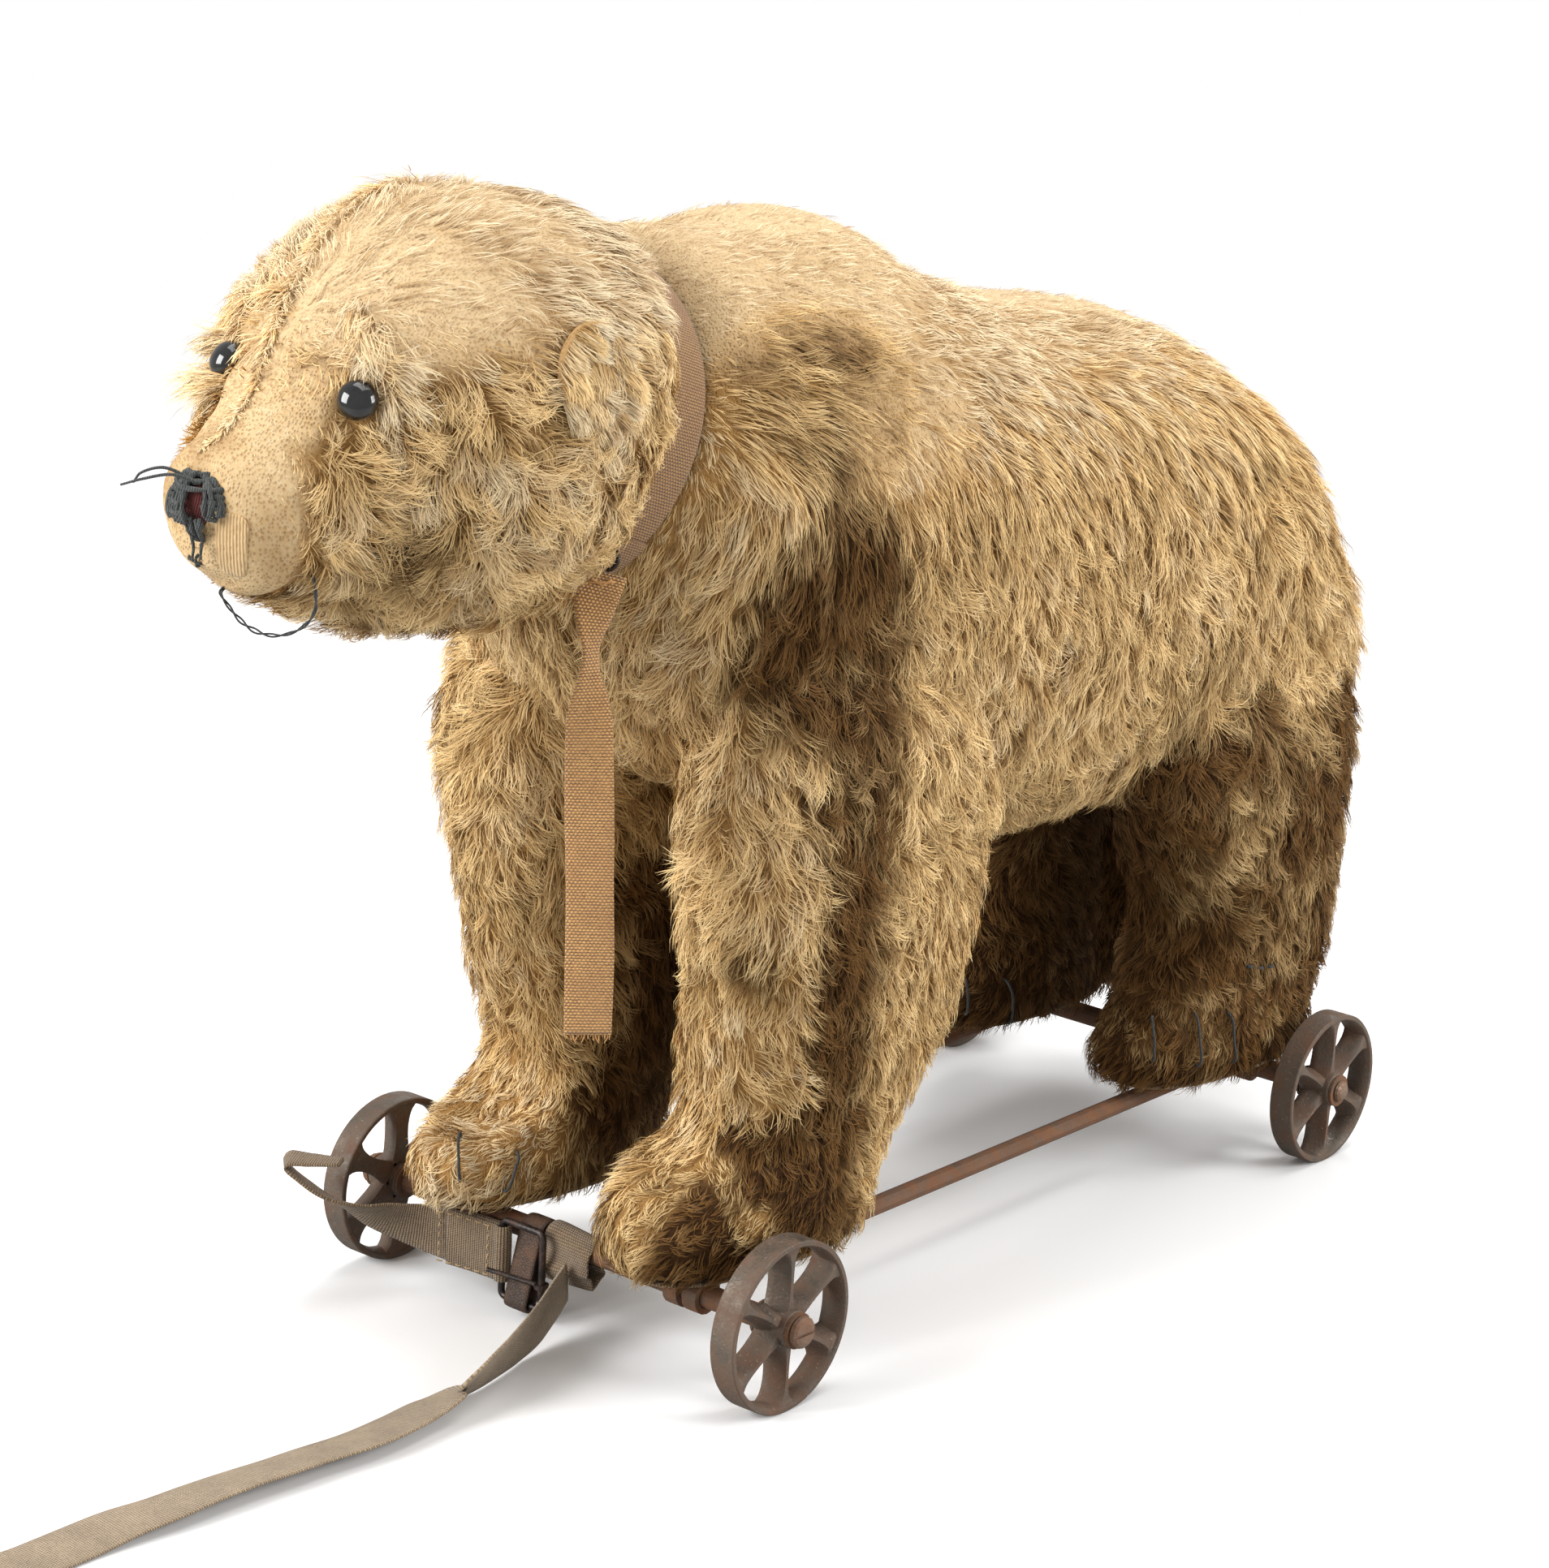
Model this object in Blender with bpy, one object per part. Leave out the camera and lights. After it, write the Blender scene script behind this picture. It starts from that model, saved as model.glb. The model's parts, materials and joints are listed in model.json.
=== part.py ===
"""Pull-along plush bear on four cast wheels.

Every size is in metres through MM. +Z is up, the bear looks along -Y and its left side is +X.
Lengths are first laid out from the middle between the two axles, on the floor. The whole model is
then shifted along Y so that the origin lies under the middle of the bear, from nose to rump.
"""

import math

import bmesh
import bpy
import numpy as np
from mathutils import Matrix, Vector

MM = 0.001
GAP = 0.3 * MM

# Running gear
WHEELBASE = 391.0 * MM
WHEEL_R = 35.0 * MM
RIM_FACE_X = 111.4 * MM
RIM_WIDTH = 11.7 * MM
RIM_EDGE = 2.4 * MM
RIM_CREST = 3.6 * MM
TREAD_FACETS = 30  # twice an odd number puts a flat facet under the axle
HUB_R = 7.6 * MM
HUB_PROUD = 2.0 * MM
SPOKES = 6
AXLE_R = 4.75 * MM
JOURNAL_R = 3.1 * MM
WASHER_R = 7.4 * MM
WASHER_T = 1.2 * MM
SCREW_HEAD_R = 6.4 * MM
SCREW_HEAD_T = 3.4 * MM
SCREW_SHANK_R = 1.5 * MM
SCREW_LENGTH = 16.0 * MM
SCREW_SLOT = 1.5 * MM
RIVET_HEAD_R = 5.0 * MM
RIVET_HEAD_T = 2.6 * MM
RAIL_R = 4.0 * MM
RAIL_X = 55.0 * MM
POST_R = 3.0 * MM
POST_X = 65.0 * MM
EYE_WALL = 2.6 * MM
EYE_WIDTH = 7.0 * MM
EYE_R = AXLE_R + GAP + EYE_WALL
NECK_FACETS = 36
AXLE_Z = WHEEL_R
FRONT_Y = -WHEELBASE / 2
REAR_Y = WHEELBASE / 2

# Plush cover, its stuffing and the felt soles
COVER_T = 2.0 * MM
SOLE_T = 1.6 * MM
SOLE_MARGIN = 1.0 * MM
SOLE_Z = AXLE_Z + EYE_R + GAP + SOLE_T + GAP
POST_MOUTH = 2.0 * MM
TINY_R = 0.2 * MM  # the point of a turned solid's end, kept off the axis
BORE_REACH = 30.0 * MM
TORSO_RINGS = 12
HEAD_RINGS = 11
TORSO_SIDES = 18
HEAD_SIDES = 18
LEG_SIDES = 12
PAW_ROUND = 15.0

# Neck joint: the head turns on a pin along this axis, which points forwards and up
NECK = np.array([0.0, -228.0, 378.0]) * MM
NECK_TILT = math.radians(19.0)
NECK_AXIS = np.array([0.0, -math.cos(NECK_TILT), math.sin(NECK_TILT)])
NECK_R = 62.0 * MM
NECK_LIP = 10.5 * MM
DISC_R = 46.0 * MM
DISC_T = 3.0 * MM
PIN_R = 2.0 * MM
PIN_SLACK = 2.8 * MM
PIN_HEAD_R = 4.5 * MM
PIN_HEAD_T = 2.5 * MM
NECK_WASHER_R = 10.0 * MM
COLLAR_WIDTH = 18.5 * MM
COLLAR_T = 2.0 * MM
RING_R = 4.0 * MM
RING_WIRE_R = 0.8 * MM
RING_ALONG = 6.0 * MM
RING_ANGLE = math.radians(-44.0)

# Face
EYE_BUTTON_R = 7.2 * MM
EYE_BUTTON_T = 6.2 * MM
EYE_SHANK_R = 0.9 * MM
EYE_SHANK = 14.0 * MM
EAR_HALF = np.array([15.0, 19.0]) * MM
EAR_T = 6.0 * MM
NOSE_HALF = np.array([13.0, 12.0, 12.5]) * MM
NOSE_Z = 364.0 * MM
THREAD_R = 0.7 * MM

# Straps and buckle
WEBBING = 25.0 * MM
WEBBING_T = 1.6 * MM
TAIL_WIDTH = 18.5 * MM
TAIL_T = 1.4 * MM
TAIL_TWIST_Z = -33.4  # height of the twist from the collar ring's centre, in millimetres
LOOP_X = -0.5 * MM
LOOP_DROP = np.array([-2.6, -13.0]) * MM
LOOP_LOW_R = 2.5 * MM
COIL_R = 43.5 * MM
COIL_HALF = 11.1 * MM
FLOOR_GAP = 0.2 * MM
BUCKLE_LOW = np.array([-31.5, -11.0, 7.5]) * MM
BUCKLE_SIZE = np.array([22.0, 33.0]) * MM
BUCKLE_WIRE_R = 1.5 * MM
PRONG_R = 1.0 * MM
PRONG_RISE = 10.5 * MM
PRONG_LENGTH = 24.5 * MM
PRONG_OPEN = math.radians(18.0)
PRONG_TILT = 0.10
CHAPE_T = 1.6 * MM
CHAPE_WIDTH = 12.0 * MM
CHAPE_X = -21.2 * MM
BUCKLE_EYE_Z = 26.0 * MM
BUCKLE_EYE_HALF = 12.2 * MM

# Outlines, in millimetres.
# Torso rings from the neck to the rump: lean in degrees, y, z, half width, height above, below.
TORSO = [
    (17, -208.0, 372.0, 77, 75, 78),
    (12, -168, 353, 90, 91, 108),
    (4, -112, 332, 97, 115, 122),
    (0, -50, 314, 98, 114, 136),
    (0, 10, 293, 97, 113, 123),
    (0, 75, 287, 98, 111, 118),
    (-3, 138, 278, 97, 107, 110),
    (-8, 188, 262, 93, 99, 100),
    (-18, 228, 243, 79, 84, 84),
    (-26, 255, 229, 57, 60, 60),
    (-32, 268, 222, 34, 37, 37),
    (-34, 272, 220, 17, 19, 19),
]
# Head rings from the neck to the nose, in the same order.
HEAD = [
    (18, -244.5, 383.5, 70, 70, 69),
    (16, -266, 388, 82, 78, 79),
    (12, -296, 393, 84, 77, 85),
    (6, -326, 392, 73, 65, 82),
    (0, -350, 383, 55, 52, 65),
    (-4, -372, 369, 40, 38, 42),
    (-8, -390, 361, 30, 30, 32),
    (-10, -400, 357, 22, 23, 23),
    (-10, -405, 355, 10, 10, 10),
]
# Leg rings from the shoulder or hip to the sole: height above the sole, x, y from the axle, half width,
# forward, back.
FRONT_LEG = [
    (258, 50, 67.5, 29, 58, 66),
    (215, 56, 73.5, 38, 74, 80),
    (170, 57, 78.5, 40, 82, 81),
    (87, 56, 81.5, 38, 75, 66),
    (54, 55, 73.5, 36, 67, 53),
    (28, 55, 55.5, 36, 80, 50),
    (12, 55, 49.5, 35, 82, 50),
    (0, 55, 49.5, 29, 74, 44),
]
REAR_LEG = [
    (225, 50, -25.5, 27, 72, 52),
    (190, 56, -26.5, 36, 84, 66),
    (150, 59, -25.5, 38, 88, 75),
    (75, 57, -5.5, 37, 62, 52),
    (46, 56, -3.5, 36, 72, 48),
    (24, 55, -13.5, 36, 80, 54),
    (10, 55, -16.5, 35, 83, 57),
    (0, 55, -16.5, 29, 72, 49),
]
# Bends of the rods inside the legs, from the axle's eye upwards: y from the axle, and z.
FRONT_POST_BENDS = [(23.5, 70), (57.5, 122), (65.5, 215)]
REAR_POST_BENDS = [(-1.5, 80), (-5.5, 130), (-13.5, 215)]
# Seats on the head's surface: share of the way from neck to nose, and turn from the side upwards.
# The right eye has been sewn on a little higher and nearer the middle than the left one.
EYE_SEATS = {"left": (0.74, 39), "right": (0.75, 52)}
EAR_SEAT = (0.36, 14)
# Hanging end of the collar: x, y and z from the collar ring's centre, and the compass turn of its width.
TAIL_ROUTE = [
    (-0.5, -2.2, -5, 38),
    (1.3, -7.6, -12.4, 38),
    (2.9, -10.9, -22.4, 38),
    (3.6, -12.1, -33.4, 80),
    (4.1, -12.6, -46.4, 40),
    (6.1, -12.6, -84.4, 38),
    (8.1, -12.6, -129.4, 38),
    (10.1, -12.6, -177.4, 38),
]
# Pull strap from the axle's loop to the coil: x, y from the front axle, z, and how far its left edge is
# raised, in degrees.
PULL_ROUTE = [
    (0.6, -7.5, 21.9, 55),
    (3.6, -16.5, 18.6, 55),
    (9.1, -33.8, 13.6, 51),
    (15.9, -61.7, 10.5, 43),
    (18, -78.2, 8.5, 37),
    (19.2, -89.7, 6.8, 30),
    (20.1, -101.5, 5.5, 21),
    (20, -116.5, 3.8, 13),
    (18.9, -136.8, 2.9, 8),
    (17.6, -156.5, 3.4, 11),
    (17, -176.5, 4.2, 15),
    (14.9, -194.7, 4.4, 16),
    (13.7, -213.3, 4.6, 17),
    (12.4, -231.5, 4, 14),
    (9.8, -248.2, 3.2, 10),
    (7.9, -265.2, 1.6, 3),
    (7.2, -282.5, 1.1, 0),
    (7.6, -301.5, 1.1, 0),
    (8.4, -319.5, 4.8, 22),
    (9.2, -335.5, 9.9, 50),
    (9.7, -351.5, 12.6, 80),
    (9.8, -364.5, 12.9, 90),
    (9.8, -376.5, 12.9, 90),
]
# Buckled strap from the frame's outer bar to its folded tip: x, y from the front axle, z, direction of
# the width, width.
BUCKLE_ROUTE = [
    (-36, -11, 26, 0, 0, 1, 24.4),
    (-45, -12, 26.2, 0, 0, 1, 24.4),
    (-57, -14, 26.4, 0, -0.05, 1, 24),
    (-69, -17, 27, 0, -0.12, 1, 22.5),
    (-80, -24.5, 29.5, 0.1, -0.45, 0.9, 21),
    (-89, -37.5, 35.5, 0.25, -0.75, 0.6, 20),
    (-97, -50.5, 42.5, 0.55, -0.75, 0.3, 20),
    (-104.5, -57.5, 49, 0.75, -0.62, 0.1, 20),
]
TIP_ROUTE = [
    (-108, -59.5, 51.8, 0.75, -0.64, 0, 20),
    (-106, -59, 54.8, 0.7, -0.64, -0.1, 20),
    (-97.5, -56, 57, 0.66, -0.66, -0.2, 19),
    (-83.5, -52, 60.5, 0.66, -0.66, -0.2, 18),
]
# Loose stitch of the mouth: x, y, z.
MOUTH_ROUTE = [
    (29.1, -378.1, 342.5),
    (31.6, -379.2, 341.1),
    (32.3, -378.9, 334.9),
    (32.1, -379.0, 330.9),
    (29.9, -379.8, 326.6),
    (25.5, -381.6, 322.7),
    (19.4, -384.2, 320.4),
    (12.6, -386.9, 320.7),
    (7.2, -389.1, 323.4),
    (2.9, -390.9, 327.7),
    (-0.6, -392.4, 332.8),
    (-0.6, -390.9, 334.5),
]

# The origin's place along Y: midway between the nose's tip and the rump.
NOSE_TIP_Y = -413.5 * MM
RUMP_Y = 282.5 * MM
SHIFT = np.array([0.0, -(NOSE_TIP_Y + RUMP_Y) / 2, 0.0])

FINISHES = {
    "mohair": ((0.56, 0.42, 0.24), 0.95, 0.0),
    "wood_wool": ((0.68, 0.55, 0.34), 0.95, 0.0),
    "felt": ((0.48, 0.36, 0.22), 0.95, 0.0),
    "boot_button": ((0.015, 0.015, 0.017), 0.12, 0.0),
    "nose_wool": ((0.06, 0.065, 0.06), 0.9, 0.0),
    "cast_iron": ((0.16, 0.125, 0.105), 0.6, 0.9),
    "rusty_steel": ((0.30, 0.18, 0.12), 0.65, 0.8),
    "dark_steel": ((0.05, 0.045, 0.045), 0.45, 0.9),
    "card": ((0.42, 0.30, 0.18), 0.9, 0.0),
    "tape": ((0.52, 0.32, 0.18), 0.85, 0.0),
    "khaki": ((0.33, 0.27, 0.18), 0.9, 0.0),
    "leather": ((0.16, 0.085, 0.05), 0.7, 0.0),
    "thread": ((0.09, 0.09, 0.085), 0.85, 0.0),
}


def clear_scene():
    """Remove what a new file holds."""
    for thing in list(bpy.data.objects):
        bpy.data.objects.remove(thing, do_unlink=True)


def finish(name):
    """One Principled BSDF material per finish, made on first use."""
    material = bpy.data.materials.get(name)
    if material:
        return material
    colour, roughness, metallic = FINISHES[name]
    material = bpy.data.materials.new(name)
    material.use_nodes = True
    shader = material.node_tree.nodes["Principled BSDF"]
    shader.inputs["Base Color"].default_value = (*colour, 1.0)
    shader.inputs["Roughness"].default_value = roughness
    shader.inputs["Metallic"].default_value = metallic
    material.diffuse_color = (*colour, 1.0)
    return material


def make_mesh(name, points, faces, at=(0.0, 0.0, 0.0)):
    """A closed mesh with its faces turned outwards; points are measured from the place `at`."""
    mesh = bpy.data.meshes.new(name)
    local = np.asarray(points, float) - np.asarray(at, float)
    mesh.from_pydata(local.tolist(), [], [tuple(int(i) for i in face) for face in faces])
    work = bmesh.new()
    work.from_mesh(mesh)
    bmesh.ops.recalc_face_normals(work, faces=work.faces)
    if work.calc_volume(signed=True) < 0:
        bmesh.ops.reverse_faces(work, faces=work.faces)
    work.to_mesh(mesh)
    work.free()
    return mesh


def place(name, mesh, colour, at=(0.0, 0.0, 0.0), crease=35.0):
    """Link an object at its place, shifted with the whole bear, and shade its round sides smooth."""
    thing = bpy.data.objects.new(name, mesh)
    thing.location = Vector(np.asarray(at, float) + SHIFT)
    bpy.context.collection.objects.link(thing)
    mesh.shade_smooth()
    mesh.set_sharp_from_angle(angle=math.radians(crease))
    if not mesh.materials:
        mesh.materials.append(finish(colour))
    return thing


def add(name, shape, colour, at=(0.0, 0.0, 0.0), crease=35.0):
    """Make an object from points and faces."""
    points, faces = shape
    return place(name, make_mesh(name, points, faces, at), colour, at, crease)


def guide(name, shape):
    """A shape that only cuts or joins others: hidden from renders and drawn as wire."""
    thing = add(name, shape, "felt")
    thing.hide_render = True
    thing.display_type = "WIRE"
    return thing


def combine(thing, other, operation):
    """Join, cut or trim a solid by another with a Boolean modifier."""
    step = thing.modifiers.new(other.name, "BOOLEAN")
    step.operation = operation
    step.solver = "EXACT"
    step.object = other


def spline(knots, rows, at):
    """Catmull-Rom curve through rows of values at rising knots, read at the places `at`."""
    knots = np.asarray(knots, float)
    rows = np.asarray(rows, float)
    slopes = np.empty_like(rows)
    slopes[1:-1] = (rows[2:] - rows[:-2]) / (knots[2:] - knots[:-2])[:, None]
    slopes[0] = (rows[1] - rows[0]) / (knots[1] - knots[0])
    slopes[-1] = (rows[-1] - rows[-2]) / (knots[-1] - knots[-2])
    i = np.clip(np.searchsorted(knots, at, side="right") - 1, 0, len(knots) - 2)
    span = (knots[i + 1] - knots[i])[:, None]
    t = ((at - knots[i]) / (knots[i + 1] - knots[i]))[:, None]
    start = (2 * t**3 - 3 * t**2 + 1) * rows[i] + (t**3 - 2 * t**2 + t) * span * slopes[i]
    end = (-2 * t**3 + 3 * t**2) * rows[i + 1] + (t**3 - t**2) * span * slopes[i + 1]
    return start + end


def chord_knots(places):
    """Distance run along a row of places, starting at 0."""
    steps = np.linalg.norm(np.diff(places, axis=0), axis=1)
    return np.concatenate([[0.0], np.cumsum(steps)])


def unit(vectors):
    """Rows scaled to length one."""
    return vectors / np.linalg.norm(vectors, axis=-1, keepdims=True)


def skin_rings(rings):
    """Points and faces of a closed solid through rings of equal count, with a fan on each end."""
    count, sides, _ = rings.shape
    points = np.vstack([rings.reshape(-1, 3), rings[0].mean(0), rings[-1].mean(0)])
    faces = []
    for i in range(count - 1):
        near = i * sides
        far = near + sides
        for j in range(sides):
            k = (j + 1) % sides
            faces.append((near + j, near + k, far + k))
            faces.append((near + j, far + k, far + j))
    low = count * sides
    last = (count - 1) * sides
    for j in range(sides):
        k = (j + 1) % sides
        faces.append((low, k, j))
        faces.append((low + 1, last + j, last + k))
    return points, faces


def oval(centre, side, up, half, above, below, sides, power):
    """A superellipse ring with its own height above and below the centre."""
    angle = np.linspace(0.0, 2 * math.pi, sides, endpoint=False)
    c = np.cos(angle)
    s = np.sin(angle)
    reach = (np.abs(c) ** power + np.abs(s) ** power) ** (-1.0 / power)
    height = np.where(s > 0, above, below)
    return centre + (half * c * reach)[:, None] * side + (height * s * reach)[:, None] * up


def neck_station(along):
    """A round station on the neck's axis, in the units of the outline tables."""
    place_on_axis = (NECK + NECK_AXIS * along) / MM
    r = NECK_R / MM
    return (math.degrees(NECK_TILT), place_on_axis[1], place_on_axis[2], r, r, r)


def side_ring(row, sides, power):
    """Ring of the head or torso from one row: lean, y, z, half width, height above and below."""
    lean = math.radians(row[0])
    centre = np.array([0.0, row[1], row[2]]) * MM
    up = np.array([0.0, math.sin(lean), math.cos(lean)])
    half, above, below = np.maximum(row[3:6] * MM, 1.0 * MM)
    return oval(centre, np.array([1.0, 0.0, 0.0]), up, half, above, below, sides, power)


def trunk_rows(table, direction, count, inset):
    """Rows of the head (+1) or torso (-1), set in from the outside by `inset` square to the surface.

    A slope of the outline moves a row along the body as well as inwards.
    """
    stations = np.array([neck_station(direction * NECK_LIP)] + [tuple(row) for row in table], float)
    knots = chord_knots(stations[:, 1:3])
    at = np.linspace(0.0, knots[-1], count)
    rows = spline(knots, stations, at)
    step = 0.5
    low = np.clip(at - step, 0.0, knots[-1])
    high = np.clip(at + step, 0.0, knots[-1])
    slope = (spline(knots, stations, high) - spline(knots, stations, low)) / (high - low)[:, None]
    heading = unit(slope[:, 1:3])
    steep = slope[:, 3:6].mean(1)
    back = inset / MM * steep / np.sqrt(1 + steep**2)
    back[0] = 0.0
    rows[:, 1:3] += heading * back[:, None]
    rows[:, 3:6] -= inset / MM / np.sqrt(1 + slope[:, 3:6] ** 2)
    first = np.array(neck_station(direction * (GAP / 2 + inset)))
    first[3:6] -= inset / MM
    return np.vstack([first, rows])


def trunk(table, direction, count, sides, inset=0.0, power=2.15):
    """Head or torso solid. A positive inset gives the same form, smaller all round by that much."""
    rows = trunk_rows(table, direction, count, inset)
    rings = [side_ring(row, sides, 2.0 if i < 2 else power) for i, row in enumerate(rows)]
    return skin_rings(np.array(rings))


def leg(table, hand, axle_y, inset=0.0, power=2.3):
    """Leg and paw solid down to the sole, on the left (hand +1) or right (-1), over its axle.

    A positive inset draws the sides in, lowers the top and raises the rows that round the sole.
    """
    rings = []
    top = table[0][0]
    for row in np.array(table, float):
        rise = inset if row[0] < PAW_ROUND else 0.0
        rise -= inset if row[0] == top else 0.0
        centre = np.array([hand * row[1] * MM, axle_y + row[2] * MM, SOLE_Z + row[0] * MM + rise])
        half, ahead, back = row[3:6] * MM - inset
        side = np.array([1.0, 0.0, 0.0])
        rings.append(oval(centre, side, np.array([0.0, 1.0, 0.0]), half, back, ahead, LEG_SIDES, power))
    return skin_rings(np.array(rings))


def rod(route, radius, sides=12):
    """Round bar along a route, with flat ends."""
    route = np.asarray(route, float)
    heading = np.gradient(route, axis=0)
    heading = unit(heading)
    ref = np.array([0.0, 0.0, 1.0]) if abs(heading[0][2]) < 0.9 else np.array([1.0, 0.0, 0.0])
    rings = []
    angle = np.linspace(0.0, 2 * math.pi, sides, endpoint=False)
    for spot, ahead in zip(route, heading):
        side = unit(np.cross(ref, ahead))
        up = np.cross(ahead, side)
        rings.append(spot + radius * (np.cos(angle)[:, None] * side + np.sin(angle)[:, None] * up))
    return skin_rings(np.array(rings))


def wire_frame(corners, radius, bend=0.6, sides=10):
    """Closed frame of round wire through the corners of a flat outline, each corner cut twice."""
    ahead = unit(np.roll(corners, -1, axis=0) - corners)
    behind = np.roll(ahead, 1, axis=0)
    flat = unit(np.cross(behind[1], ahead[1]))
    rings = []
    angle = np.linspace(0.0, 2 * math.pi, sides, endpoint=False)
    for spot, come, leave in zip(corners, behind, ahead):
        for turn, step in ((0.25, -come), (0.75, leave)):
            heading = unit(come * (1 - turn) + leave * turn)
            side = np.cross(flat, heading)
            round_it = np.cos(angle)[:, None] * side + np.sin(angle)[:, None] * flat
            rings.append(spot + step * radius * bend + radius * round_it)
    return close_rings(np.array(rings))


def close_rings(rings):
    """Points and faces of a solid through rings that come back to the first one."""
    count, sides, _ = rings.shape
    faces = []
    for i in range(count):
        near = i * sides
        far = (i + 1) % count * sides
        for j in range(sides):
            k = (j + 1) % sides
            faces.append((near + j, near + k, far + k, far + j))
    return rings.reshape(-1, 3), faces


def axis_frame(axis):
    """Two unit vectors square to an axis and to each other."""
    axis = unit(np.asarray(axis, float))
    ref = np.array([0.0, 0.0, 1.0]) if abs(axis[2]) < 0.9 else np.array([1.0, 0.0, 0.0])
    side = unit(np.cross(ref, axis))
    return side, np.cross(axis, side)


def turned(profile, origin, axis, sides=24):
    """Turn a profile of (distance along the axis, radius) round the axis; radius 0 closes an end."""
    axis = unit(np.asarray(axis, float))
    side, up = axis_frame(axis)
    angle = np.linspace(0.0, 2 * math.pi, sides, endpoint=False)
    spoke = np.cos(angle)[:, None] * side + np.sin(angle)[:, None] * up
    rings = np.array([origin + along * axis + r * spoke for along, r in profile])
    return skin_rings(rings)


def plug(low, high, radius):
    """Profile of a solid round bar, from low to high along its axis."""
    return [(low, TINY_R), (low, radius), (high, radius), (high, TINY_R)]


def hole_r(radius, sides):
    """Corner radius of a faceted hole that clears a round bar by the named gap."""
    return (radius + GAP) / math.cos(math.pi / sides)


def hoop(profile, origin, axis, sides=24):
    """Turn a closed profile that keeps off the axis, such as a washer's section."""
    axis = unit(np.asarray(axis, float))
    side, up = axis_frame(axis)
    angle = np.linspace(0.0, 2 * math.pi, sides, endpoint=False)
    spoke = np.cos(angle)[:, None] * side + np.sin(angle)[:, None] * up
    return close_rings(np.array([origin + along * axis + r * spoke for along, r in profile]))


def washer(origin, axis, inner, outer, thick, sides=16):
    """Flat ring whose near face is at the origin."""
    return hoop([(0.0, inner), (thick, inner), (thick, outer), (0.0, outer)], origin, axis, sides)


def box(low, high):
    """Box between two corners."""
    low = np.asarray(low, float)
    high = np.asarray(high, float)
    pick = np.array([(x, y, z) for z in (0, 1) for y in (0, 1) for x in (0, 1)])
    points = np.where(pick == 1, high, low)
    faces = [(0, 2, 3, 1), (4, 5, 7, 6), (0, 1, 5, 4), (1, 3, 7, 5), (3, 2, 6, 7), (2, 0, 4, 6)]
    return points, faces


def band(route, ways, widths, thick):
    """Flat strap: a rectangle carried along a route, its wide side along `ways`."""
    route = np.asarray(route, float)
    heading = unit(np.gradient(route, axis=0))
    ways = unit(np.asarray(ways, float))
    ways = unit(ways - (ways * heading).sum(1)[:, None] * heading)
    face = np.cross(heading, ways)
    half = np.broadcast_to(np.asarray(widths, float) / 2, (len(route),))[:, None]
    edge = ways * half
    flat = face * thick / 2
    section = [edge + flat, flat - edge, -edge - flat, edge - flat]
    rings = np.stack([route + corner for corner in section], axis=1)
    return skin_rings(rings)


def smooth_route(table, count):
    """Evenly spaced places on a smooth curve through a table's rows."""
    rows = np.array(table, float)
    knots = chord_knots(rows[:, :3])
    return spline(knots, rows, np.linspace(0.0, knots[-1], count))


def belt_outline(near, near_r, far, far_r, arc=9):
    """Outline of a belt round two circles, as places in their plane."""
    line = far - near
    length = np.linalg.norm(line)
    heading = math.atan2(line[1], line[0])
    spread = math.acos((near_r - far_r) / length)
    first = np.linspace(heading + spread, heading + 2 * math.pi - spread, arc)
    second = np.linspace(heading - spread, heading + spread, arc)
    around_near = near + near_r * np.stack([np.cos(first), np.sin(first)], axis=1)
    around_far = far + far_r * np.stack([np.cos(second), np.sin(second)], axis=1)
    return np.vstack([around_near, around_far])


def belt(near, near_r, far, far_r, thick, low_x, high_x):
    """Closed strap loop round two circles in the YZ plane, `thick` thick, between two X places."""
    inner = belt_outline(near, near_r, far, far_r)
    outer = belt_outline(near, near_r + thick, far, far_r + thick)
    count = len(inner)
    rings = []
    for outline, x in ((inner, low_x), (inner, high_x), (outer, high_x), (outer, low_x)):
        rings.append(np.column_stack([np.full(count, x), outline]))
    return close_rings(np.array(rings))


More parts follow.
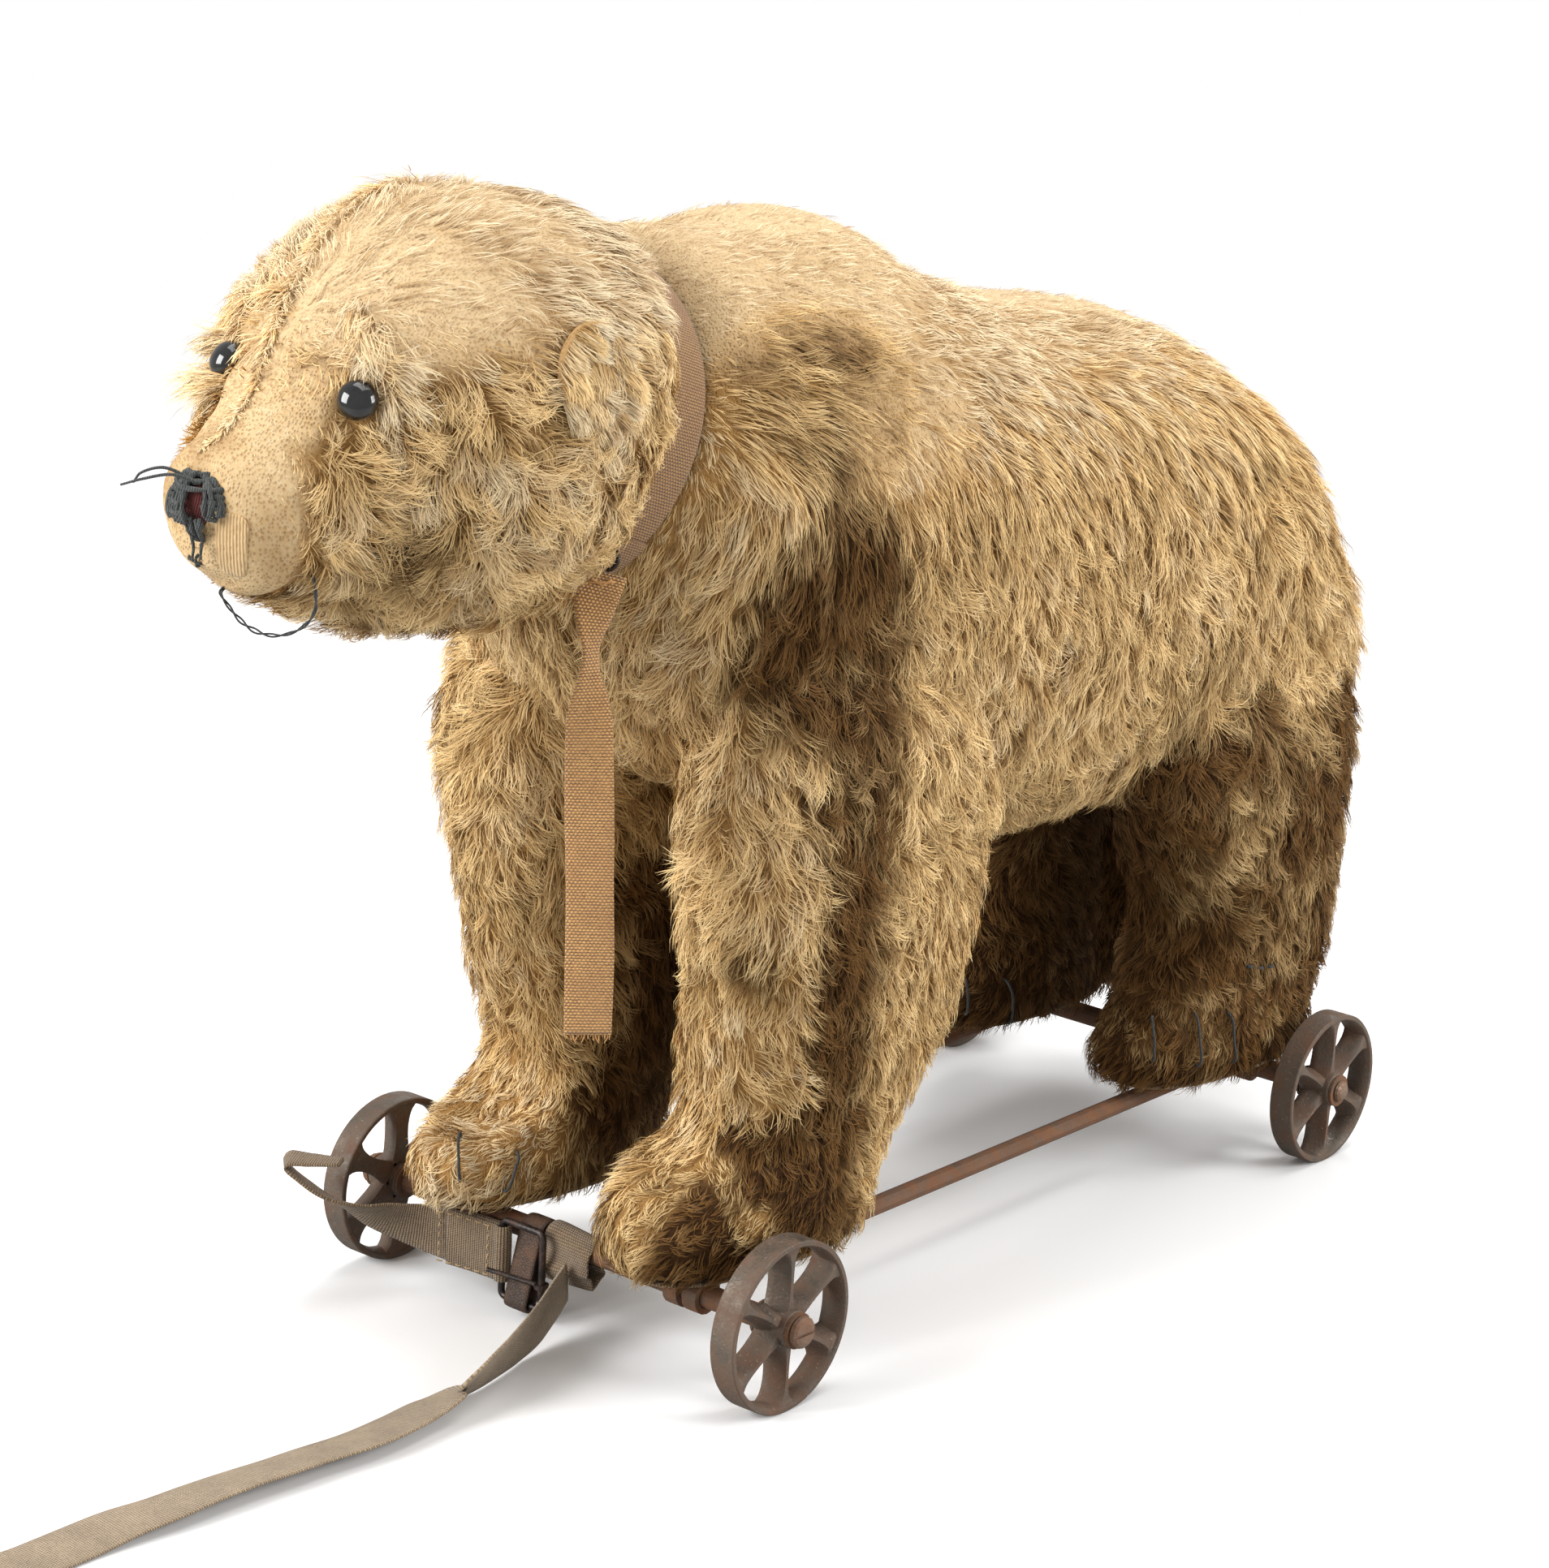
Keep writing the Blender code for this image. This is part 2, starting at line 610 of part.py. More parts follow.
def wheel_mesh():
    """Cast wheel round the X axis: rim, hub and six ridged spokes joined into one solid.

    x is measured from the rim's outer face, negative towards the bear.
    """
    corner_r = WHEEL_R / math.cos(math.pi / TREAD_FACETS)
    rim = [
        (0.0, corner_r),
        (0.0, WHEEL_R - RIM_EDGE),
        (-RIM_WIDTH / 2, WHEEL_R - RIM_CREST),
        (-RIM_WIDTH, WHEEL_R - RIM_EDGE),
        (-RIM_WIDTH, corner_r),
    ]
    hub_in = -RIM_WIDTH - HUB_PROUD
    bore_r = hole_r(JOURNAL_R, 16)
    hub = [
        (hub_in, bore_r),
        (HUB_PROUD, bore_r),
        (HUB_PROUD, HUB_R - 0.7 * MM),
        (HUB_PROUD - 0.7 * MM, HUB_R),
        (hub_in, HUB_R),
    ]
    along = np.array([1.0, 0.0, 0.0])
    origin = np.zeros(3)
    wheel = guide("wheel_rim_guide", hoop(rim, origin, along, TREAD_FACETS))
    others = [guide("wheel_hub_guide", hoop(hub, origin, along, 16))]
    rim_inner = WHEEL_R - RIM_EDGE
    span = rim_inner - HUB_R
    shares = np.array([-0.10, 0.16, 0.50, 0.82, 1.03])
    backs = np.array([5.6, 4.0, 3.5, 5.0, 8.2]) * MM
    ridges = np.array([2.6, 1.2, 0.9, 1.8, 4.2]) * MM
    for i in range(SPOKES):
        turn = 2 * math.pi * (i + 0.5) / SPOKES
        out = np.array([0.0, math.cos(turn), math.sin(turn)])
        across = np.array([0.0, -math.sin(turn), math.cos(turn)])
        rings = []
        for share, back, ridge in zip(shares, backs, ridges):
            foot = out * (HUB_R + span * share)
            inner_x = -RIM_WIDTH + 1.0 * MM
            outer_x = -0.9 * MM
            rings.append([
                foot + along * inner_x - across * back,
                foot + along * outer_x - across * ridge,
                foot + along * outer_x + across * ridge,
                foot + along * inner_x + across * back,
            ])
        others.append(guide(f"wheel_spoke_guide_{i}", skin_rings(np.array(rings))))
    for other in others:
        combine(wheel, other, "UNION")
    bore_profile = plug(-BORE_REACH, BORE_REACH, bore_r)
    bore = guide("wheel_bore_guide", turned(bore_profile, origin, along, 16))
    combine(wheel, bore, "DIFFERENCE")
    bpy.context.view_layer.update()
    scene = bpy.context.evaluated_depsgraph_get()
    mesh = bpy.data.meshes.new_from_object(wheel.evaluated_get(scene))
    mesh.name = "cast_wheel"
    mesh.materials.clear()
    for thing in [wheel, bore] + others:
        bpy.data.objects.remove(thing, do_unlink=True)
    return mesh


def corners():
    """The four wheel places: name, hand (+1 left, -1 right) and the axle's Y."""
    for end, y in (("front", FRONT_Y), ("rear", REAR_Y)):
        for side, hand in (("left", 1), ("right", -1)):
            yield f"{end}_{side}", hand, y


def hub_inner_x():
    """Distance of the hub's inner face from the middle of the axle."""
    return RIM_FACE_X - RIM_WIDTH - HUB_PROUD


def build_wheels():
    """Four wheels that share one mesh, with a washer on each side of the hub."""
    left_mesh = wheel_mesh()
    right_mesh = left_mesh.copy()
    right_mesh.transform(Matrix.Scale(-1, 4, Vector((1, 0, 0))))
    right_mesh.flip_normals()
    for name, hand, y in corners():
        mesh = left_mesh if hand > 0 else right_mesh
        centre = np.array([hand * RIM_FACE_X, y, AXLE_Z])
        place(f"wheel_{name}", mesh, "cast_iron", centre)
        outward = np.array([float(hand), 0.0, 0.0])
        hole = hole_r(JOURNAL_R, 16)
        inner = np.array([hand * (hub_inner_x() - GAP - WASHER_T), y, AXLE_Z])
        add(f"inner_washer_{name}", washer(inner, outward, hole, WASHER_R, WASHER_T), "rusty_steel", inner)
        outer = np.array([hand * (RIM_FACE_X + HUB_PROUD + GAP), y, AXLE_Z])
        add(f"outer_washer_{name}", washer(outer, outward, hole, WASHER_R, WASHER_T), "rusty_steel", outer)


def build_axles():
    """Stepped axles, with screws in the front ends and peened rivet heads on the rear ones."""
    shoulder = hub_inner_x() - 2 * GAP - WASHER_T
    tip = RIM_FACE_X + HUB_PROUD + 2 * GAP + WASHER_T
    along = np.array([1.0, 0.0, 0.0])
    bore_r = SCREW_SHANK_R + GAP
    bore = SCREW_LENGTH + GAP
    for name, y in (("front_axle", FRONT_Y), ("rear_axle", REAR_Y)):
        profile = [
            (-tip + bore, 0.0002), (-tip + bore, bore_r), (-tip, bore_r),
            (-tip, JOURNAL_R), (-shoulder, JOURNAL_R), (-shoulder, AXLE_R),
            (shoulder, AXLE_R), (shoulder, JOURNAL_R), (tip, JOURNAL_R),
            (tip, bore_r), (tip - bore, bore_r), (tip - bore, 0.0002),
        ]
        origin = np.array([0.0, y, AXLE_Z])
        add(name, turned(profile, origin, along, 16), "rusty_steel", origin)
    for name, hand, y in corners():
        seat = np.array([hand * (tip + GAP), y, AXLE_Z])
        outward = along * hand
        if y < 0:
            build_screw(f"axle_screw_{name}", seat, outward)
        else:
            build_rivet(f"axle_rivet_{name}", seat, outward)


def build_screw(name, seat, outward):
    """Slotted screw: its head lies on the axle's end and its shank goes into the bore."""
    r = SCREW_HEAD_R
    t = SCREW_HEAD_T
    profile = [
        (-SCREW_LENGTH, 0.3 * MM), (-SCREW_LENGTH, SCREW_SHANK_R), (0.0, SCREW_SHANK_R),
        (0.0, r), (t * 0.55, r), (t * 0.85, r * 0.86), (t, r * 0.6), (t, 0.3 * MM),
    ]
    screw = add(name, turned(profile, seat, outward, 16), "rusty_steel", seat)
    slot_floor = seat + outward * (t - 1.1 * MM)
    slot_top = seat + outward * (t + 1.0 * MM)
    low = np.minimum(slot_floor, slot_top) - np.array([0.0, r * 1.3, SCREW_SLOT / 2])
    high = np.maximum(slot_floor, slot_top) + np.array([0.0, r * 1.3, SCREW_SLOT / 2])
    slot = guide(f"{name}_slot_guide", box(low, high))
    combine(screw, slot, "DIFFERENCE")


def build_rivet(name, seat, outward):
    """Domed rivet, hammered over the washer, with its shank in the axle's end."""
    r = RIVET_HEAD_R
    t = RIVET_HEAD_T
    profile = [
        (-SCREW_LENGTH, 0.3 * MM), (-SCREW_LENGTH, SCREW_SHANK_R), (0.0, SCREW_SHANK_R),
        (0.0, r), (t * 0.45, r * 0.93), (t * 0.8, r * 0.68), (t, r * 0.3), (t, 0.3 * MM),
    ]
    add(name, turned(profile, seat, outward, 12), "rusty_steel", seat)


def build_rails():
    """Two rods that tie the axles together, each with an eye round both axles."""
    along = np.array([1.0, 0.0, 0.0])
    for side, hand in (("left", 1), ("right", -1)):
        x = hand * RAIL_X
        reach = WHEELBASE / 2 - AXLE_R - GAP - 0.8 * MM
        origin = np.array([x, 0.0, AXLE_Z])
        rail = add(
            f"side_rail_{side}",
            rod([(x, -reach, AXLE_Z), (x, 0.0, AXLE_Z), (x, reach, AXLE_Z)], RAIL_R),
            "rusty_steel", origin)
        for end, y in (("front", FRONT_Y), ("rear", REAR_Y)):
            start = np.array([x - EYE_WIDTH / 2, y, AXLE_Z])
            eye_shape = washer(start, along, hole_r(AXLE_R, 16), EYE_R, EYE_WIDTH)
            eye = guide(f"rail_eye_guide_{end}_{side}", eye_shape)
            combine(rail, eye, "UNION")


def post_route(hand, y, bends, extra=0.0):
    """Places along the rod in a leg: up from the axle's eye, through its bends."""
    x = hand * POST_X
    start = (x, y, AXLE_Z + EYE_R - 1.0 * MM)
    first = (x, y, SOLE_Z + COVER_T)
    route = [start, first] + [(x, y + by * MM, bz * MM) for by, bz in bends]
    route = np.array(route)
    route[-1] += unit(route[-1] - route[-2]) * extra
    return route


def leg_rods():
    """Names, hands and bends of the four rods inside the legs."""
    for end, y, bends in (("front", FRONT_Y, FRONT_POST_BENDS), ("rear", REAR_Y, REAR_POST_BENDS)):
        for side, hand in (("left", 1), ("right", -1)):
            yield f"{end}_{side}", hand, y, bends


def build_posts():
    """Bent rods inside the legs, standing on eyes round the axles."""
    along = np.array([1.0, 0.0, 0.0])
    for name, hand, y, bends in leg_rods():
        post = add(f"leg_rod_{name}", rod(post_route(hand, y, bends), POST_R), "rusty_steel")
        start = np.array([hand * POST_X - EYE_WIDTH / 2, y, AXLE_Z])
        eye_shape = washer(start, along, hole_r(AXLE_R, 16), EYE_R, EYE_WIDTH)
        eye = guide(f"post_eye_guide_{name}", eye_shape)
        combine(post, eye, "UNION")


def on_neck(along):
    """A place on the neck's axis."""
    return NECK + NECK_AXIS * along


def neck_layers():
    """Distances from the joint's plane to each layer on either side of it."""
    disc = GAP / 2 + COVER_T + GAP
    plate = disc + DISC_T + GAP
    head = plate + WASHER_T + GAP
    return disc, plate, head


def build_body():
    """Torso and legs: a plush cover, open at the neck and soles, round a stuffing of wood wool."""
    for name, inset in (("body_cover", 0.0), ("body_core_guide", COVER_T), ("body_stuffing", COVER_T + GAP)):
        torso = trunk(TORSO, -1, TORSO_RINGS, TORSO_SIDES, inset)
        colour = "mohair" if name == "body_cover" else "wood_wool"
        thing = guide(name, torso) if name == "body_core_guide" else add(name, torso, colour, crease=60.0)
        for label, hand, y in corners():
            table = FRONT_LEG if y < 0 else REAR_LEG
            limb = guide(f"{name}_leg_{label}", leg(table, hand, y, inset))
            combine(thing, limb, "UNION")
    cover = bpy.data.objects["body_cover"]
    stuffing = bpy.data.objects["body_stuffing"]
    combine(cover, bpy.data.objects["body_core_guide"], "DIFFERENCE")
    for label, hand, y, bends in leg_rods():
        route = post_route(hand, y, bends, GAP)
        channel = guide(f"rod_channel_guide_{label}", rod(route, POST_R + GAP))
        combine(stuffing, channel, "DIFFERENCE")
        mouth_low = np.array([hand * POST_X, y, AXLE_Z])
        mouth = plug(0.0, SOLE_Z + 3 * COVER_T - AXLE_Z, POST_R + POST_MOUTH)
        opening = guide(f"rod_mouth_guide_{label}", turned(mouth, mouth_low, (0, 0, 1), 14))
        combine(cover, opening, "DIFFERENCE")
    cut_neck(cover, stuffing, -1)


def cut_neck(cover, stuffing, direction):
    """Pin hole in a cover, and the pockets in its stuffing for the disc, washer and pin head."""
    _, plate, head = neck_layers()
    axis = NECK_AXIS * direction
    name = cover.name
    hole = plug(-2 * COVER_T, 2 * COVER_T, PIN_R + PIN_SLACK)
    pin_hole = guide(f"{name}_pin_guide", turned(hole, NECK, axis, 16))
    combine(cover, pin_hole, "DIFFERENCE")
    deep = head + PIN_HEAD_T + GAP
    small = hole_r(NECK_WASHER_R, 24)
    large = hole_r(DISC_R, 24)
    profile = [
        (-DISC_T, TINY_R), (-DISC_T, large), (plate, large),
        (plate, small), (deep, small), (deep, TINY_R),
    ]
    pocket = guide(f"{name}_pocket_guide", turned(profile, NECK, axis, 24))
    combine(stuffing, pocket, "DIFFERENCE")


def build_neck_joint():
    """Two card discs, two washers and the headed pin that they turn on."""
    disc, plate, head = neck_layers()
    for side, direction in (("head", 1), ("body", -1)):
        axis = NECK_AXIS * direction
        at = NECK + axis * disc
        add(f"neck_disc_{side}", washer(at, axis, hole_r(PIN_R, 24), DISC_R, DISC_T, 24), "card", at)
        at = NECK + axis * plate
        small = washer(at, axis, hole_r(PIN_R, 16), NECK_WASHER_R, WASHER_T)
        add(f"neck_washer_{side}", small, "dark_steel", at)
    end = head + PIN_HEAD_T
    pin = [
        (-end, 0.3 * MM), (-end, PIN_HEAD_R), (-head, PIN_HEAD_R), (-head, PIN_R),
        (head, PIN_R), (head, PIN_HEAD_R), (end, PIN_HEAD_R), (end, 0.3 * MM),
    ]
    add("neck_pin", turned(pin, NECK, NECK_AXIS, 16), "dark_steel", NECK)


def head_surface(share, turn):
    """Place and outward direction on the head: share of the way to the nose, turn up from the left side."""
    rows = trunk_rows(HEAD, 1, 101, 0.0)[1:]
    turn = int(turn)

    def place_at(i, a):
        return side_ring(rows[i], 360, 2.15)[a % 360]

    i = int(round(share * 100))
    spot = place_at(i, turn)
    along = place_at(i + 1, turn) - place_at(i - 1, turn)
    around = place_at(i, turn + 2) - place_at(i, turn - 2)
    outward = unit(np.cross(around, along))
    if outward @ (spot - rows[i][[0, 1, 2]] * np.array([0.0, MM, MM])) < 0:
        outward = -outward
    return spot, outward


def mirrored(vector, hand):
    """The same vector on the left or right side."""
    return vector * np.array([hand, 1.0, 1.0])


def build_head():
    """Head cover and stuffing, with the eyes' shanks going into both."""
    outside, inside, core_shape = (
        trunk(HEAD, 1, HEAD_RINGS, HEAD_SIDES, inset) for inset in (0.0, COVER_T, COVER_T + GAP))
    cover = add("head_cover", outside, "mohair", NECK, 60.0)
    core = guide("head_core_guide", inside)
    stuffing = add("head_stuffing", core_shape, "wood_wool", NECK, 60.0)
    combine(cover, core, "DIFFERENCE")
    cut_neck(cover, stuffing, 1)
    for side, hand in (("left", 1), ("right", -1)):
        spot, outward = head_surface(*EYE_SEATS[side])
        at = mirrored(spot, hand)
        axis = mirrored(outward, hand)
        deep = EYE_SHANK + GAP
        r = EYE_SHANK_R + GAP
        hole = guide(f"eye_hole_guide_{side}", turned(plug(-deep, 2 * COVER_T, r), at, axis, 10))
        combine(cover, hole, "DIFFERENCE")
        combine(stuffing, hole, "DIFFERENCE")
        build_eye(side, at + axis * GAP, axis)


def build_eye(side, seat, axis):
    """Boot-button eye: a domed button with a short shank."""
    r = EYE_BUTTON_R
    t = EYE_BUTTON_T
    profile = [(-EYE_SHANK, 0.3 * MM), (-EYE_SHANK, EYE_SHANK_R), (0.0, EYE_SHANK_R), (0.0, r * 0.8)]
    for angle in (0, 22, 44, 62, 78):
        a = math.radians(angle)
        profile.append((1.2 * MM + (t - 1.2 * MM) * math.sin(a), r * math.cos(a)))
    profile.append((t, 0.3 * MM))
    add(f"eye_{side}", turned(profile, seat, axis, 14), "boot_button", seat)


def build_ears():
    """Flat ears that lie against the head, hollowed towards the front of their rims."""
    spot, outward = head_surface(*EAR_SEAT)
    clear = guide("ear_seat_guide", trunk(HEAD, 1, HEAD_RINGS, HEAD_SIDES, -GAP))
    for side, hand in (("left", 1), ("right", -1)):
        at = mirrored(spot, hand)
        axis = mirrored(outward, hand)
        tall = unit(np.array([0.0, 0.25, 1.0]))
        tall = unit(tall - (tall @ axis) * axis)
        wide = np.cross(axis, tall)
        profile = [(-7 * MM, 0.06), (-7 * MM, 1.0), (EAR_T * 0.45, 1.0), (EAR_T * 0.85, 0.86)]
        profile += [(EAR_T, 0.66), (EAR_T * 0.7, 0.45), (EAR_T * 0.6, 0.06)]
        angle = np.linspace(0.0, 2 * math.pi, 16, endpoint=False)
        rings = []
        for along, r in profile:
            across = EAR_HALF[0] * np.cos(angle)[:, None] * wide
            rings.append(at + along * axis + r * (across + EAR_HALF[1] * np.sin(angle)[:, None] * tall))
        ear = add(f"ear_{side}", skin_rings(np.array(rings)), "mohair", at)
        combine(ear, clear, "DIFFERENCE")


def build_nose():
    """Stitched wool nose that caps the muzzle's tip, and the loose thread of the mouth."""
    clear = guide("nose_seat_guide", trunk(HEAD, 1, HEAD_RINGS, HEAD_SIDES, -GAP))
    centre = np.array([0.0, NOSE_TIP_Y + NOSE_HALF[1], NOSE_Z])
    rings = []
    for angle in np.linspace(-84, 84, 9):
        a = math.radians(angle)
        around = np.linspace(0.0, 2 * math.pi, 16, endpoint=False)
        ring = np.stack([
            NOSE_HALF[0] * math.cos(a) * np.cos(around),
            np.full(16, NOSE_HALF[1] * math.sin(a)),
            NOSE_HALF[2] * math.cos(a) * np.sin(around)], axis=1)
        rings.append(centre + ring)
    nose = add("nose_stitching", skin_rings(np.array(rings)), "nose_wool", centre)
    combine(nose, clear, "DIFFERENCE")
    thread_curve("mouth_thread", MOUTH_ROUTE, THREAD_R, 34)


def thread_curve(name, route, radius, count):
    """Round thread: a poly spline with filled ends."""
    curve = bpy.data.curves.new(name, "CURVE")
    curve.dimensions = "3D"
    curve.bevel_depth = radius
    curve.bevel_resolution = 2
    curve.use_fill_caps = True
    places = smooth_route(route, count) * MM
    line = curve.splines.new("POLY")
    line.points.add(len(places) - 1)
    for point, spot in zip(line.points, places):
        point.co = (*spot, 1.0)
    curve.materials.append(finish("thread"))
    thing = bpy.data.objects.new(name, curve)
    thing.location = Vector(SHIFT)
    bpy.context.collection.objects.link(thing)


def build_collar():
    """Webbing collar over the neck joint, its ring and its hanging end."""
    low = -COLLAR_WIDTH / 2
    inner = hole_r(NECK_R, NECK_FACETS)
    outer = inner + COLLAR_T
    section = [(low, inner), (-low, inner), (-low, outer), (low, outer)]
    add("collar", hoop(section, NECK, NECK_AXIS, NECK_FACETS), "tape", NECK)
    side = np.array([1.0, 0.0, 0.0])
    up = np.array([0.0, math.sin(NECK_TILT), math.cos(NECK_TILT)])
    away = math.cos(RING_ANGLE) * side + math.sin(RING_ANGLE) * up
    flat = outer * math.cos(math.pi / NECK_FACETS)
    centre = on_neck(RING_ALONG) + away * (flat + GAP + RING_R + RING_WIRE_R)
    angle = np.linspace(0.0, 2 * math.pi, 8, endpoint=False)
    wire = [(RING_WIRE_R * math.cos(a), RING_R + RING_WIRE_R * math.sin(a)) for a in angle]
    add("collar_ring", hoop(wire, centre, NECK_AXIS, 16), "dark_steel", centre)
    rows = smooth_route(TAIL_ROUTE, 25)
    turn = np.radians(rows[:, 3])
    ways = np.stack([np.cos(turn), np.sin(turn), np.zeros(len(rows))], axis=1)
    narrow = 1.0 - 0.45 * np.exp(-((rows[:, 2] - TAIL_TWIST_Z) / 12.0) ** 2)
    add("collar_tail", band(centre + rows[:, :3] * MM, ways, TAIL_WIDTH * narrow, TAIL_T), "tape")


def pull_rows():
    """Places and width directions of the pull strap, its lower edge kept just off the floor."""
    rows = smooth_route(PULL_ROUTE, 44)
    places = rows[:, :3] * MM + np.array([0.0, FRONT_Y, 0.0])
    raised = np.radians(rows[:, 3])
    heading = unit(np.gradient(places, axis=0))
    ways = np.stack([np.cos(raised), np.zeros(len(rows)), np.sin(raised)], axis=1)
    ways = unit(ways - (ways * heading).sum(1)[:, None] * heading)
    face = np.cross(heading, ways)
    low = FLOOR_GAP + np.abs(ways[:, 2]) * WEBBING / 2 + np.abs(face[:, 2]) * WEBBING_T / 2
    places[:, 2] = np.maximum(places[:, 2], low)
    return places, ways


def build_pull_strap():
    """Webbing loop on the front axle, the strap that leads away from it and its stored coil."""
    axle = np.array([FRONT_Y, AXLE_Z])
    low = axle + LOOP_DROP
    left = LOOP_X - WEBBING / 2
    right = LOOP_X + WEBBING / 2
    loop = belt(axle, AXLE_R + GAP, low, LOOP_LOW_R, WEBBING_T, left, right)
    add("pull_strap_loop", loop, "khaki")
    places, ways = pull_rows()
    add("pull_strap", band(places, ways, WEBBING, WEBBING_T), "khaki")
    half = WEBBING / 2
    reach = COIL_R + COIL_HALF
    meets = np.array([places[-1][0], places[-1][1], half + FLOOR_GAP])
    centre = meets - np.array([reach + WEBBING_T / 2 + GAP, 0.0, 0.0])
    section = [(-half, COIL_R - COIL_HALF), (half, COIL_R - COIL_HALF), (half, reach), (-half, reach)]
    add("pull_strap_coil", hoop(section, centre, (0, 0, 1), 36), "khaki", centre)


def buckle_low():
    """The buckle's lower outer corner, hung in front of the front axle."""
    return BUCKLE_LOW + np.array([0.0, FRONT_Y, 0.0])


def build_buckle():
    """Wire buckle on a leather chape round the axle, its prong, and the short strap sewn to it."""
    width, height = BUCKLE_SIZE
    r = BUCKLE_WIRE_R
    low = buckle_low()
    corners = low + np.array([[0, 0, 0], [width, 0, 0], [width, 0, height], [0, 0, height]])
    add("buckle_frame", wire_frame(corners, r), "dark_steel", low)
    build_prong(low + [width, 0, PRONG_RISE])
    axle = np.array([FRONT_Y, AXLE_Z])
    half = CHAPE_WIDTH / 2
    loop = belt(axle, AXLE_R + GAP, low[1:], r + GAP, CHAPE_T, CHAPE_X - half, CHAPE_X + half)
    add("buckle_chape", loop, "leather")
    build_buckle_strap()


def build_prong(pivot):
    """Prong: an eye round the buckle's inner bar and a rod that lies forwards of the outer bar."""
    inner = hole_r(BUCKLE_WIRE_R, 14)
    outer = inner + 1.2 * MM
    half = np.array([0.0, 0.0, PRONG_R])
    eye = washer(pivot - half, (0, 0, 1), inner, outer, 2 * PRONG_R, 14)
    prong = add("buckle_prong", eye, "dark_steel", pivot)
    way = unit(np.array([-math.cos(PRONG_OPEN), -math.sin(PRONG_OPEN), PRONG_TILT]))
    start = pivot + way * (inner + 0.6 * MM)
    end = pivot + way * PRONG_LENGTH
    shaft = guide("prong_rod_guide", rod([start, (start + end) / 2, end], PRONG_R * 0.98, 10))
    combine(prong, shaft, "UNION")


def build_buckle_strap():
    """Short webbing strap: an eye round the buckle's outer bar, a doubled run and a folded tip."""
    inner = hole_r(BUCKLE_WIRE_R, 16)
    outer = inner + WEBBING_T
    low = buckle_low()
    start = np.array([low[0], low[1], BUCKLE_EYE_Z - BUCKLE_EYE_HALF])
    eye = washer(start, (0, 0, 1), inner, outer, 2 * BUCKLE_EYE_HALF, 16)
    strap = add("buckle_strap", eye, "khaki", start)
    rows = smooth_route(BUCKLE_ROUTE + TIP_ROUTE, 34)
    rows[0, 0] = (low[0] - inner - 0.5 * MM) / MM
    places = rows[:, :3] * MM + np.array([0.0, FRONT_Y, 0.0])
    run = band(places, rows[:, 3:6], rows[:, 6] * MM, WEBBING_T * 1.25)
    combine(strap, guide("buckle_strap_guide", run), "UNION")


def sole_shape(table, hand, axle_y):
    """Felt sole: the outline of the paw's underside, a little smaller, as a thin slab."""
    _, x, y, half, ahead, back = np.array(table[-1], float) * MM
    rings = []
    top = SOLE_Z - GAP
    for z in (top - SOLE_T, top):
        centre = np.array([hand * x, axle_y + y, z])
        rings.append(oval(
            centre, np.array([1.0, 0.0, 0.0]), np.array([0.0, 1.0, 0.0]),
            half - SOLE_MARGIN, back - SOLE_MARGIN, ahead - SOLE_MARGIN, LEG_SIDES, 2.3))
    return skin_rings(np.array(rings))


def build_soles():
    """Felt soles under the paws, each with a hole for its leg rod."""
    for label, hand, y in corners():
        table = FRONT_LEG if y < 0 else REAR_LEG
        sole = add(f"sole_{label}", sole_shape(table, hand, y), "felt")
        low = np.array([hand * POST_X, y, AXLE_Z])
        bore = plug(0.0, SOLE_Z + COVER_T - AXLE_Z, POST_R + POST_MOUTH)
        hole = guide(f"sole_hole_guide_{label}", turned(bore, low, (0, 0, 1), 14))
        combine(sole, hole, "DIFFERENCE")


def build():
    """Make every piece of the bear."""
    clear_scene()
    build_wheels()
    build_axles()
    build_rails()
    build_posts()
    build_body()
    build_soles()
    build_neck_joint()
    build_head()
    build_ears()
    build_nose()
    build_collar()
    build_pull_strap()
    build_buckle()


build()
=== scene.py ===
# %% [markdown]
# # A pull-along plush bear on iron wheels
#
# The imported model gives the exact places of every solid. This lesson dresses it: cloth and mohair for the
# soft solids, cast iron and rust for the running gear, woven webbing for the straps. Sizes are written in
# millimetres and turned into metres by MM where a mesh is made.

import json
import math

import bpy
import numpy as np
from mathutils import Matrix

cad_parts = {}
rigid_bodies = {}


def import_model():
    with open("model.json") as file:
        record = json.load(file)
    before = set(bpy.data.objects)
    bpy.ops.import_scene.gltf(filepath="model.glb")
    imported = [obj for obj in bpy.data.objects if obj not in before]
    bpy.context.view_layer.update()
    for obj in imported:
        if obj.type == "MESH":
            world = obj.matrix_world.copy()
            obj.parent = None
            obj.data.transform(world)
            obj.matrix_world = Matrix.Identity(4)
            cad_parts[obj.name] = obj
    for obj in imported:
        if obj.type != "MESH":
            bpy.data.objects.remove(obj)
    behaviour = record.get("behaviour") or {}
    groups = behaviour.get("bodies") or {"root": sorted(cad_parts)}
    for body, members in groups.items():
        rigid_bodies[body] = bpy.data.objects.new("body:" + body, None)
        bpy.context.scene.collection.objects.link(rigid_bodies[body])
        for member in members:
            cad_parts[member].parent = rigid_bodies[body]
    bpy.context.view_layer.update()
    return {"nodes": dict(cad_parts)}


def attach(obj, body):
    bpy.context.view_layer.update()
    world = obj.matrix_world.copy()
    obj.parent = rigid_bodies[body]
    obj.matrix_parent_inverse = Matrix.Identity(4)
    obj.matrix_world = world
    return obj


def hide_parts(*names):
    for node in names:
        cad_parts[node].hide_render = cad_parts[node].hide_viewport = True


for leftover in list(bpy.data.objects):
    bpy.data.objects.remove(leftover, do_unlink=True)
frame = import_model()
nodes = frame["nodes"]
MM = 0.001
SHIFT = np.array([0.0, 65.5, 0.0])
X = np.array([1.0, 0.0, 0.0])
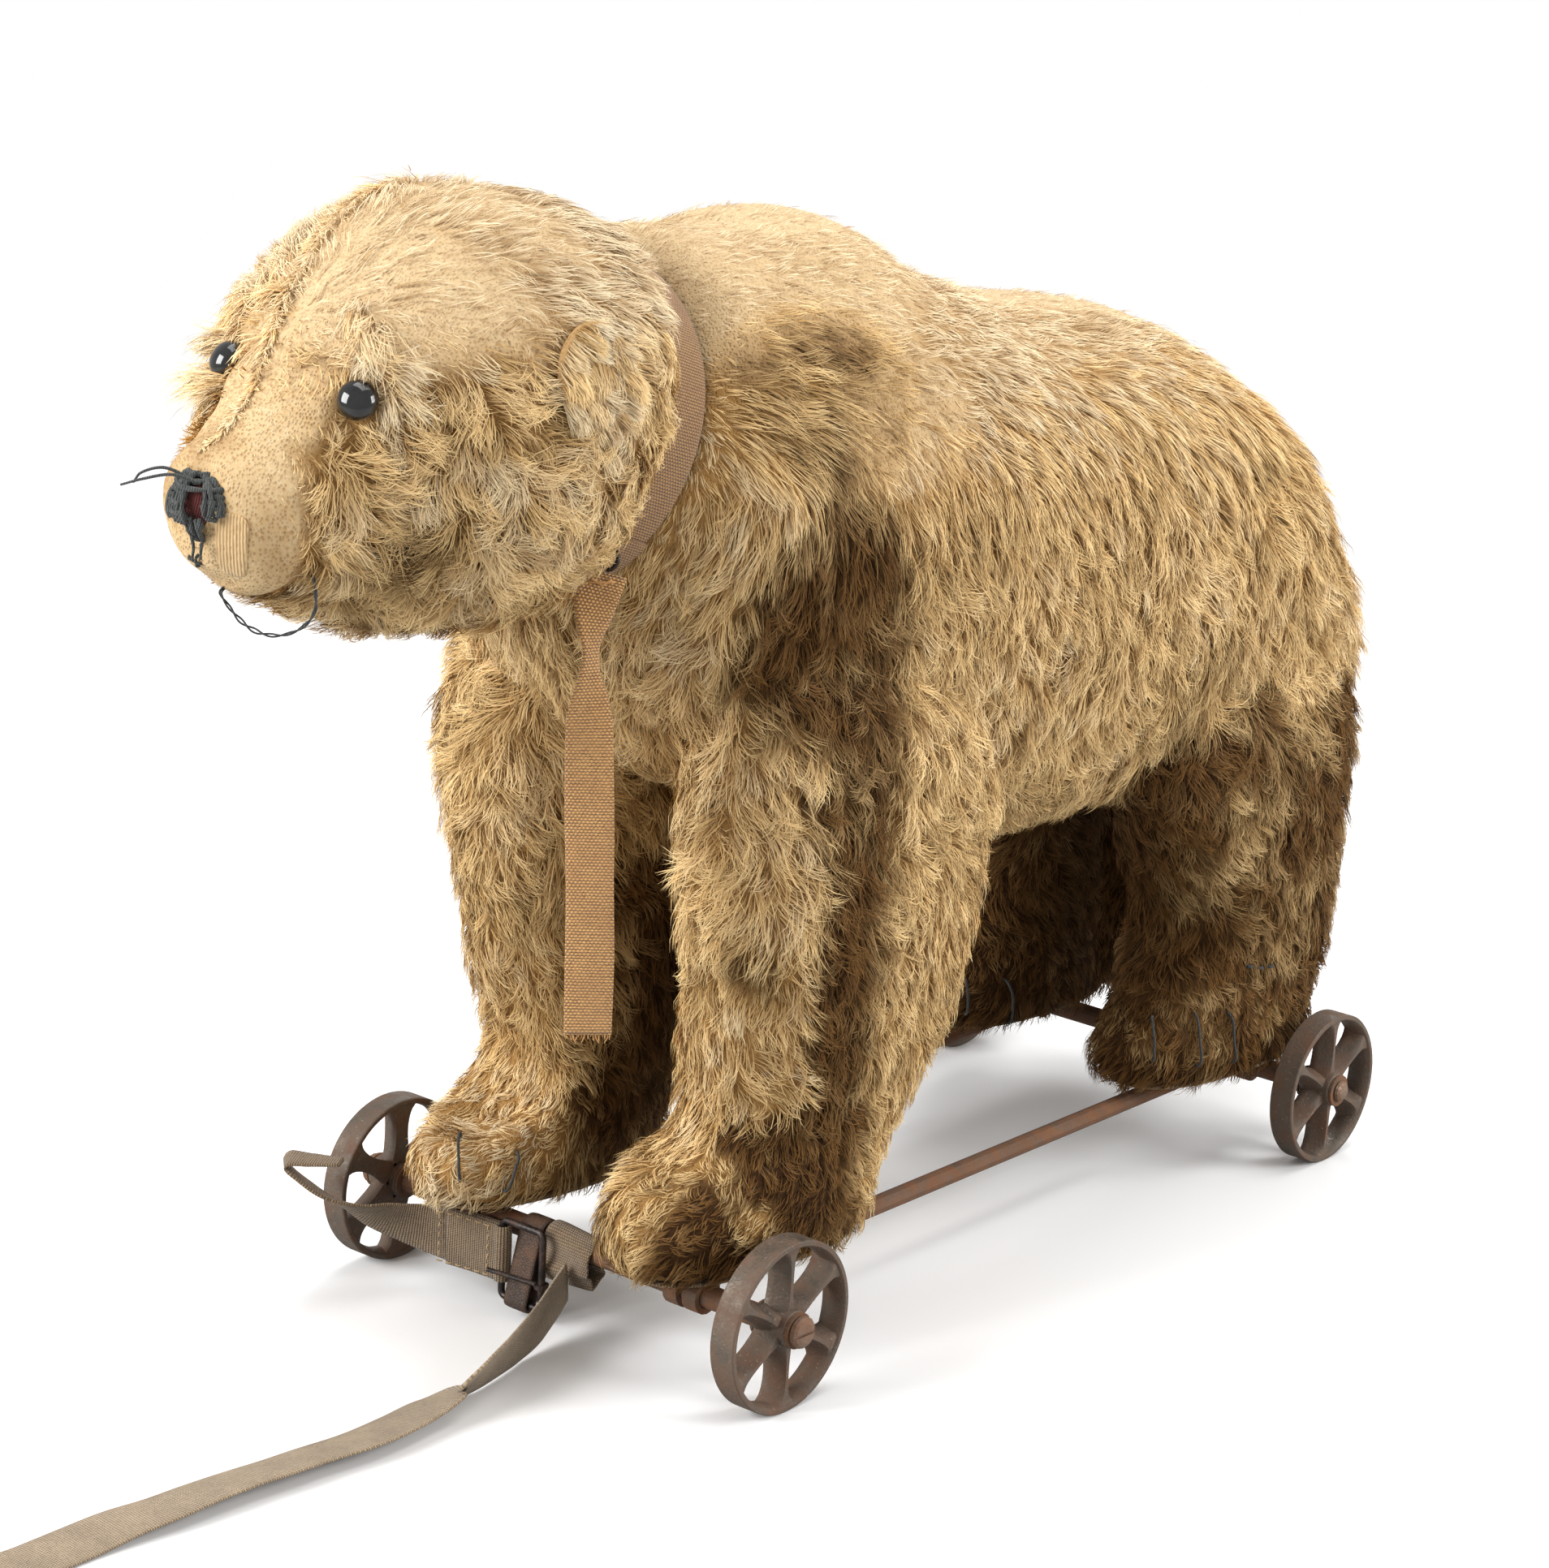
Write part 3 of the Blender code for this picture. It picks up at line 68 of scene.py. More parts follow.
Y = np.array([0.0, 1.0, 0.0])
Z = np.array([0.0, 0.0, 1.0])

# %% [markdown]
# ## The camera
# The photograph was taken from the bear's front left, a little above its head. A camera is a matrix whose
# columns are its right, its up and its backward direction. Yaw and pitch give the direction, roll turns
# the picture, and the lens follows from the focal length in pixels and the width of the frame.

# %% Camera
CAMERA_PLACE = np.array([962.995, -1273.221, 637.652]) + SHIFT
YAW, PITCH, ROLL = np.radians([39.0506, 15.6842, 2.9957])
FOCAL_PIXELS, FRAME_PIXELS = 4754.71, 1908


def camera_axes(yaw, pitch, roll):
    """Forward direction from two angles; right is forward crossed with up; roll turns right and up."""
    ahead = np.array([-math.sin(yaw) * math.cos(pitch), math.cos(yaw) * math.cos(pitch), -math.sin(pitch)])
    right = np.cross(ahead, Z)
    right /= np.linalg.norm(right)
    up = np.cross(right, ahead)
    return (math.cos(roll) * right + math.sin(roll) * up,
            math.cos(roll) * up - math.sin(roll) * right, ahead)


right, up, ahead = camera_axes(YAW, PITCH, ROLL)
lens = bpy.data.cameras.new("photo_camera")
lens.sensor_width = 36.0
lens.sensor_fit = "HORIZONTAL"
lens.lens = FOCAL_PIXELS / FRAME_PIXELS * lens.sensor_width
lens.clip_start = 0.05
camera = bpy.data.objects.new("photo_camera", lens)
bpy.context.scene.collection.objects.link(camera)
turn = np.eye(4)
turn[:3, 0], turn[:3, 1], turn[:3, 2], turn[:3, 3] = right, up, -ahead, CAMERA_PLACE * MM
camera.matrix_world = Matrix(turn.tolist())
bpy.context.scene.camera = camera
print("lens in mm:", round(lens.lens, 2))

# %% [markdown]
# ## Shader pieces
# A material is a small network of nodes. `node` adds one and fills its inputs, so a network reads like a
# list of steps. Effects that several finishes share, such as patches of wear or a weave, are node groups
# with their own inputs and outputs, built once and set differently in each material.


# %% Node helpers
def node(tree, kind, inputs=None, **settings):
    """One shader node; an input is a number, a colour or another node's output."""
    made = tree.nodes.new(kind)
    for key, value in settings.items():
        setattr(made, key, value)
    for key, value in (inputs or {}).items():
        if isinstance(value, bpy.types.NodeSocket):
            tree.links.new(value, made.inputs[key])
        else:
            made.inputs[key].default_value = value
    return made


def maths(tree, operation, a, b=0.0):
    """Output of one arithmetic node."""
    return node(tree, "ShaderNodeMath", {0: a, 1: b}, operation=operation).outputs[0]


def blended(tree, share, first, second):
    """Colour between two others, each three numbers or another node's output."""
    first, second = (c if isinstance(c, bpy.types.NodeSocket) else (*c, 1.0) for c in (first, second))
    return node(tree, "ShaderNodeMix", {0: share, 6: first, 7: second}, data_type="RGBA").outputs[2]


def spread(tree, value, low, high, to_low=0.0, to_high=1.0):
    """A value's range from low to high, stretched to another range and clipped."""
    return node(tree, "ShaderNodeMapRange", {
        0: value, 1: low, 2: high, 3: to_low, 4: to_high}, clamp=True).outputs[0]


def new_group(name, inputs, outputs):
    """An empty node group with named sockets; each input is a name, a kind and a value."""
    group = bpy.data.node_groups.new(name, "ShaderNodeTree")
    for label, kind, value in inputs:
        socket = group.interface.new_socket(label, in_out="INPUT", socket_type=f"NodeSocket{kind}")
        if value is not None:
            socket.default_value = value
    for label, kind in outputs:
        group.interface.new_socket(label, in_out="OUTPUT", socket_type=f"NodeSocket{kind}")
    return group, group.nodes.new("NodeGroupInput"), group.nodes.new("NodeGroupOutput")


def material(name, **values):
    """A material with its Principled BSDF, its constant values set on the shader's own sockets."""
    made = bpy.data.materials.new(name)
    made.use_nodes = True
    shader = made.node_tree.nodes["Principled BSDF"]
    for key, value in values.items():
        shader.inputs[key.replace("_", " ")].default_value = value
    return made, made.node_tree, shader


def dress(name, finish):
    """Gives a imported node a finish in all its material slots."""
    mesh = nodes[name].data
    if not mesh.materials:
        mesh.materials.append(finish)
    for i in range(len(mesh.materials)):
        mesh.materials[i] = finish


print("solids that a finish can dress:", len(nodes))

# %% [markdown]
# ## The studio
# A lamp overhead, two beside the camera and a weak one behind give the even light of a catalogue picture.


# %% Lamps
def area_lamp(name, place, target, size, power):
    """A square lamp in metres at a place, its -Z axis turned to the target."""
    lamp = bpy.data.lights.new(name, "AREA")
    lamp.shape, lamp.size, lamp.energy = "SQUARE", size, power
    holder = bpy.data.objects.new(name, lamp)
    bpy.context.scene.collection.objects.link(holder)
    back = np.array(place, float) - np.array(target, float)
    back /= np.linalg.norm(back)
    side = np.cross(Z if abs(back[2]) < 0.99 else Y, back)
    side /= np.linalg.norm(side)
    pose = np.eye(4)
    pose[:3, 0], pose[:3, 1], pose[:3, 2], pose[:3, 3] = side, np.cross(back, side), back, place
    holder.matrix_world = Matrix(pose.tolist())
    return holder


area_lamp("overhead", (0.1, 0.25, 2.3), (0.0, 0.0, 0.2), 1.8, 30.0)
area_lamp("front", (-0.75, -1.75, 0.95), (0.0, -0.1, 0.2), 1.1, 44.0)
area_lamp("beside", (1.9, 0.9, 1.0), (0.0, 0.0, 0.25), 1.1, 38.0)
area_lamp("behind", (-0.9, 1.6, 1.3), (0.0, 0.1, 0.3), 0.9, 12.0)

# %% [markdown]
# The background is plain white for the camera, and weaker where it only lights the bear. A pale disc on the
# ground catches the shadow. It fades out towards its rim, so that no horizon line shows.

# %% Room and floor
ROOM_LIGHT, PAPER_LIT, PAPER_SEEN = 0.5, 0.45, 0.98
FLOOR_R, FADE_FROM, FADE_TO = 2.2, 1.0, 1.9
world = bpy.data.worlds.new("white_room")
bpy.context.scene.world = world
world.use_nodes = True
air = world.node_tree
rays = node(air, "ShaderNodeLightPath")
seen = maths(air, "MAXIMUM", rays.outputs["Is Camera Ray"], rays.outputs["Is Transmission Ray"])
sky = air.nodes["Background"]
sky.inputs["Color"].default_value = (1.0, 1.0, 1.0, 1.0)
air.links.new(spread(air, seen, 0.0, 1.0, ROOM_LIGHT, 1.0), sky.inputs["Strength"])
bpy.context.scene.view_settings.view_transform = "Standard"
turn = np.linspace(0, 2 * math.pi, 96, endpoint=False)
disc = bpy.data.meshes.new("floor")
edge = np.stack([FLOOR_R * np.cos(turn), FLOOR_R * np.sin(turn), 0 * turn], axis=1)
disc.from_pydata(edge.tolist(), [], [list(range(len(edge)))])
floor = bpy.data.objects.new("floor", disc)
bpy.context.scene.collection.objects.link(floor)
paper, tree, shader = material("paper_white", Roughness=1.0, Specular_IOR_Level=0.0)
rays = node(tree, "ShaderNodeLightPath")
shade = spread(tree, rays.outputs["Is Camera Ray"], 0.0, 1.0, PAPER_LIT, PAPER_SEEN)
tree.links.new(shade, shader.inputs["Base Color"])
where = node(tree, "ShaderNodeTexCoord")
distance = node(tree, "ShaderNodeVectorMath", {0: where.outputs["Object"]}, operation="LENGTH")
fade = spread(tree, distance.outputs["Value"], FADE_FROM, FADE_TO, 1.0, 0.0)
tree.links.new(fade, shader.inputs["Alpha"])
disc.materials.append(paper)
print("floor radius in m:", FLOOR_R)

# %% [markdown]
# ## Small tools for shapes
# A smooth path is a cubic curve through a few chosen rows. A surface is a grid of places, and a grid
# becomes a mesh when each square of four neighbours becomes a face. Whole arrays are handed to Blender at
# once, which is fast even for hundreds of thousands of faces.


# %% Curves through rows
def unit(vectors):
    """Each row divided by its own length."""
    return vectors / np.maximum(np.linalg.norm(vectors, axis=-1, keepdims=True), 1e-12)


def run_length(places):
    """Distance run along a row of places: the running sum of its step lengths."""
    return np.concatenate([[0.0], np.cumsum(np.linalg.norm(np.diff(places, axis=0), axis=1))])


def spline(knots, rows, at):
    """Cubic through rows at rising knots; the slope at a row is its neighbours' difference over theirs."""
    knots, rows = np.asarray(knots, float), np.asarray(rows, float)
    slopes = np.empty_like(rows)
    slopes[1:-1] = (rows[2:] - rows[:-2]) / (knots[2:] - knots[:-2])[:, None]
    slopes[0] = (rows[1] - rows[0]) / (knots[1] - knots[0])
    slopes[-1] = (rows[-1] - rows[-2]) / (knots[-1] - knots[-2])
    i = np.clip(np.searchsorted(knots, at, side="right") - 1, 0, len(knots) - 2)
    span = (knots[i + 1] - knots[i])[:, None]
    t = ((at - knots[i]) / (knots[i + 1] - knots[i]))[:, None]
    start = (2 * t**3 - 3 * t**2 + 1) * rows[i] + (t**3 - 2 * t**2 + t) * span * slopes[i]
    return start + (-2 * t**3 + 3 * t**2) * rows[i + 1] + (t**3 - t**2) * span * slopes[i + 1]


def smooth_rows(table, count):
    """Evenly spaced rows on the cubic through a table whose first three columns are a place."""
    rows = np.array(table, float)
    knots = run_length(rows[:, :3])
    return spline(knots, rows, np.linspace(0.0, knots[-1], count))


def step_up(value, low, high):
    """0 below low, 1 above high, and a smooth S between: t times t times (3 minus 2 t)."""
    t = np.clip((value - low) / (high - low), 0.0, 1.0)
    return t * t * (3 - 2 * t)


print("a quarter up the S:", step_up(0.25, 0, 1))

# %% [markdown]
# A closed skin is three arrays: its places, the number of corners of each face, and all corners in a row.
# Its faces must look outwards. The enclosed volume tells: when it is negative, each face is turned round.


# %% Meshes from arrays
def mesh_object(name, points, sizes, corners, smooth=True):
    """A mesh from places in millimetres, the number of corners of each face, and those corners in a row."""
    mesh = bpy.data.meshes.new(name)
    mesh.vertices.add(len(points))
    mesh.vertices.foreach_set("co", (np.asarray(points, float) * MM).ravel())
    mesh.loops.add(len(corners))
    mesh.loops.foreach_set("vertex_index", np.asarray(corners, np.int32))
    mesh.polygons.add(len(sizes))
    mesh.polygons.foreach_set("loop_start", np.concatenate([[0], np.cumsum(sizes)[:-1]]).astype(np.int32))
    mesh.polygons.foreach_set("use_smooth", np.full(len(sizes), smooth))
    mesh.update(calc_edges=True)
    piece = bpy.data.objects.new(name, mesh)
    bpy.context.scene.collection.objects.link(piece)
    return piece


def grid_faces(rows, columns, closed_rows=False, closed_columns=True, first=0):
    """Four corners for each square of a grid; a closed side joins its last line to its first."""
    i = np.arange(rows if closed_rows else rows - 1)[:, None]
    j = np.arange(columns if closed_columns else columns - 1)[None, :]
    below, beside = (i + 1) % rows, (j + 1) % columns
    square = np.stack(np.broadcast_arrays(
        i * columns + j, i * columns + beside, below * columns + beside, below * columns + j), axis=-1)
    return square.reshape(-1, 4) + first


def tube_arrays(rings, first=0, closed=False):
    """Places, face sizes and corners of a skin through equal rings, its two ends closed by one face each."""
    count, sides, _ = rings.shape
    faces = grid_faces(count, sides, closed_rows=closed, first=first)
    sizes, corners = [np.full(len(faces), 4)], [faces.ravel()]
    if not closed:
        sizes.append(np.array([sides, sides]))
        corners += [first + np.arange(sides)[::-1], first + (count - 1) * sides + np.arange(sides)]
    return rings.reshape(-1, 3), np.concatenate(sizes), np.concatenate(corners)


def outward(points, sizes, corners):
    """Turns every face round if the enclosed volume, a sum over fans of triangles, comes out negative."""
    starts = np.concatenate([[0], np.cumsum(sizes)[:-1]])
    volume = 0.0
    for k in range(1, int(sizes.max()) - 1):
        pick = sizes > k + 1
        a, b, c = (points[corners[starts[pick] + n]] for n in (0, k, k + 1))
        volume += (a * np.cross(b, c)).sum()
    if volume < 0:
        index = np.repeat(starts + sizes - 1, sizes) - (np.arange(len(corners)) - np.repeat(starts, sizes))
        corners = corners[index]
    return points, sizes, corners


def joined(parts):
    """Several closed skins as one set of arrays, each with its faces outwards."""
    points, sizes, corners, count = [], [], [], 0
    for part in parts:
        p, s, c = outward(*part)
        points.append(p)
        sizes.append(s)
        corners.append(c + count)
        count += len(p)
    return np.vstack(points), np.concatenate(sizes), np.concatenate(corners)


def skin(name, parts, smooth=True):
    """One object from one or more closed skins."""
    return mesh_object(name, *joined(parts), smooth=smooth)


print("faces of a 3 by 4 closed grid:", len(grid_faces(3, 4)))

# %% [markdown]
# A ring carried along a path makes a thread, a flat outline makes a strap, and a profile turned round an
# axis makes a button or a rim.


# %% Tubes, straps and turned shapes
def carried_frame(route, hint):
    """Heading along a route, a side square to it near the hint, and the third direction."""
    heading = unit(np.gradient(route, axis=0))
    side = unit(hint - (hint * heading).sum(1)[:, None] * heading)
    return heading, side, np.cross(heading, side)


def tube(route, radius, sides=8, hint=None):
    """A ring of `sides` places at each place of a route, its radius a number or one for each place."""
    route = np.asarray(route, float)
    hint = np.broadcast_to(np.array([0.21, 0.34, 0.91]) if hint is None else hint, route.shape)
    _, side, other = carried_frame(route, hint)
    turn = np.linspace(0, 2 * math.pi, sides, endpoint=False)
    reach = np.broadcast_to(np.asarray(radius, float), (len(route),))[:, None, None]
    ring = np.cos(turn)[None, :, None] * side[:, None] + np.sin(turn)[None, :, None] * other[:, None]
    return tube_arrays(route[:, None] + reach * ring)


def strap_section(width, thick, count=10):
    """Outline of a flat strap: across, a superellipse of power six gives flat faces and soft edges."""
    turn = np.linspace(0, 2 * math.pi, 2 * count, endpoint=False)
    c, s = np.cos(turn), np.sin(turn)
    reach = (np.abs(c) ** 6 + np.abs(s) ** 6) ** (-1 / 6)
    return np.stack([c * reach * width / 2, s * reach * thick / 2], axis=1)


def strap(route, ways, widths, thick, count=10):
    """A strap's section carried along a route with its wide side along `ways`."""
    route = np.asarray(route, float)
    _, side, face = carried_frame(route, np.asarray(ways, float))
    outline = strap_section(1.0, thick, count)
    wide = np.broadcast_to(np.asarray(widths, float), (len(route),))[:, None, None]
    return tube_arrays(route[:, None] + outline[None, :, :1] * wide * side[:, None]
                       + outline[None, :, 1:] * face[:, None])


def strap_piece(name, route, ways, widths, thick, count=10):
    """A strap as an object. Its UV map is in millimetres: U across the strap, V along it."""
    route = np.asarray(route, float)
    piece = skin(name, [strap(route + SHIFT, ways, widths, thick, count)])
    sides = 2 * count
    outline = strap_section(1.0, thick, count)
    wide = np.broadcast_to(np.asarray(widths, float), (len(route),))
    mesh = piece.data
    index = np.empty(len(mesh.loops), np.int32)
    mesh.loops.foreach_get("vertex_index", index)
    row = np.minimum(index // sides, len(route) - 1)
    uv = np.stack([outline[index % sides, 0] * wide[row], run_length(route)[row]], axis=1)
    mesh.uv_layers.new(name="weave").data.foreach_set("uv", uv.astype(np.float32).ravel())
    return piece


def finish_piece(piece, finish, body, stands_for=()):
    """Material, body and the solids that a piece stands for, in one call."""
    piece.data.materials.append(finish)
    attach(piece, body)
    if stands_for:
        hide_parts(*stands_for)
    return piece


def turned(profile, centre, axis, sides=48, closed=False):
    """A profile of (distance along the axis, radius) turned round that axis."""
    axis = unit(np.asarray(axis, float))
    side = unit(np.cross(Z if abs(axis[2]) < 0.9 else X, axis))
    other = np.cross(axis, side)
    turn = np.linspace(0, 2 * math.pi, sides, endpoint=False)
    spoke = np.cos(turn)[:, None] * side + np.sin(turn)[:, None] * other
    profile = np.asarray(profile, float)
    rings = np.asarray(centre) + profile[:, :1, None] * axis + profile[:, 1:, None] * spoke[None]
    return tube_arrays(rings, closed=closed)


print("places in a turned cup:", len(turned([(0, 1), (1, 2)], (0, 0, 0), Z)[0]))

# %% [markdown]
# ## The cords
# Three things hang or lie free: the long pull strap, the tail of the collar and a thread that has come out
# of the mouth. The pull strap runs out of the picture, so the rest of it is put away as a coil just beyond
# the edge. A flat strap is a section carried along a smooth route, with a second direction at each place
# that says which way the wide side points; that is how it can twist. Where the strap would sink into the
# ground it is lifted, and moved along the line of sight so that it keeps its place in the picture.

# %% Pull strap and its coil
PULL_ROUTE = [
    (0.6, -203.0, 21.9, 85), (3.6, -212, 18.6, 84), (9.1, -229.3, 13.6, 78), (15.9, -257.2, 10.5, 64),
    (18, -273.7, 8.5, 52), (19.2, -285.2, 6.8, 30), (20.1, -297, 5.5, 18), (20, -312, 3.8, 14),
    (18.9, -332.3, 2.9, 13), (17.6, -352, 3.4, 13), (17, -372, 4.2, 13), (14.9, -390.2, 4.4, 12),
    (13.7, -408.8, 4.6, 10), (12.4, -427, 4, 7), (9.8, -443.7, 3.2, 3), (7.9, -460.7, 1.6, 0),
    (7.2, -478, 1.1, 0), (7.6, -497, 1.1, 0), (8.4, -515, 4.8, 22), (9.2, -531, 9.9, 50),
    (9.7, -547, 12.6, 80), (9.8, -560, 12.9, 90), (9.8, -572, 12.9, 90)]
STRAP_W, STRAP_T = 25.0, 1.6
COIL_X, COIL_Y, COIL_Z = -45.9, -572.0, 13.4
COIL_TURNS, COIL_OUT, COIL_IN = 2.4, 55.7, 33.3
ALONG_SIGHT = np.array([2.24, -2.77, 0.0])
run = smooth_rows(PULL_ROUTE, 150)
raised = np.radians(run[:, 3])
heading = unit(np.gradient(run[:, :3], axis=0))
ways = np.stack([np.cos(raised), 0 * raised, np.sin(raised)], axis=1)
ways = unit(ways - (ways * heading).sum(1)[:, None] * heading)
face = np.cross(heading, ways)
reach = np.abs(ways[:, 2]) * STRAP_W / 2 + np.abs(face[:, 2]) * STRAP_T / 2
raise_by = np.maximum(run[:, 2], 0.25 + reach) + 0.5 * step_up(-run[:, 1], 545, 572) - run[:, 2]
run[:, :3] += raise_by[:, None] * (Z + ALONG_SIGHT * step_up(run[:, 1:2], -500, -440))
angle = -np.linspace(0, COIL_TURNS * 2 * math.pi, 300)[1:]
coil_r = np.linspace(COIL_OUT, COIL_IN, 300)[1:]
coil = np.stack([COIL_X + coil_r * np.cos(angle), COIL_Y + coil_r * np.sin(angle), 0 * angle + COIL_Z], axis=1)
route = np.vstack([run[:, :3], coil])
ways = np.vstack([ways, np.broadcast_to(Z, coil.shape)])
width = STRAP_W * (1 - 0.03 * np.sin(run_length(route) / 31.0))
width[:10] *= np.linspace(0.8, 1.0, 10)
pull_strap = strap_piece("pull_strap_webbing", route, ways, width, STRAP_T)
span = np.array([(r, z) for r, z in (
    (42.0, 34.0), (44.0, 29.6), (46.4, 27.2), (55.6, 26.5), (57.6, 22.0), (57.6, 12.0), (57.4, 3.0), (55.6, 0.42),
    (45.0, 0.42), (34.0, 0.42), (31.8, 3.0), (31.6, 12.0), (31.6, 22.0), (33.6, 26.5), (43.0, 27.4), (46.4, 30.2),
    (48.0, 35.0))])
bound = np.radians(-205.0)
tie_route = smooth_rows(np.stack([
    COIL_X + span[:, 0] * math.cos(bound), COIL_Y + span[:, 0] * math.sin(bound), span[:, 1]], axis=1), 90)
tie_ways = np.array([-math.sin(bound), math.cos(bound), 0.0])
strap_tie = strap_piece("coil_tie", tie_route, np.broadcast_to(tie_ways, tie_route.shape), 5.0, 0.5, 4)

# %% [markdown]
# The collar's loose end hangs straight down from its ring after one half twist, so its width shrinks there
# to what is seen of it. Its cut edge frays into single threads. The mouth's thread is two strands: each runs
# round the middle line like a screw, half a turn behind the other.

# %% Collar tail and mouth thread
TAIL_ROUTE = [
    (49.4, -251.6, 329.4, 38), (51.2, -257.0, 322.0, 44), (52.8, -260.3, 312.0, 62), (53.5, -261.5, 301, 84),
    (54, -262, 288, 62), (55.5, -262.4, 262, 40), (57.2, -262, 225, 36), (58.6, -261.6, 190, 40), (59.6, -262, 157, 46)]
TAIL_W, TAIL_T = 18.0, 1.4
tail = smooth_rows(TAIL_ROUTE, 90)
compass = np.radians(tail[:, 3])
tail_ways = np.stack([np.cos(compass), np.sin(compass), 0 * compass], axis=1)
tail_width = TAIL_W * (1 - 0.62 * np.exp(-((tail[:, 2] - 300) / 15) ** 2)) + 0.25 * np.sin(tail[:, 2] / 9.0)
collar_tail = strap_piece("collar_tail_tape", tail[:, :3], tail_ways, tail_width, TAIL_T)
frays = []
for k, share in enumerate(np.linspace(-0.48, 0.48, 17)):
    start = tail[-1, :3] + share * tail_width[-1] * tail_ways[-1] + [0, 0, 1.5]
    fall = np.array([[0, 0, 0], [0.3 * math.sin(5 * k), 0.3 * math.cos(3 * k), -2.4],
                     [0.9 * math.sin(7 * k), 0.8 * math.cos(4 * k), -3.6 - 1.3 * math.sin(11 * k)]])
    frays.append(tube(smooth_rows(start + fall, 8) + SHIFT, np.linspace(0.42, 0.16, 8), 5))
out = np.cross(tail_ways[2], Z)
share = np.linspace(0, 1, 10)[:, None]
for first, last in (((-3.5, 1.5), (3, -2)), ((-2, -2.5), (4, 1.5)), ((-5, 0), (5, 0.5))):
    start, end = (tail[2, :3] + across * tail_ways[2] + [0, 0, above] for across, above in (first, last))
    line = start + share * (end - start) + np.sin(math.pi * share) * 0.7 * out + 0.6 * out
    frays.append(tube(line + SHIFT, 0.45, 6))
tail_fray = skin("tail_fray", frays)
MOUTH_ROUTE = [
    (29.1, -378.1, 342.5), (31.6, -379.2, 341.1), (32.3, -378.9, 334.9), (32.1, -379.0, 330.9),
    (29.9, -379.8, 326.6), (25.5, -381.6, 322.7), (19.4, -384.2, 320.4), (12.6, -386.9, 320.7),
    (7.2, -389.1, 323.4), (2.9, -390.9, 327.7), (-0.6, -392.4, 332.8), (-0.6, -390.9, 334.5)]
thread = smooth_rows(MOUTH_ROUTE, 150)
_, side, other = carried_frame(thread, np.broadcast_to(Y, thread.shape))
along = np.linspace(0, 1, len(thread))
apart = 0.35 + 0.35 * np.exp(-((along - 0.70) / 0.15) ** 2)
twist = 2 * math.pi * 5 * along
offset = apart[:, None] * (np.cos(twist)[:, None] * side + np.sin(twist)[:, None] * other)
mouth_thread = skin("mouth_thread_strands", [tube(thread + offset + SHIFT, 0.36, 7),
                                             tube(thread - offset + SHIFT, 0.36, 7)])
print("collar tail in m:", round(run_length(tail[:, :3])[-1] * MM, 3),
      "mouth thread in m:", round(run_length(thread)[-1] * MM, 3))

# %% [markdown]
# ## Repeatable chance
# Fur needs many random numbers that are the same on each run. Two kinds are used. A seeded generator
# gives each hair its own numbers. Smooth noise gives neighbouring hairs nearly the same number: random
# values sit on the corners of small cubes and are blended inside them.


# %% Noise
def cell_chance(cells, seed):
    """Numbers from 0 to 1 for whole cells: the fraction left by a large sine of a mix of their indices."""
    mix = cells @ np.array([127.1, 311.7, 74.7]) + seed * 53.17
    return np.modf(np.abs(np.sin(mix) * 43758.5453))[0]


def cloud(places, size, seed=0):
    """Smooth noise from 0 to 1: corner values of cubes `size` wide, blended by an S along each side."""
    q = places / size
    base = np.floor(q)
    f = q - base
    f = f * f * (3 - 2 * f)
    total = np.zeros(len(places))
    for corner in np.array([(a, b, c) for a in (0, 1) for b in (0, 1) for c in (0, 1)], float):
        weight = np.prod(np.where(corner > 0, f, 1 - f), axis=1)
        total += weight * cell_chance(base + corner, seed)
    return total


def locks(places, size, seed):
    """Nearest lock centre: each cube holds one centre, and the 27 cubes round a place are searched."""
    base = np.floor(places / size)
    best = np.full(len(places), np.inf)
    centre = np.zeros_like(places)
    home = np.zeros_like(places)
    for shift in np.array([(a, b, c) for a in (-1, 0, 1) for b in (-1, 0, 1) for c in (-1, 0, 1)], float):
        cell = base + shift
        spot = (cell + np.stack([cell_chance(cell, seed + k) for k in range(3)], axis=1)) * size
        away = ((spot - places) ** 2).sum(1)
        closer = away < best
        best = np.where(closer, away, best)
        centre[closer] = spot[closer]
        home[closer] = cell[closer]
    return centre, home


sample = cloud(np.random.default_rng(1).uniform(0, 500, (1000, 3)), 30.0)
print("noise from", round(sample.min(), 3), "to", round(sample.max(), 3))

# %% [markdown]
# ## Shared effects: patches and weave
# `patches` makes soft blotches from two sizes of noise: rust, dirt and wear all look like this. `weave`
# makes the cells of a woven cloth from two crossing waves, with a little noise so that no two threads are
# quite alike. Both only put out masks, and each finish decides what to do with them.

# %% Patches
patches, entry, leave = new_group(
    "patches",
    [("Place", "Vector", None), ("Size", "Float", 40.0), ("Amount", "Float", 0.5), ("Softness", "Float", 0.15)],
    [("Mask", "Float"), ("Fine", "Float")])
wide_noise = node(patches, "ShaderNodeTexNoise", {
    "Vector": entry.outputs[0], "Scale": entry.outputs[1], "Detail": 5.0, "Roughness": 0.6})
fine_scale = maths(patches, "MULTIPLY", entry.outputs[1], 9.0)
fine_noise = node(patches, "ShaderNodeTexNoise", {
    "Vector": entry.outputs[0], "Scale": fine_scale, "Detail": 3.0, "Roughness": 0.65})
mixed = maths(patches, "ADD", maths(patches, "MULTIPLY", wide_noise.outputs[0], 0.72),
              maths(patches, "MULTIPLY", fine_noise.outputs[0], 0.28))
floor_value = maths(patches, "SUBTRACT", 1.0, entry.outputs[2])
low_edge = maths(patches, "SUBTRACT", floor_value, entry.outputs[3])
high_edge = maths(patches, "ADD", floor_value, entry.outputs[3])
patches.links.new(spread(patches, mixed, low_edge, high_edge), leave.inputs[0])
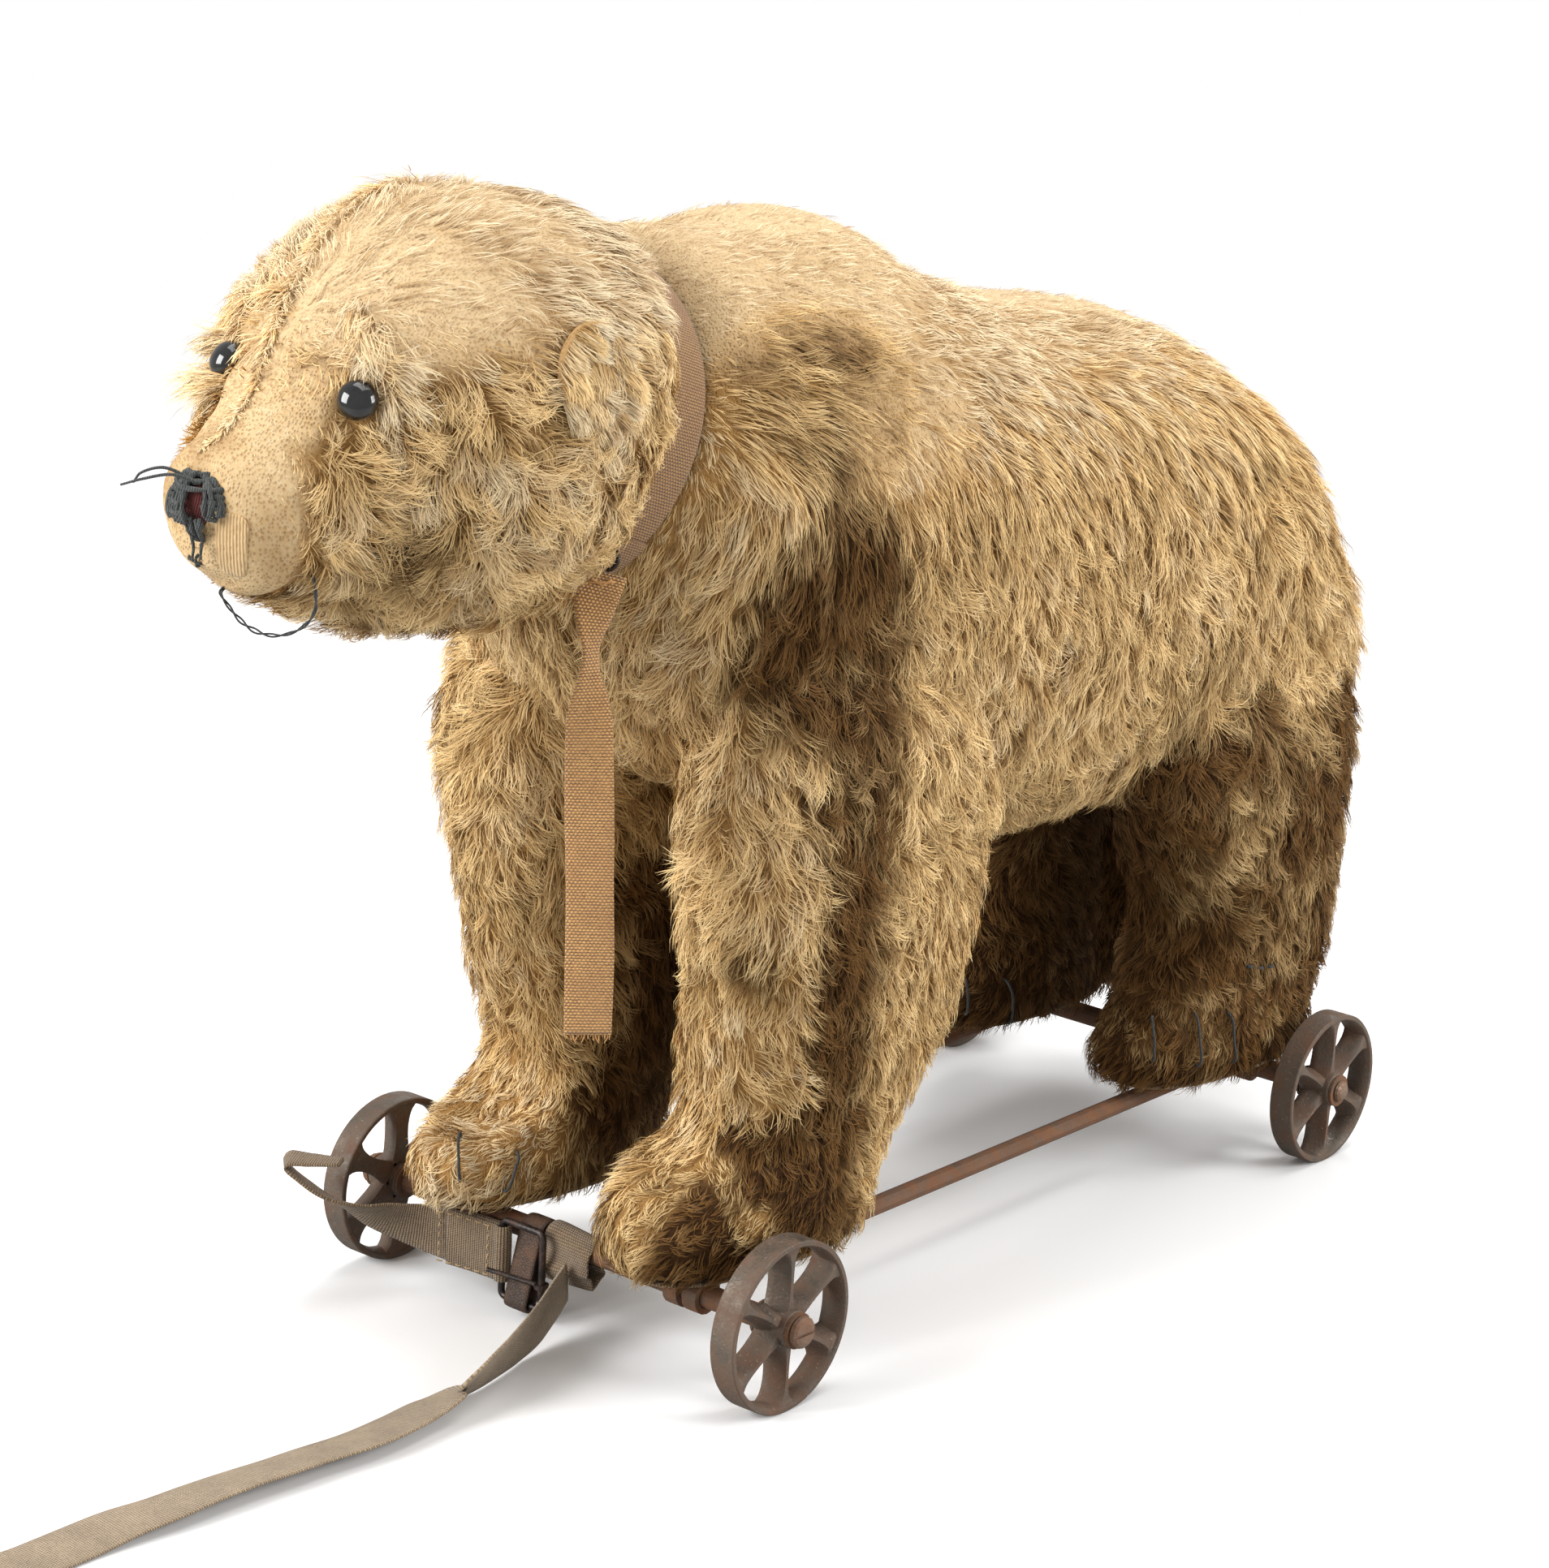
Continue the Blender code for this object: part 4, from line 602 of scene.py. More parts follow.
patches.links.new(fine_noise.outputs[0], leave.inputs[1])
print("sockets of patches:", len(patches.interface.items_tree))

# %% Weave
weave, entry, leave = new_group(
    "weave",
    [("Place", "Vector", None), ("Across", "Float", 1.0), ("Along", "Float", 1.0), ("Uneven", "Float", 0.3)],
    [("Height", "Float"), ("Thread", "Float")])
wobble = node(weave, "ShaderNodeTexNoise", {"Vector": entry.outputs[0], "Scale": 0.35, "Detail": 2.0})
parts = node(weave, "ShaderNodeSeparateXYZ", {0: entry.outputs[0]})
shiver = maths(weave, "MULTIPLY", maths(weave, "SUBTRACT", wobble.outputs[0], 0.5), entry.outputs[3])
u = maths(weave, "ADD", maths(weave, "DIVIDE", parts.outputs[0], entry.outputs[1]), shiver)
v = maths(weave, "ADD", maths(weave, "DIVIDE", parts.outputs[1], entry.outputs[2]), shiver)
row_wave = maths(weave, "SINE", maths(weave, "MULTIPLY", v, 2 * math.pi))
half_step = maths(weave, "MULTIPLY", maths(weave, "FLOOR", maths(weave, "ADD", v, 0.25)), 0.5)
cell_wave = maths(weave, "SINE", maths(weave, "MULTIPLY", maths(weave, "ADD", u, half_step), 2 * math.pi))
crossing = maths(weave, "ADD", maths(weave, "MULTIPLY", row_wave, 0.5), maths(weave, "MULTIPLY", cell_wave, 0.35))
weave.links.new(maths(weave, "ADD", crossing, 0.5), leave.inputs[0])
cells = node(weave, "ShaderNodeCombineXYZ", {0: maths(weave, "FLOOR", u), 1: maths(weave, "FLOOR", v)})
thread_tone = node(weave, "ShaderNodeTexWhiteNoise", {"Vector": cells.outputs[0]}, noise_dimensions="3D")
weave.links.new(thread_tone.outputs[0], leave.inputs[1])
print("sockets of weave:", len(weave.interface.items_tree))

# %% [markdown]
# A finish places a shared group and turns its mask into a bump. Places come from the object itself or from
# the strap's own UV map, so the pattern stays on a piece that moves.


# %% Placing the groups
def use(tree, group, **inputs):
    """A shared group placed in a material."""
    return node(tree, "ShaderNodeGroup", inputs, node_tree=group)


def millimetres(tree, source="Object"):
    """Places on the object, or its UV map, as a vector; object places become millimetres."""
    if source == "UV":
        return node(tree, "ShaderNodeUVMap", uv_map="weave").outputs[0]
    coordinates = node(tree, "ShaderNodeTexCoord")
    return node(tree, "ShaderNodeVectorMath", {0: coordinates.outputs["Object"], 1: (1000.0,) * 3},
                operation="MULTIPLY").outputs[0]


def bump(tree, shader, height, distance, strength=1.0):
    """A bump of a given depth in metres, fed by a height from 0 to 1."""
    made = node(tree, "ShaderNodeBump", {"Height": height, "Distance": distance, "Strength": strength})
    tree.links.new(made.outputs[0], shader.inputs["Normal"])


print("groups:", [g.name for g in bpy.data.node_groups])

# %% [markdown]
# ## Metal finishes
# The wheels are rough brown cast iron, the axles and rails plain rod gone to rust, and the small buckle
# is dark wire. Rust is duller and more orange than iron, so the same mask moves colour, roughness and the
# metallic value together. A second, much finer mask strews specks: bright ones on the cast iron, dark ones
# on the rods.


# %% Iron, rust and wire
def metal(name, clean, rust, amount, size, roughness, metallic, depth=0.0002, speck=None):
    """Worn metal: a patch mask blends the clean finish into rust, and fine noise pits both."""
    made, tree, shader = material(name)
    place = millimetres(tree)
    mask = use(tree, patches, Place=place, Size=size, Amount=amount, Softness=0.12)
    grime = use(tree, patches, Place=place, Size=size * 0.37, Amount=0.48, Softness=0.2)
    colour = blended(tree, mask.outputs[0], clean, rust)
    colour = blended(tree, maths(tree, "MULTIPLY", grime.outputs[0], 0.55), colour,
                     tuple(0.38 * c for c in clean))
    if speck:
        dust = use(tree, patches, Place=place, Size=size * 9.0, Amount=0.35, Softness=0.05)
        colour = blended(tree, maths(tree, "MULTIPLY", dust.outputs[0], 0.6), colour, speck)
    tree.links.new(colour, shader.inputs["Base Color"])
    tree.links.new(spread(tree, mask.outputs[0], 0, 1, roughness, 0.88), shader.inputs["Roughness"])
    tree.links.new(spread(tree, mask.outputs[0], 0, 1, metallic, 0.05), shader.inputs["Metallic"])
    bump(tree, shader, mask.outputs[1], depth)
    return made


cast_iron = metal("old_cast_iron", (0.165, 0.140, 0.110), (0.165, 0.090, 0.055), 0.52, 0.09, 0.36, 0.6, 0.0003,
                  speck=(0.62, 0.54, 0.47))
rusty_steel = metal("rusted_rod", (0.16, 0.105, 0.07), (0.24, 0.10, 0.042), 0.52, 0.12, 0.6, 0.3, 0.0003,
                    speck=(0.10, 0.05, 0.03))
dark_wire = metal("dark_wire", (0.06, 0.052, 0.05), (0.16, 0.075, 0.045), 0.40, 0.08, 0.38, 0.85)
screw_steel = metal("screw_steel", (0.30, 0.21, 0.15), (0.24, 0.115, 0.06), 0.50, 0.12, 0.42, 0.65, 0.0003)
for name in nodes:
    for start, finish in (("leg_rod", rusty_steel), ("side_rail", rusty_steel), ("front_axle", rusty_steel),
                          ("rear_axle", rusty_steel), ("inner_washer", rusty_steel), ("outer_washer", rusty_steel),
                          ("axle_screw", screw_steel), ("axle_rivet", screw_steel), ("neck_pin", dark_wire),
                          ("neck_washer", dark_wire)):
        if name.startswith(start):
            dress(name, finish)
print("metals:", cast_iron.name, rusty_steel.name, dark_wire.name, screw_steel.name)

# %% [markdown]
# ## Woven and soft finishes
# Webbing shows the cells of its coarse threads, with soil in patches. The straps are khaki, and their older
# ends are browner; the collar and its tail are woven from the same rust-coloured thread, and the tail has
# kept more of its colour. Each reads the weave mask twice, once for colour and once for bump.


# %% Webbing and plain cloth
def webbing(name, ridge, groove, across, along, soil, depth):
    """Ribbed webbing on the strap's UV map: the weave blends groove into ridge, patches add soil."""
    made, tree, shader = material(name, Roughness=0.9, Sheen_Weight=0.25, Sheen_Roughness=0.5)
    place = millimetres(tree, "UV")
    cloth = use(tree, weave, Place=place, Across=across, Along=along, Uneven=0.35)
    dirt = use(tree, patches, Place=place, Size=0.06, Amount=0.46, Softness=0.16)
    colour = blended(tree, spread(tree, cloth.outputs[0], 0.1, 0.9), groove, ridge)
    colour = blended(tree, maths(tree, "MULTIPLY", cloth.outputs[1], 0.25), colour, tuple(1.25 * c for c in ridge))
    colour = blended(tree, maths(tree, "MULTIPLY", dirt.outputs[0], 0.5), colour, soil)
    tree.links.new(colour, shader.inputs["Base Color"])
    bump(tree, shader, cloth.outputs[0], depth)
    return made


def plain_cloth(name, light, dark, cell, depth, roughness=0.9, sheen=0.2, size=0.04):
    """Fine cloth on object places: two crossing threads, with patches of a darker tone."""
    made, tree, shader = material(name, Roughness=roughness, Sheen_Weight=sheen, Sheen_Roughness=0.45)
    place = millimetres(tree)
    lean = node(tree, "ShaderNodeMapping", {"Vector": place, "Rotation": (0.5, 0.35, 0.6)}).outputs[0]
    cloth = use(tree, weave, Place=lean, Across=cell, Along=cell, Uneven=0.6)
    tone = use(tree, patches, Place=place, Size=size, Amount=0.5, Softness=0.22)
    colour = blended(tree, spread(tree, cloth.outputs[0], 0.05, 0.95), dark, light)
    colour = blended(tree, maths(tree, "MULTIPLY", tone.outputs[0], 0.45), colour, dark)
    tree.links.new(colour, shader.inputs["Base Color"])
    bump(tree, shader, cloth.outputs[0], depth)
    return made


collar_tape = webbing("collar_tape", (0.44, 0.235, 0.08), (0.15, 0.07, 0.022), 1.5, 1.15, (0.26, 0.12, 0.05), 0.0005)
tail_tape = webbing("tail_tape", (0.86, 0.47, 0.16), (0.20, 0.085, 0.025), 1.5, 1.15, (0.42, 0.19, 0.06), 0.0006)
khaki_webbing = webbing(
    "khaki_webbing", (0.55, 0.41, 0.255), (0.21, 0.145, 0.085), 1.05, 1.05, (0.15, 0.095, 0.052), 0.0004)
old_webbing = webbing(
    "old_webbing", (0.33, 0.225, 0.125), (0.11, 0.07, 0.038), 1.1, 1.1, (0.075, 0.045, 0.026), 0.0004)
darning = webbing("darning", (0.72, 0.50, 0.25), (0.40, 0.24, 0.10), 1.2, 400.0, (0.50, 0.33, 0.15), 0.0003)
sole_felt = plain_cloth("sole_felt", (0.46, 0.33, 0.19), (0.24, 0.16, 0.09), 1.1, 0.0002)
card = plain_cloth("brown_card", (0.46, 0.34, 0.20), (0.36, 0.25, 0.14), 2.4, 0.0001, sheen=0.0)
red_felt = plain_cloth("red_felt", (0.15, 0.026, 0.02), (0.075, 0.012, 0.01), 0.8, 0.0002)
nose_wool = plain_cloth("grey_wool", (0.085, 0.092, 0.085), (0.03, 0.034, 0.032), 0.7, 0.0002)
black_thread = plain_cloth("black_thread", (0.075, 0.08, 0.075), (0.022, 0.024, 0.024), 0.5, 0.0001)
seam_thread = plain_cloth("seam_thread", (0.66, 0.48, 0.25), (0.35, 0.22, 0.10), 0.6, 0.0002)

print("cloths:", khaki_webbing.name, old_webbing.name, collar_tape.name, tail_tape.name)

# %% [markdown]
# The chape is old leather, dark and crackled into small cells. The eyes are black buttons, glossy under a
# thin haze of wear.

# %% Leather and button
leather, tree, shader = material("old_leather", Roughness=0.62)
place = millimetres(tree)
crackle = node(tree, "ShaderNodeTexVoronoi", {"Vector": place, "Scale": 0.9}, feature="DISTANCE_TO_EDGE")
tone = use(tree, patches, Place=place, Size=0.08, Amount=0.42, Softness=0.14)
colour = blended(tree, tone.outputs[0], (0.052, 0.03, 0.02), (0.15, 0.075, 0.04))
tree.links.new(colour, shader.inputs["Base Color"])
tree.links.new(spread(tree, tone.outputs[0], 0, 1, 0.5, 0.8), shader.inputs["Roughness"])
bump(tree, shader, spread(tree, crackle.outputs[0], 0.0, 0.12), 0.00015)

button_glass, tree, shader = material("button_black", Roughness=0.08, Coat_Weight=0.6, Coat_Roughness=0.04)
haze = use(tree, patches, Place=millimetres(tree), Size=0.2, Amount=0.42, Softness=0.2)
colour = blended(tree, haze.outputs[0], (0.006, 0.006, 0.007), (0.022, 0.021, 0.02))
tree.links.new(colour, shader.inputs["Base Color"])
tree.links.new(spread(tree, haze.outputs[0], 0, 1, 0.06, 0.2), shader.inputs["Roughness"])
print("finishes:", len(bpy.data.materials))

# %% [markdown]
# The cords were made before any finish. Now each gets its own, its body and the solids it stands for.

# %% Finishes of the cords and the neck discs
for name in ("neck_disc_head", "neck_disc_body"):
    dress(name, card)
for piece, finish, body, stands_for, slot in (
        (pull_strap, khaki_webbing, "chassis", ("pull_strap", "pull_strap_coil"), "khaki"),
        (strap_tie, khaki_webbing, "chassis", (), "khaki"),
        (collar_tail, tail_tape, "chassis", ("collar_tail",), "tape"),
        (tail_fray, tail_tape, "chassis", (), "tape"),
        (mouth_thread, black_thread, "head", ("mouth_thread",), "thread")):
    finish_piece(piece, finish, body, stands_for)
print("cords finished:", pull_strap.name, collar_tail.name, mouth_thread.name)

# %% [markdown]
# ## Plush finishes
# Two materials share the zones of the coat. The ground cloth takes its light or dirty tone from the same
# attributes as the hair, so bare places and furry places belong together; under the hair it is painted dark,
# a painted shade beneath the pile. Each hair stores how far along it a place is, a tone of its own and how
# soiled or shaded its neighbourhood is. The roots are painted darker than the tips, a painted shade that
# makes the depth of the pile read from any side.

# %% Ground cloth
knitting, entry, leave = new_group(
    "knitting", [("Place", "Vector", None), ("Stitch", "Float", 1.0)], [("Height", "Float"), ("Tone", "Float")])
size = maths(knitting, "DIVIDE", 1.0, entry.outputs[1])
stretched = node(knitting, "ShaderNodeMapping", {"Vector": entry.outputs[0], "Scale": (1.0, 1.0, 0.78)}).outputs[0]
stitch = node(knitting, "ShaderNodeTexVoronoi", {"Vector": stretched, "Scale": size, "Randomness": 0.75})
knitting.links.new(spread(knitting, stitch.outputs["Distance"], 0.14, 0.5), leave.inputs[0])
tint = node(knitting, "ShaderNodeSeparateColor", {0: stitch.outputs["Color"]})
knitting.links.new(tint.outputs[0], leave.inputs[1])

ground_cloth, tree, shader = material("ground_cloth", Roughness=0.8, Specular_IOR_Level=0.12)
place = millimetres(tree)
soil_and_shade = node(tree, "ShaderNodeAttribute", attribute_name="soil_and_shade").outputs["Fac"]
furred = node(tree, "ShaderNodeAttribute", attribute_name="furred").outputs["Fac"]
knit = use(tree, knitting, Place=place, Stitch=1.15)
tone = use(tree, patches, Place=place, Size=0.045, Amount=0.5, Softness=0.2)
bare = blended(tree, knit.outputs[0], (0.42, 0.26, 0.12), (0.64, 0.455, 0.24))
# Random stitches are lightened as painted glints, a painted highlight on the knit.
bare = blended(tree, spread(tree, knit.outputs[1], 0.6, 1.0, 0.0, 0.5), bare, (0.76, 0.60, 0.37))
bare = blended(tree, spread(tree, knit.outputs[1], 0.14, 0.03, 0.0, 0.45), bare, (0.34, 0.19, 0.075))
pale = spread(tree, soil_and_shade, 0.32, 0.05, 0.0, 0.5)
bare = blended(tree, pale, bare, (0.74, 0.59, 0.37))
bare = blended(tree, maths(tree, "MULTIPLY", tone.outputs[0], 0.3), bare, (0.50, 0.31, 0.14))
bare = blended(tree, spread(tree, soil_and_shade, 0.35, 0.9, 0.0, 0.75), bare, (0.28, 0.15, 0.06))
# Under the hair the cloth is painted dark, a painted shade beneath the pile, darker again where soiled.
under = blended(tree, spread(tree, soil_and_shade, 0.3, 1.0), (0.38, 0.21, 0.07), (0.05, 0.022, 0.007))
tree.links.new(blended(tree, furred, bare, under), shader.inputs["Base Color"])
bump(tree, shader, knit.outputs[0], 0.0003)
print("ground cloth:", len(tree.nodes), "nodes")

# %% [markdown]
# The hair has three colours along its length for clean, golden and dirty places, and its own tone moves it
# towards a bright or a dark shade. Neighbouring hairs of a lock share a tone, so the locks read apart. The
# tone is also lowered at a lock's edges, so the dark colour there is partly painted shade between the locks.

# %% Mohair
mohair, tree, shader = material("mohair_hair", Roughness=0.62, Specular_IOR_Level=0.07)
along = node(tree, "ShaderNodeAttribute", attribute_name="along").outputs["Fac"]
tone = node(tree, "ShaderNodeAttribute", attribute_name="tone").outputs["Fac"]
soil_and_shade = node(tree, "ShaderNodeAttribute", attribute_name="soil_and_shade").outputs["Fac"]
# Each colour runs from a darker root to its tip: the darker root is painted shade in the depth of the pile.
root_shade_fade = spread(tree, along, 0.0, 0.8)
pale = blended(tree, root_shade_fade, (0.50, 0.34, 0.17), (0.86, 0.75, 0.54))
gold = blended(tree, root_shade_fade, (0.54, 0.285, 0.08), (1.0, 0.735, 0.36))
dirty = blended(tree, root_shade_fade, (0.055, 0.023, 0.006), (0.22, 0.108, 0.033))
coat = blended(tree, spread(tree, soil_and_shade, 0.0, 0.3), pale, gold)
coat = blended(tree, spread(tree, soil_and_shade, 0.3, 0.95), coat, dirty)
# A high tone brightens a hair and a low tone darkens it towards the shade colour. The tone is random for each lock and
# hair, and lower at a lock's edges as painted shade between the locks.
bright = maths(tree, "MULTIPLY", spread(tree, tone, 0.6, 1.0, 0.0, 0.35),
               spread(tree, soil_and_shade, 0.35, 0.9, 1.0, 0.2))
coat = blended(tree, bright, coat, (1.0, 0.85, 0.54))
shade = blended(tree, spread(tree, soil_and_shade, 0.2, 0.8), (0.36, 0.19, 0.06), (0.045, 0.021, 0.008))
coat = blended(tree, spread(tree, tone, 0.5, 0.0, 0.0, 0.85), coat, shade)
tree.links.new(coat, shader.inputs["Base Color"])
print("plush finishes:", ground_cloth.name, mohair.name)

# %% [markdown]
# ## Where the coat is long, bare or soiled
# The pile is worn to the cloth on the muzzle, the forehead, the hump and a strip along the back. The
# hindquarters and the paws are dark with soil. The shoulder, the thigh and a band round the near front legs
# are dark partly with soil and partly with painted shade; the inner sides of the legs and the far rear leg
# are painted shade, and the far front paw is painted paler against the shade on it. These are smooth
# functions of a place in millimetres, measured from the middle between the axles as the outlines are. A
# place takes the darkest of all the zones that reach it, and noise mottles their edges.


# %% Zones of the coat
def ball(places, centre, size):
    """1 at the centre, falling smoothly to 0 at the distance `size` for each axis."""
    away = np.linalg.norm((places - np.asarray(centre, float)) / np.asarray(size, float), axis=1)
    return 1.0 - step_up(away, 0.45, 1.0)


def body_zones(places):
    """Pile length in mm, share of hair kept, soil and wildness for places on the body.

    Soil runs from 0, bleached by light, through 0.3, golden, to 1, dark. The inner sides of the legs and the
    far rear leg are painted shade, the shoulder, the thigh and a band round the near front legs are soil and
    painted shade, and the far front paw is made paler, partly as painted light. Each zone is a product of soft
    steps or a ball, and the largest of them holds.
    """
    x, y, z = places.T
    blotch = cloud(places, 42.0, 5) - 0.5
    fleck = cloud(places, 17.0, 6) - 0.5
    length = 16.0 + 4.0 * (cloud(places, 30.0, 8) - 0.5)
    length = length - 4.0 * step_up(-z, -205, -165) + 3.0 * ball(places, (60, 235, 290), (80, 50, 70))
    paw = step_up(-z, -104, -78)
    length = length * (1 - 0.42 * paw)
    length = length + 3.0 * ball(places, (28, -206, 70), (34, 34, 30)) + 4.0 * step_up(-z, -66, -54)
    worn = ball(places, (6, -120, 449), (66, 66, 30)) * 0.97
    along_back = step_up(y, -60, 0) * step_up(-y, -215, -150)
    strip = (1 - step_up(np.abs(x + 2), 20, 46)) * step_up(z, 360, 384) * along_back
    hump = step_up(z + 40 * blotch + 25 * fleck, 375, 425) * step_up(-y, 20, 70)
    shoulder = ball(places, (88, -125, 378), (44, 60, 42))
    back = step_up(z + 30 * fleck, 348, 392) * step_up(y, -60, -20)
    worn = np.maximum.reduce([worn, strip * 0.95, 0.82 * hump, 0.72 * shoulder, 0.45 * back])
    neck = step_up(-y + 0.34 * (z - 378), 196, 212)
    length = length * (1 - 0.5 * worn) * (1 - 0.4 * neck)
    bleached = 0.34 - 0.27 * step_up(z + 20 * fleck, 330, 398)
    neck_side = 0.74 * ball(places, (84, -170, 390), (56, 62, 48))
    around = np.degrees(np.arctan2(np.abs(x) - 56, -(y + 120))) + 44 * fleck + 40 * blotch
    band = step_up(around, 4, 30) * step_up(-around, -104, -54) * (x > 0) * (y < 0)
    # Band round the near front legs: dark partly with soil and partly with painted shade.
    leg_band_soil_and_shade = 0.97 * band * step_up(-z + 26 * blotch, -350, -306)
    # Near shoulder: dark partly with soil and partly with painted shade.
    shoulder_soil_and_shade = ball(places, (82, -165, 305), (60, 54, 78))
    chest = 0.33 * step_up(-y, 130, 165) * step_up(-z, -345, -300) * step_up(-x, -40, 10)
    rear = step_up(y + 0.55 * (225 - z) + 20 * fleck, 78, 112) * step_up(-z + 20 * fleck, -252, -215) * (y > 20)
    # Near thigh: dark partly with soil and partly with painted shade.
    thigh_soil_and_shade = 0.66 * ball(places, (94, 92, 240), (40, 34, 60))
    paws = 0.56 * paw * (1 - 0.45 * step_up(x, 62, 84))
    # Inner sides of the legs and the far rear leg between them: painted shade.
    inner_leg_shade = (1 - step_up(np.abs(x), 20, 36)) * step_up(-z, -215, -170) * step_up(y, -205, -180)
    far_rear_leg_shade = step_up(-x, -10, 20) * step_up(y, 90, 110) * step_up(-z, -240, -200) * step_up(-y, -262, -236)
    soil = np.maximum.reduce([bleached, neck_side, leg_band_soil_and_shade, shoulder_soil_and_shade, chest, 0.92 * rear, thigh_soil_and_shade, paws,
                              0.97 * inner_leg_shade, 1.1 * far_rear_leg_shade])
    soil = soil * (1 - 0.4 * step_up(y, 205, 240) * step_up(z, 60, 120) * step_up(x, 0, 30))
    # Far front paw made paler: less soil there, and painted light against the shade on it.
    soil = soil * (1 - 0.72 * ball(places, (-54, -218, 70), (74, 66, 60)))
    wild = 0.12 + 0.52 * step_up(-z, -352, -290) - 0.14 * step_up(-z, -215, -160)
    mottled = soil + (0.5 * blotch + 0.55 * fleck) * step_up(soil, 0.2, 0.5)
    return length, 1 - worn, np.clip(mottled, np.minimum(soil, 0.27), 1), wild


probe = np.array([(18, -128, 444), (96, -35, 326), (66, -185, 132)], float)
print("length, kept, soil, wildness:", [np.round(v, 2).tolist() for v in body_zones(probe)])


# %% Zones of the head, and swellings
def head_zones(places):
    """The same four values for places on the head."""
    x, y, z = places.T
    blotch = cloud(places, 22.0, 15) - 0.5
    fleck = cloud(places, 9.0, 16) - 0.5
    length = 14.5 + 5.0 * (cloud(places, 24.0, 18) - 0.5)
    wobble = 14 * blotch + 8 * fleck
    muzzle = step_up(-y + 0.7 * wobble, 357, 372) * step_up(z - 0.55 * (-y - 372) + 0.4 * wobble, 326, 346)
    muzzle *= step_up(x, -30, -16) * step_up(-x + wobble, -35, -26)
    nose_end = step_up(-y + 0.3 * wobble, 378, 388)
    brow = step_up(z + wobble, 404, 420) * step_up(-y + wobble, 290, 322) * step_up(x, -34, -22)
    crown = step_up(z + wobble, 432, 456) * step_up(-y, 250, 275)
    worn = np.maximum.reduce([muzzle * 0.985, nose_end * 0.985, brow * 0.90, crown * 0.80])
    length = length * (1 - 0.42 * worn) + 2.0 * step_up(-z, -372, -340)
    length = length * (1 - 0.8 * step_up(-y, 376, 388))
    length = length * (1 - 0.62 * step_up(-y, 366, 378) * step_up(-z, -352, -342))
    neck = step_up(y + 0.34 * (378 - z), -262, -246)
    length = length * (1 - 0.5 * neck)
    soil = 0.30 - 0.27 * step_up(z + wobble, 400, 445)
    # Low on the head the soil is lowered a little, a painted light against the shade under the jaw.
    soil = soil - 0.05 * step_up(-z, -366, -325) + (1.1 * blotch + 0.6 * fleck) * step_up(-z, -410, -380)
    wild = 0.2 + 0.8 * step_up(-z, -440, -400)
    return length, 1 - worn, np.clip(soil, 0.05 + 0.19 * step_up(-z, -420, -390), 1), wild


def pushed(places, pushes):
    """Sum of soft swellings along the normal: each is a centre, half sizes and a height in mm."""
    return sum(height * ball(places, centre, size) for centre, size, height in pushes)


print("hair kept on the muzzle's end:", float(head_zones(np.array([(5.0, -395.0, 372.0)]))[1][0].round(3)))

# %% [markdown]
# ## Body skin
# The torso is a row of ovals from the neck to the rump, and each leg a row of ovals from the shoulder or
# hip to the sole. Joined as they are, they would meet in hard creases. A voxel remesh, which wraps one
# fine net round all five, and a smoothing pass give the soft folds that stuffed plush has. Lumps of the
# stuffing are then pushed out or in along the skin's normals, so the skin stands for the wood wool too.

# %% Outlines shared with the solids
TORSO = [
    (17, -208, 372, 77, 75, 78), (12, -168, 353, 90, 91, 108), (4, -112, 332, 97, 115, 122),
    (0, -50, 314, 98, 114, 136), (0, 10, 293, 97, 113, 123), (0, 75, 287, 98, 111, 118),
    (-3, 138, 278, 97, 107, 110), (-8, 188, 262, 93, 99, 100), (-18, 228, 243, 79, 84, 84),
    (-26, 255, 229, 57, 60, 60), (-32, 268, 222, 34, 37, 37), (-34, 272, 220, 17, 19, 19)]
HEAD = [
    (18, -244.5, 383.5, 70, 70, 69), (16, -266, 388, 82, 78, 79), (12, -296, 393, 84, 77, 85),
    (6, -326, 392, 73, 65, 82), (0, -350, 383, 55, 52, 65), (-4, -372, 369, 40, 38, 42),
    (-8, -390, 361, 30, 30, 32), (-10, -400, 357, 22, 23, 23), (-10, -405, 355, 10, 10, 10)]
FRONT_LEG = [
    (258, 50, -128, 29, 58, 66), (215, 56, -122, 38, 74, 80), (170, 57, -117, 40, 82, 81),
    (87, 56, -114, 38, 75, 66), (54, 55, -122, 36, 67, 53), (28, 55, -140, 36, 80, 50),
    (12, 55, -146, 35, 82, 50), (0, 55, -146, 29, 74, 44)]
REAR_LEG = [
    (225, 50, 170, 27, 72, 52), (190, 56, 169, 36, 84, 66), (150, 59, 170, 38, 88, 75),
    (75, 57, 190, 37, 62, 52), (46, 56, 192, 36, 72, 48), (24, 55, 182, 36, 80, 54),
    (10, 55, 179, 35, 83, 57), (0, 55, 179, 29, 72, 49)]
NECK = np.array([0.0, -228.0, 378.0])
NECK_TILT = math.radians(19.0)
NECK_AXIS = np.array([0.0, -math.cos(NECK_TILT), math.sin(NECK_TILT)])
NECK_R, NECK_LIP = 62.0, 10.5
SOLE_Z = 44.85


def oval_rings(centres, side, up, half, above, below, count, power):
    """Superellipse rings: radius (|cos|^p + |sin|^p)^(-1/p), with its own height above and below."""
    turn = np.linspace(0, 2 * math.pi, count, endpoint=False)
    c, s = np.cos(turn), np.sin(turn)
    power = np.asarray(power, float)[:, None]
    reach = (np.abs(c) ** power + np.abs(s) ** power) ** (-1 / power)
    height = np.where(s > 0, above[:, None], below[:, None]) * s * reach
    return centres[:, None] + (half[:, None] * c * reach)[..., None] * side + height[..., None] * up[:, None]


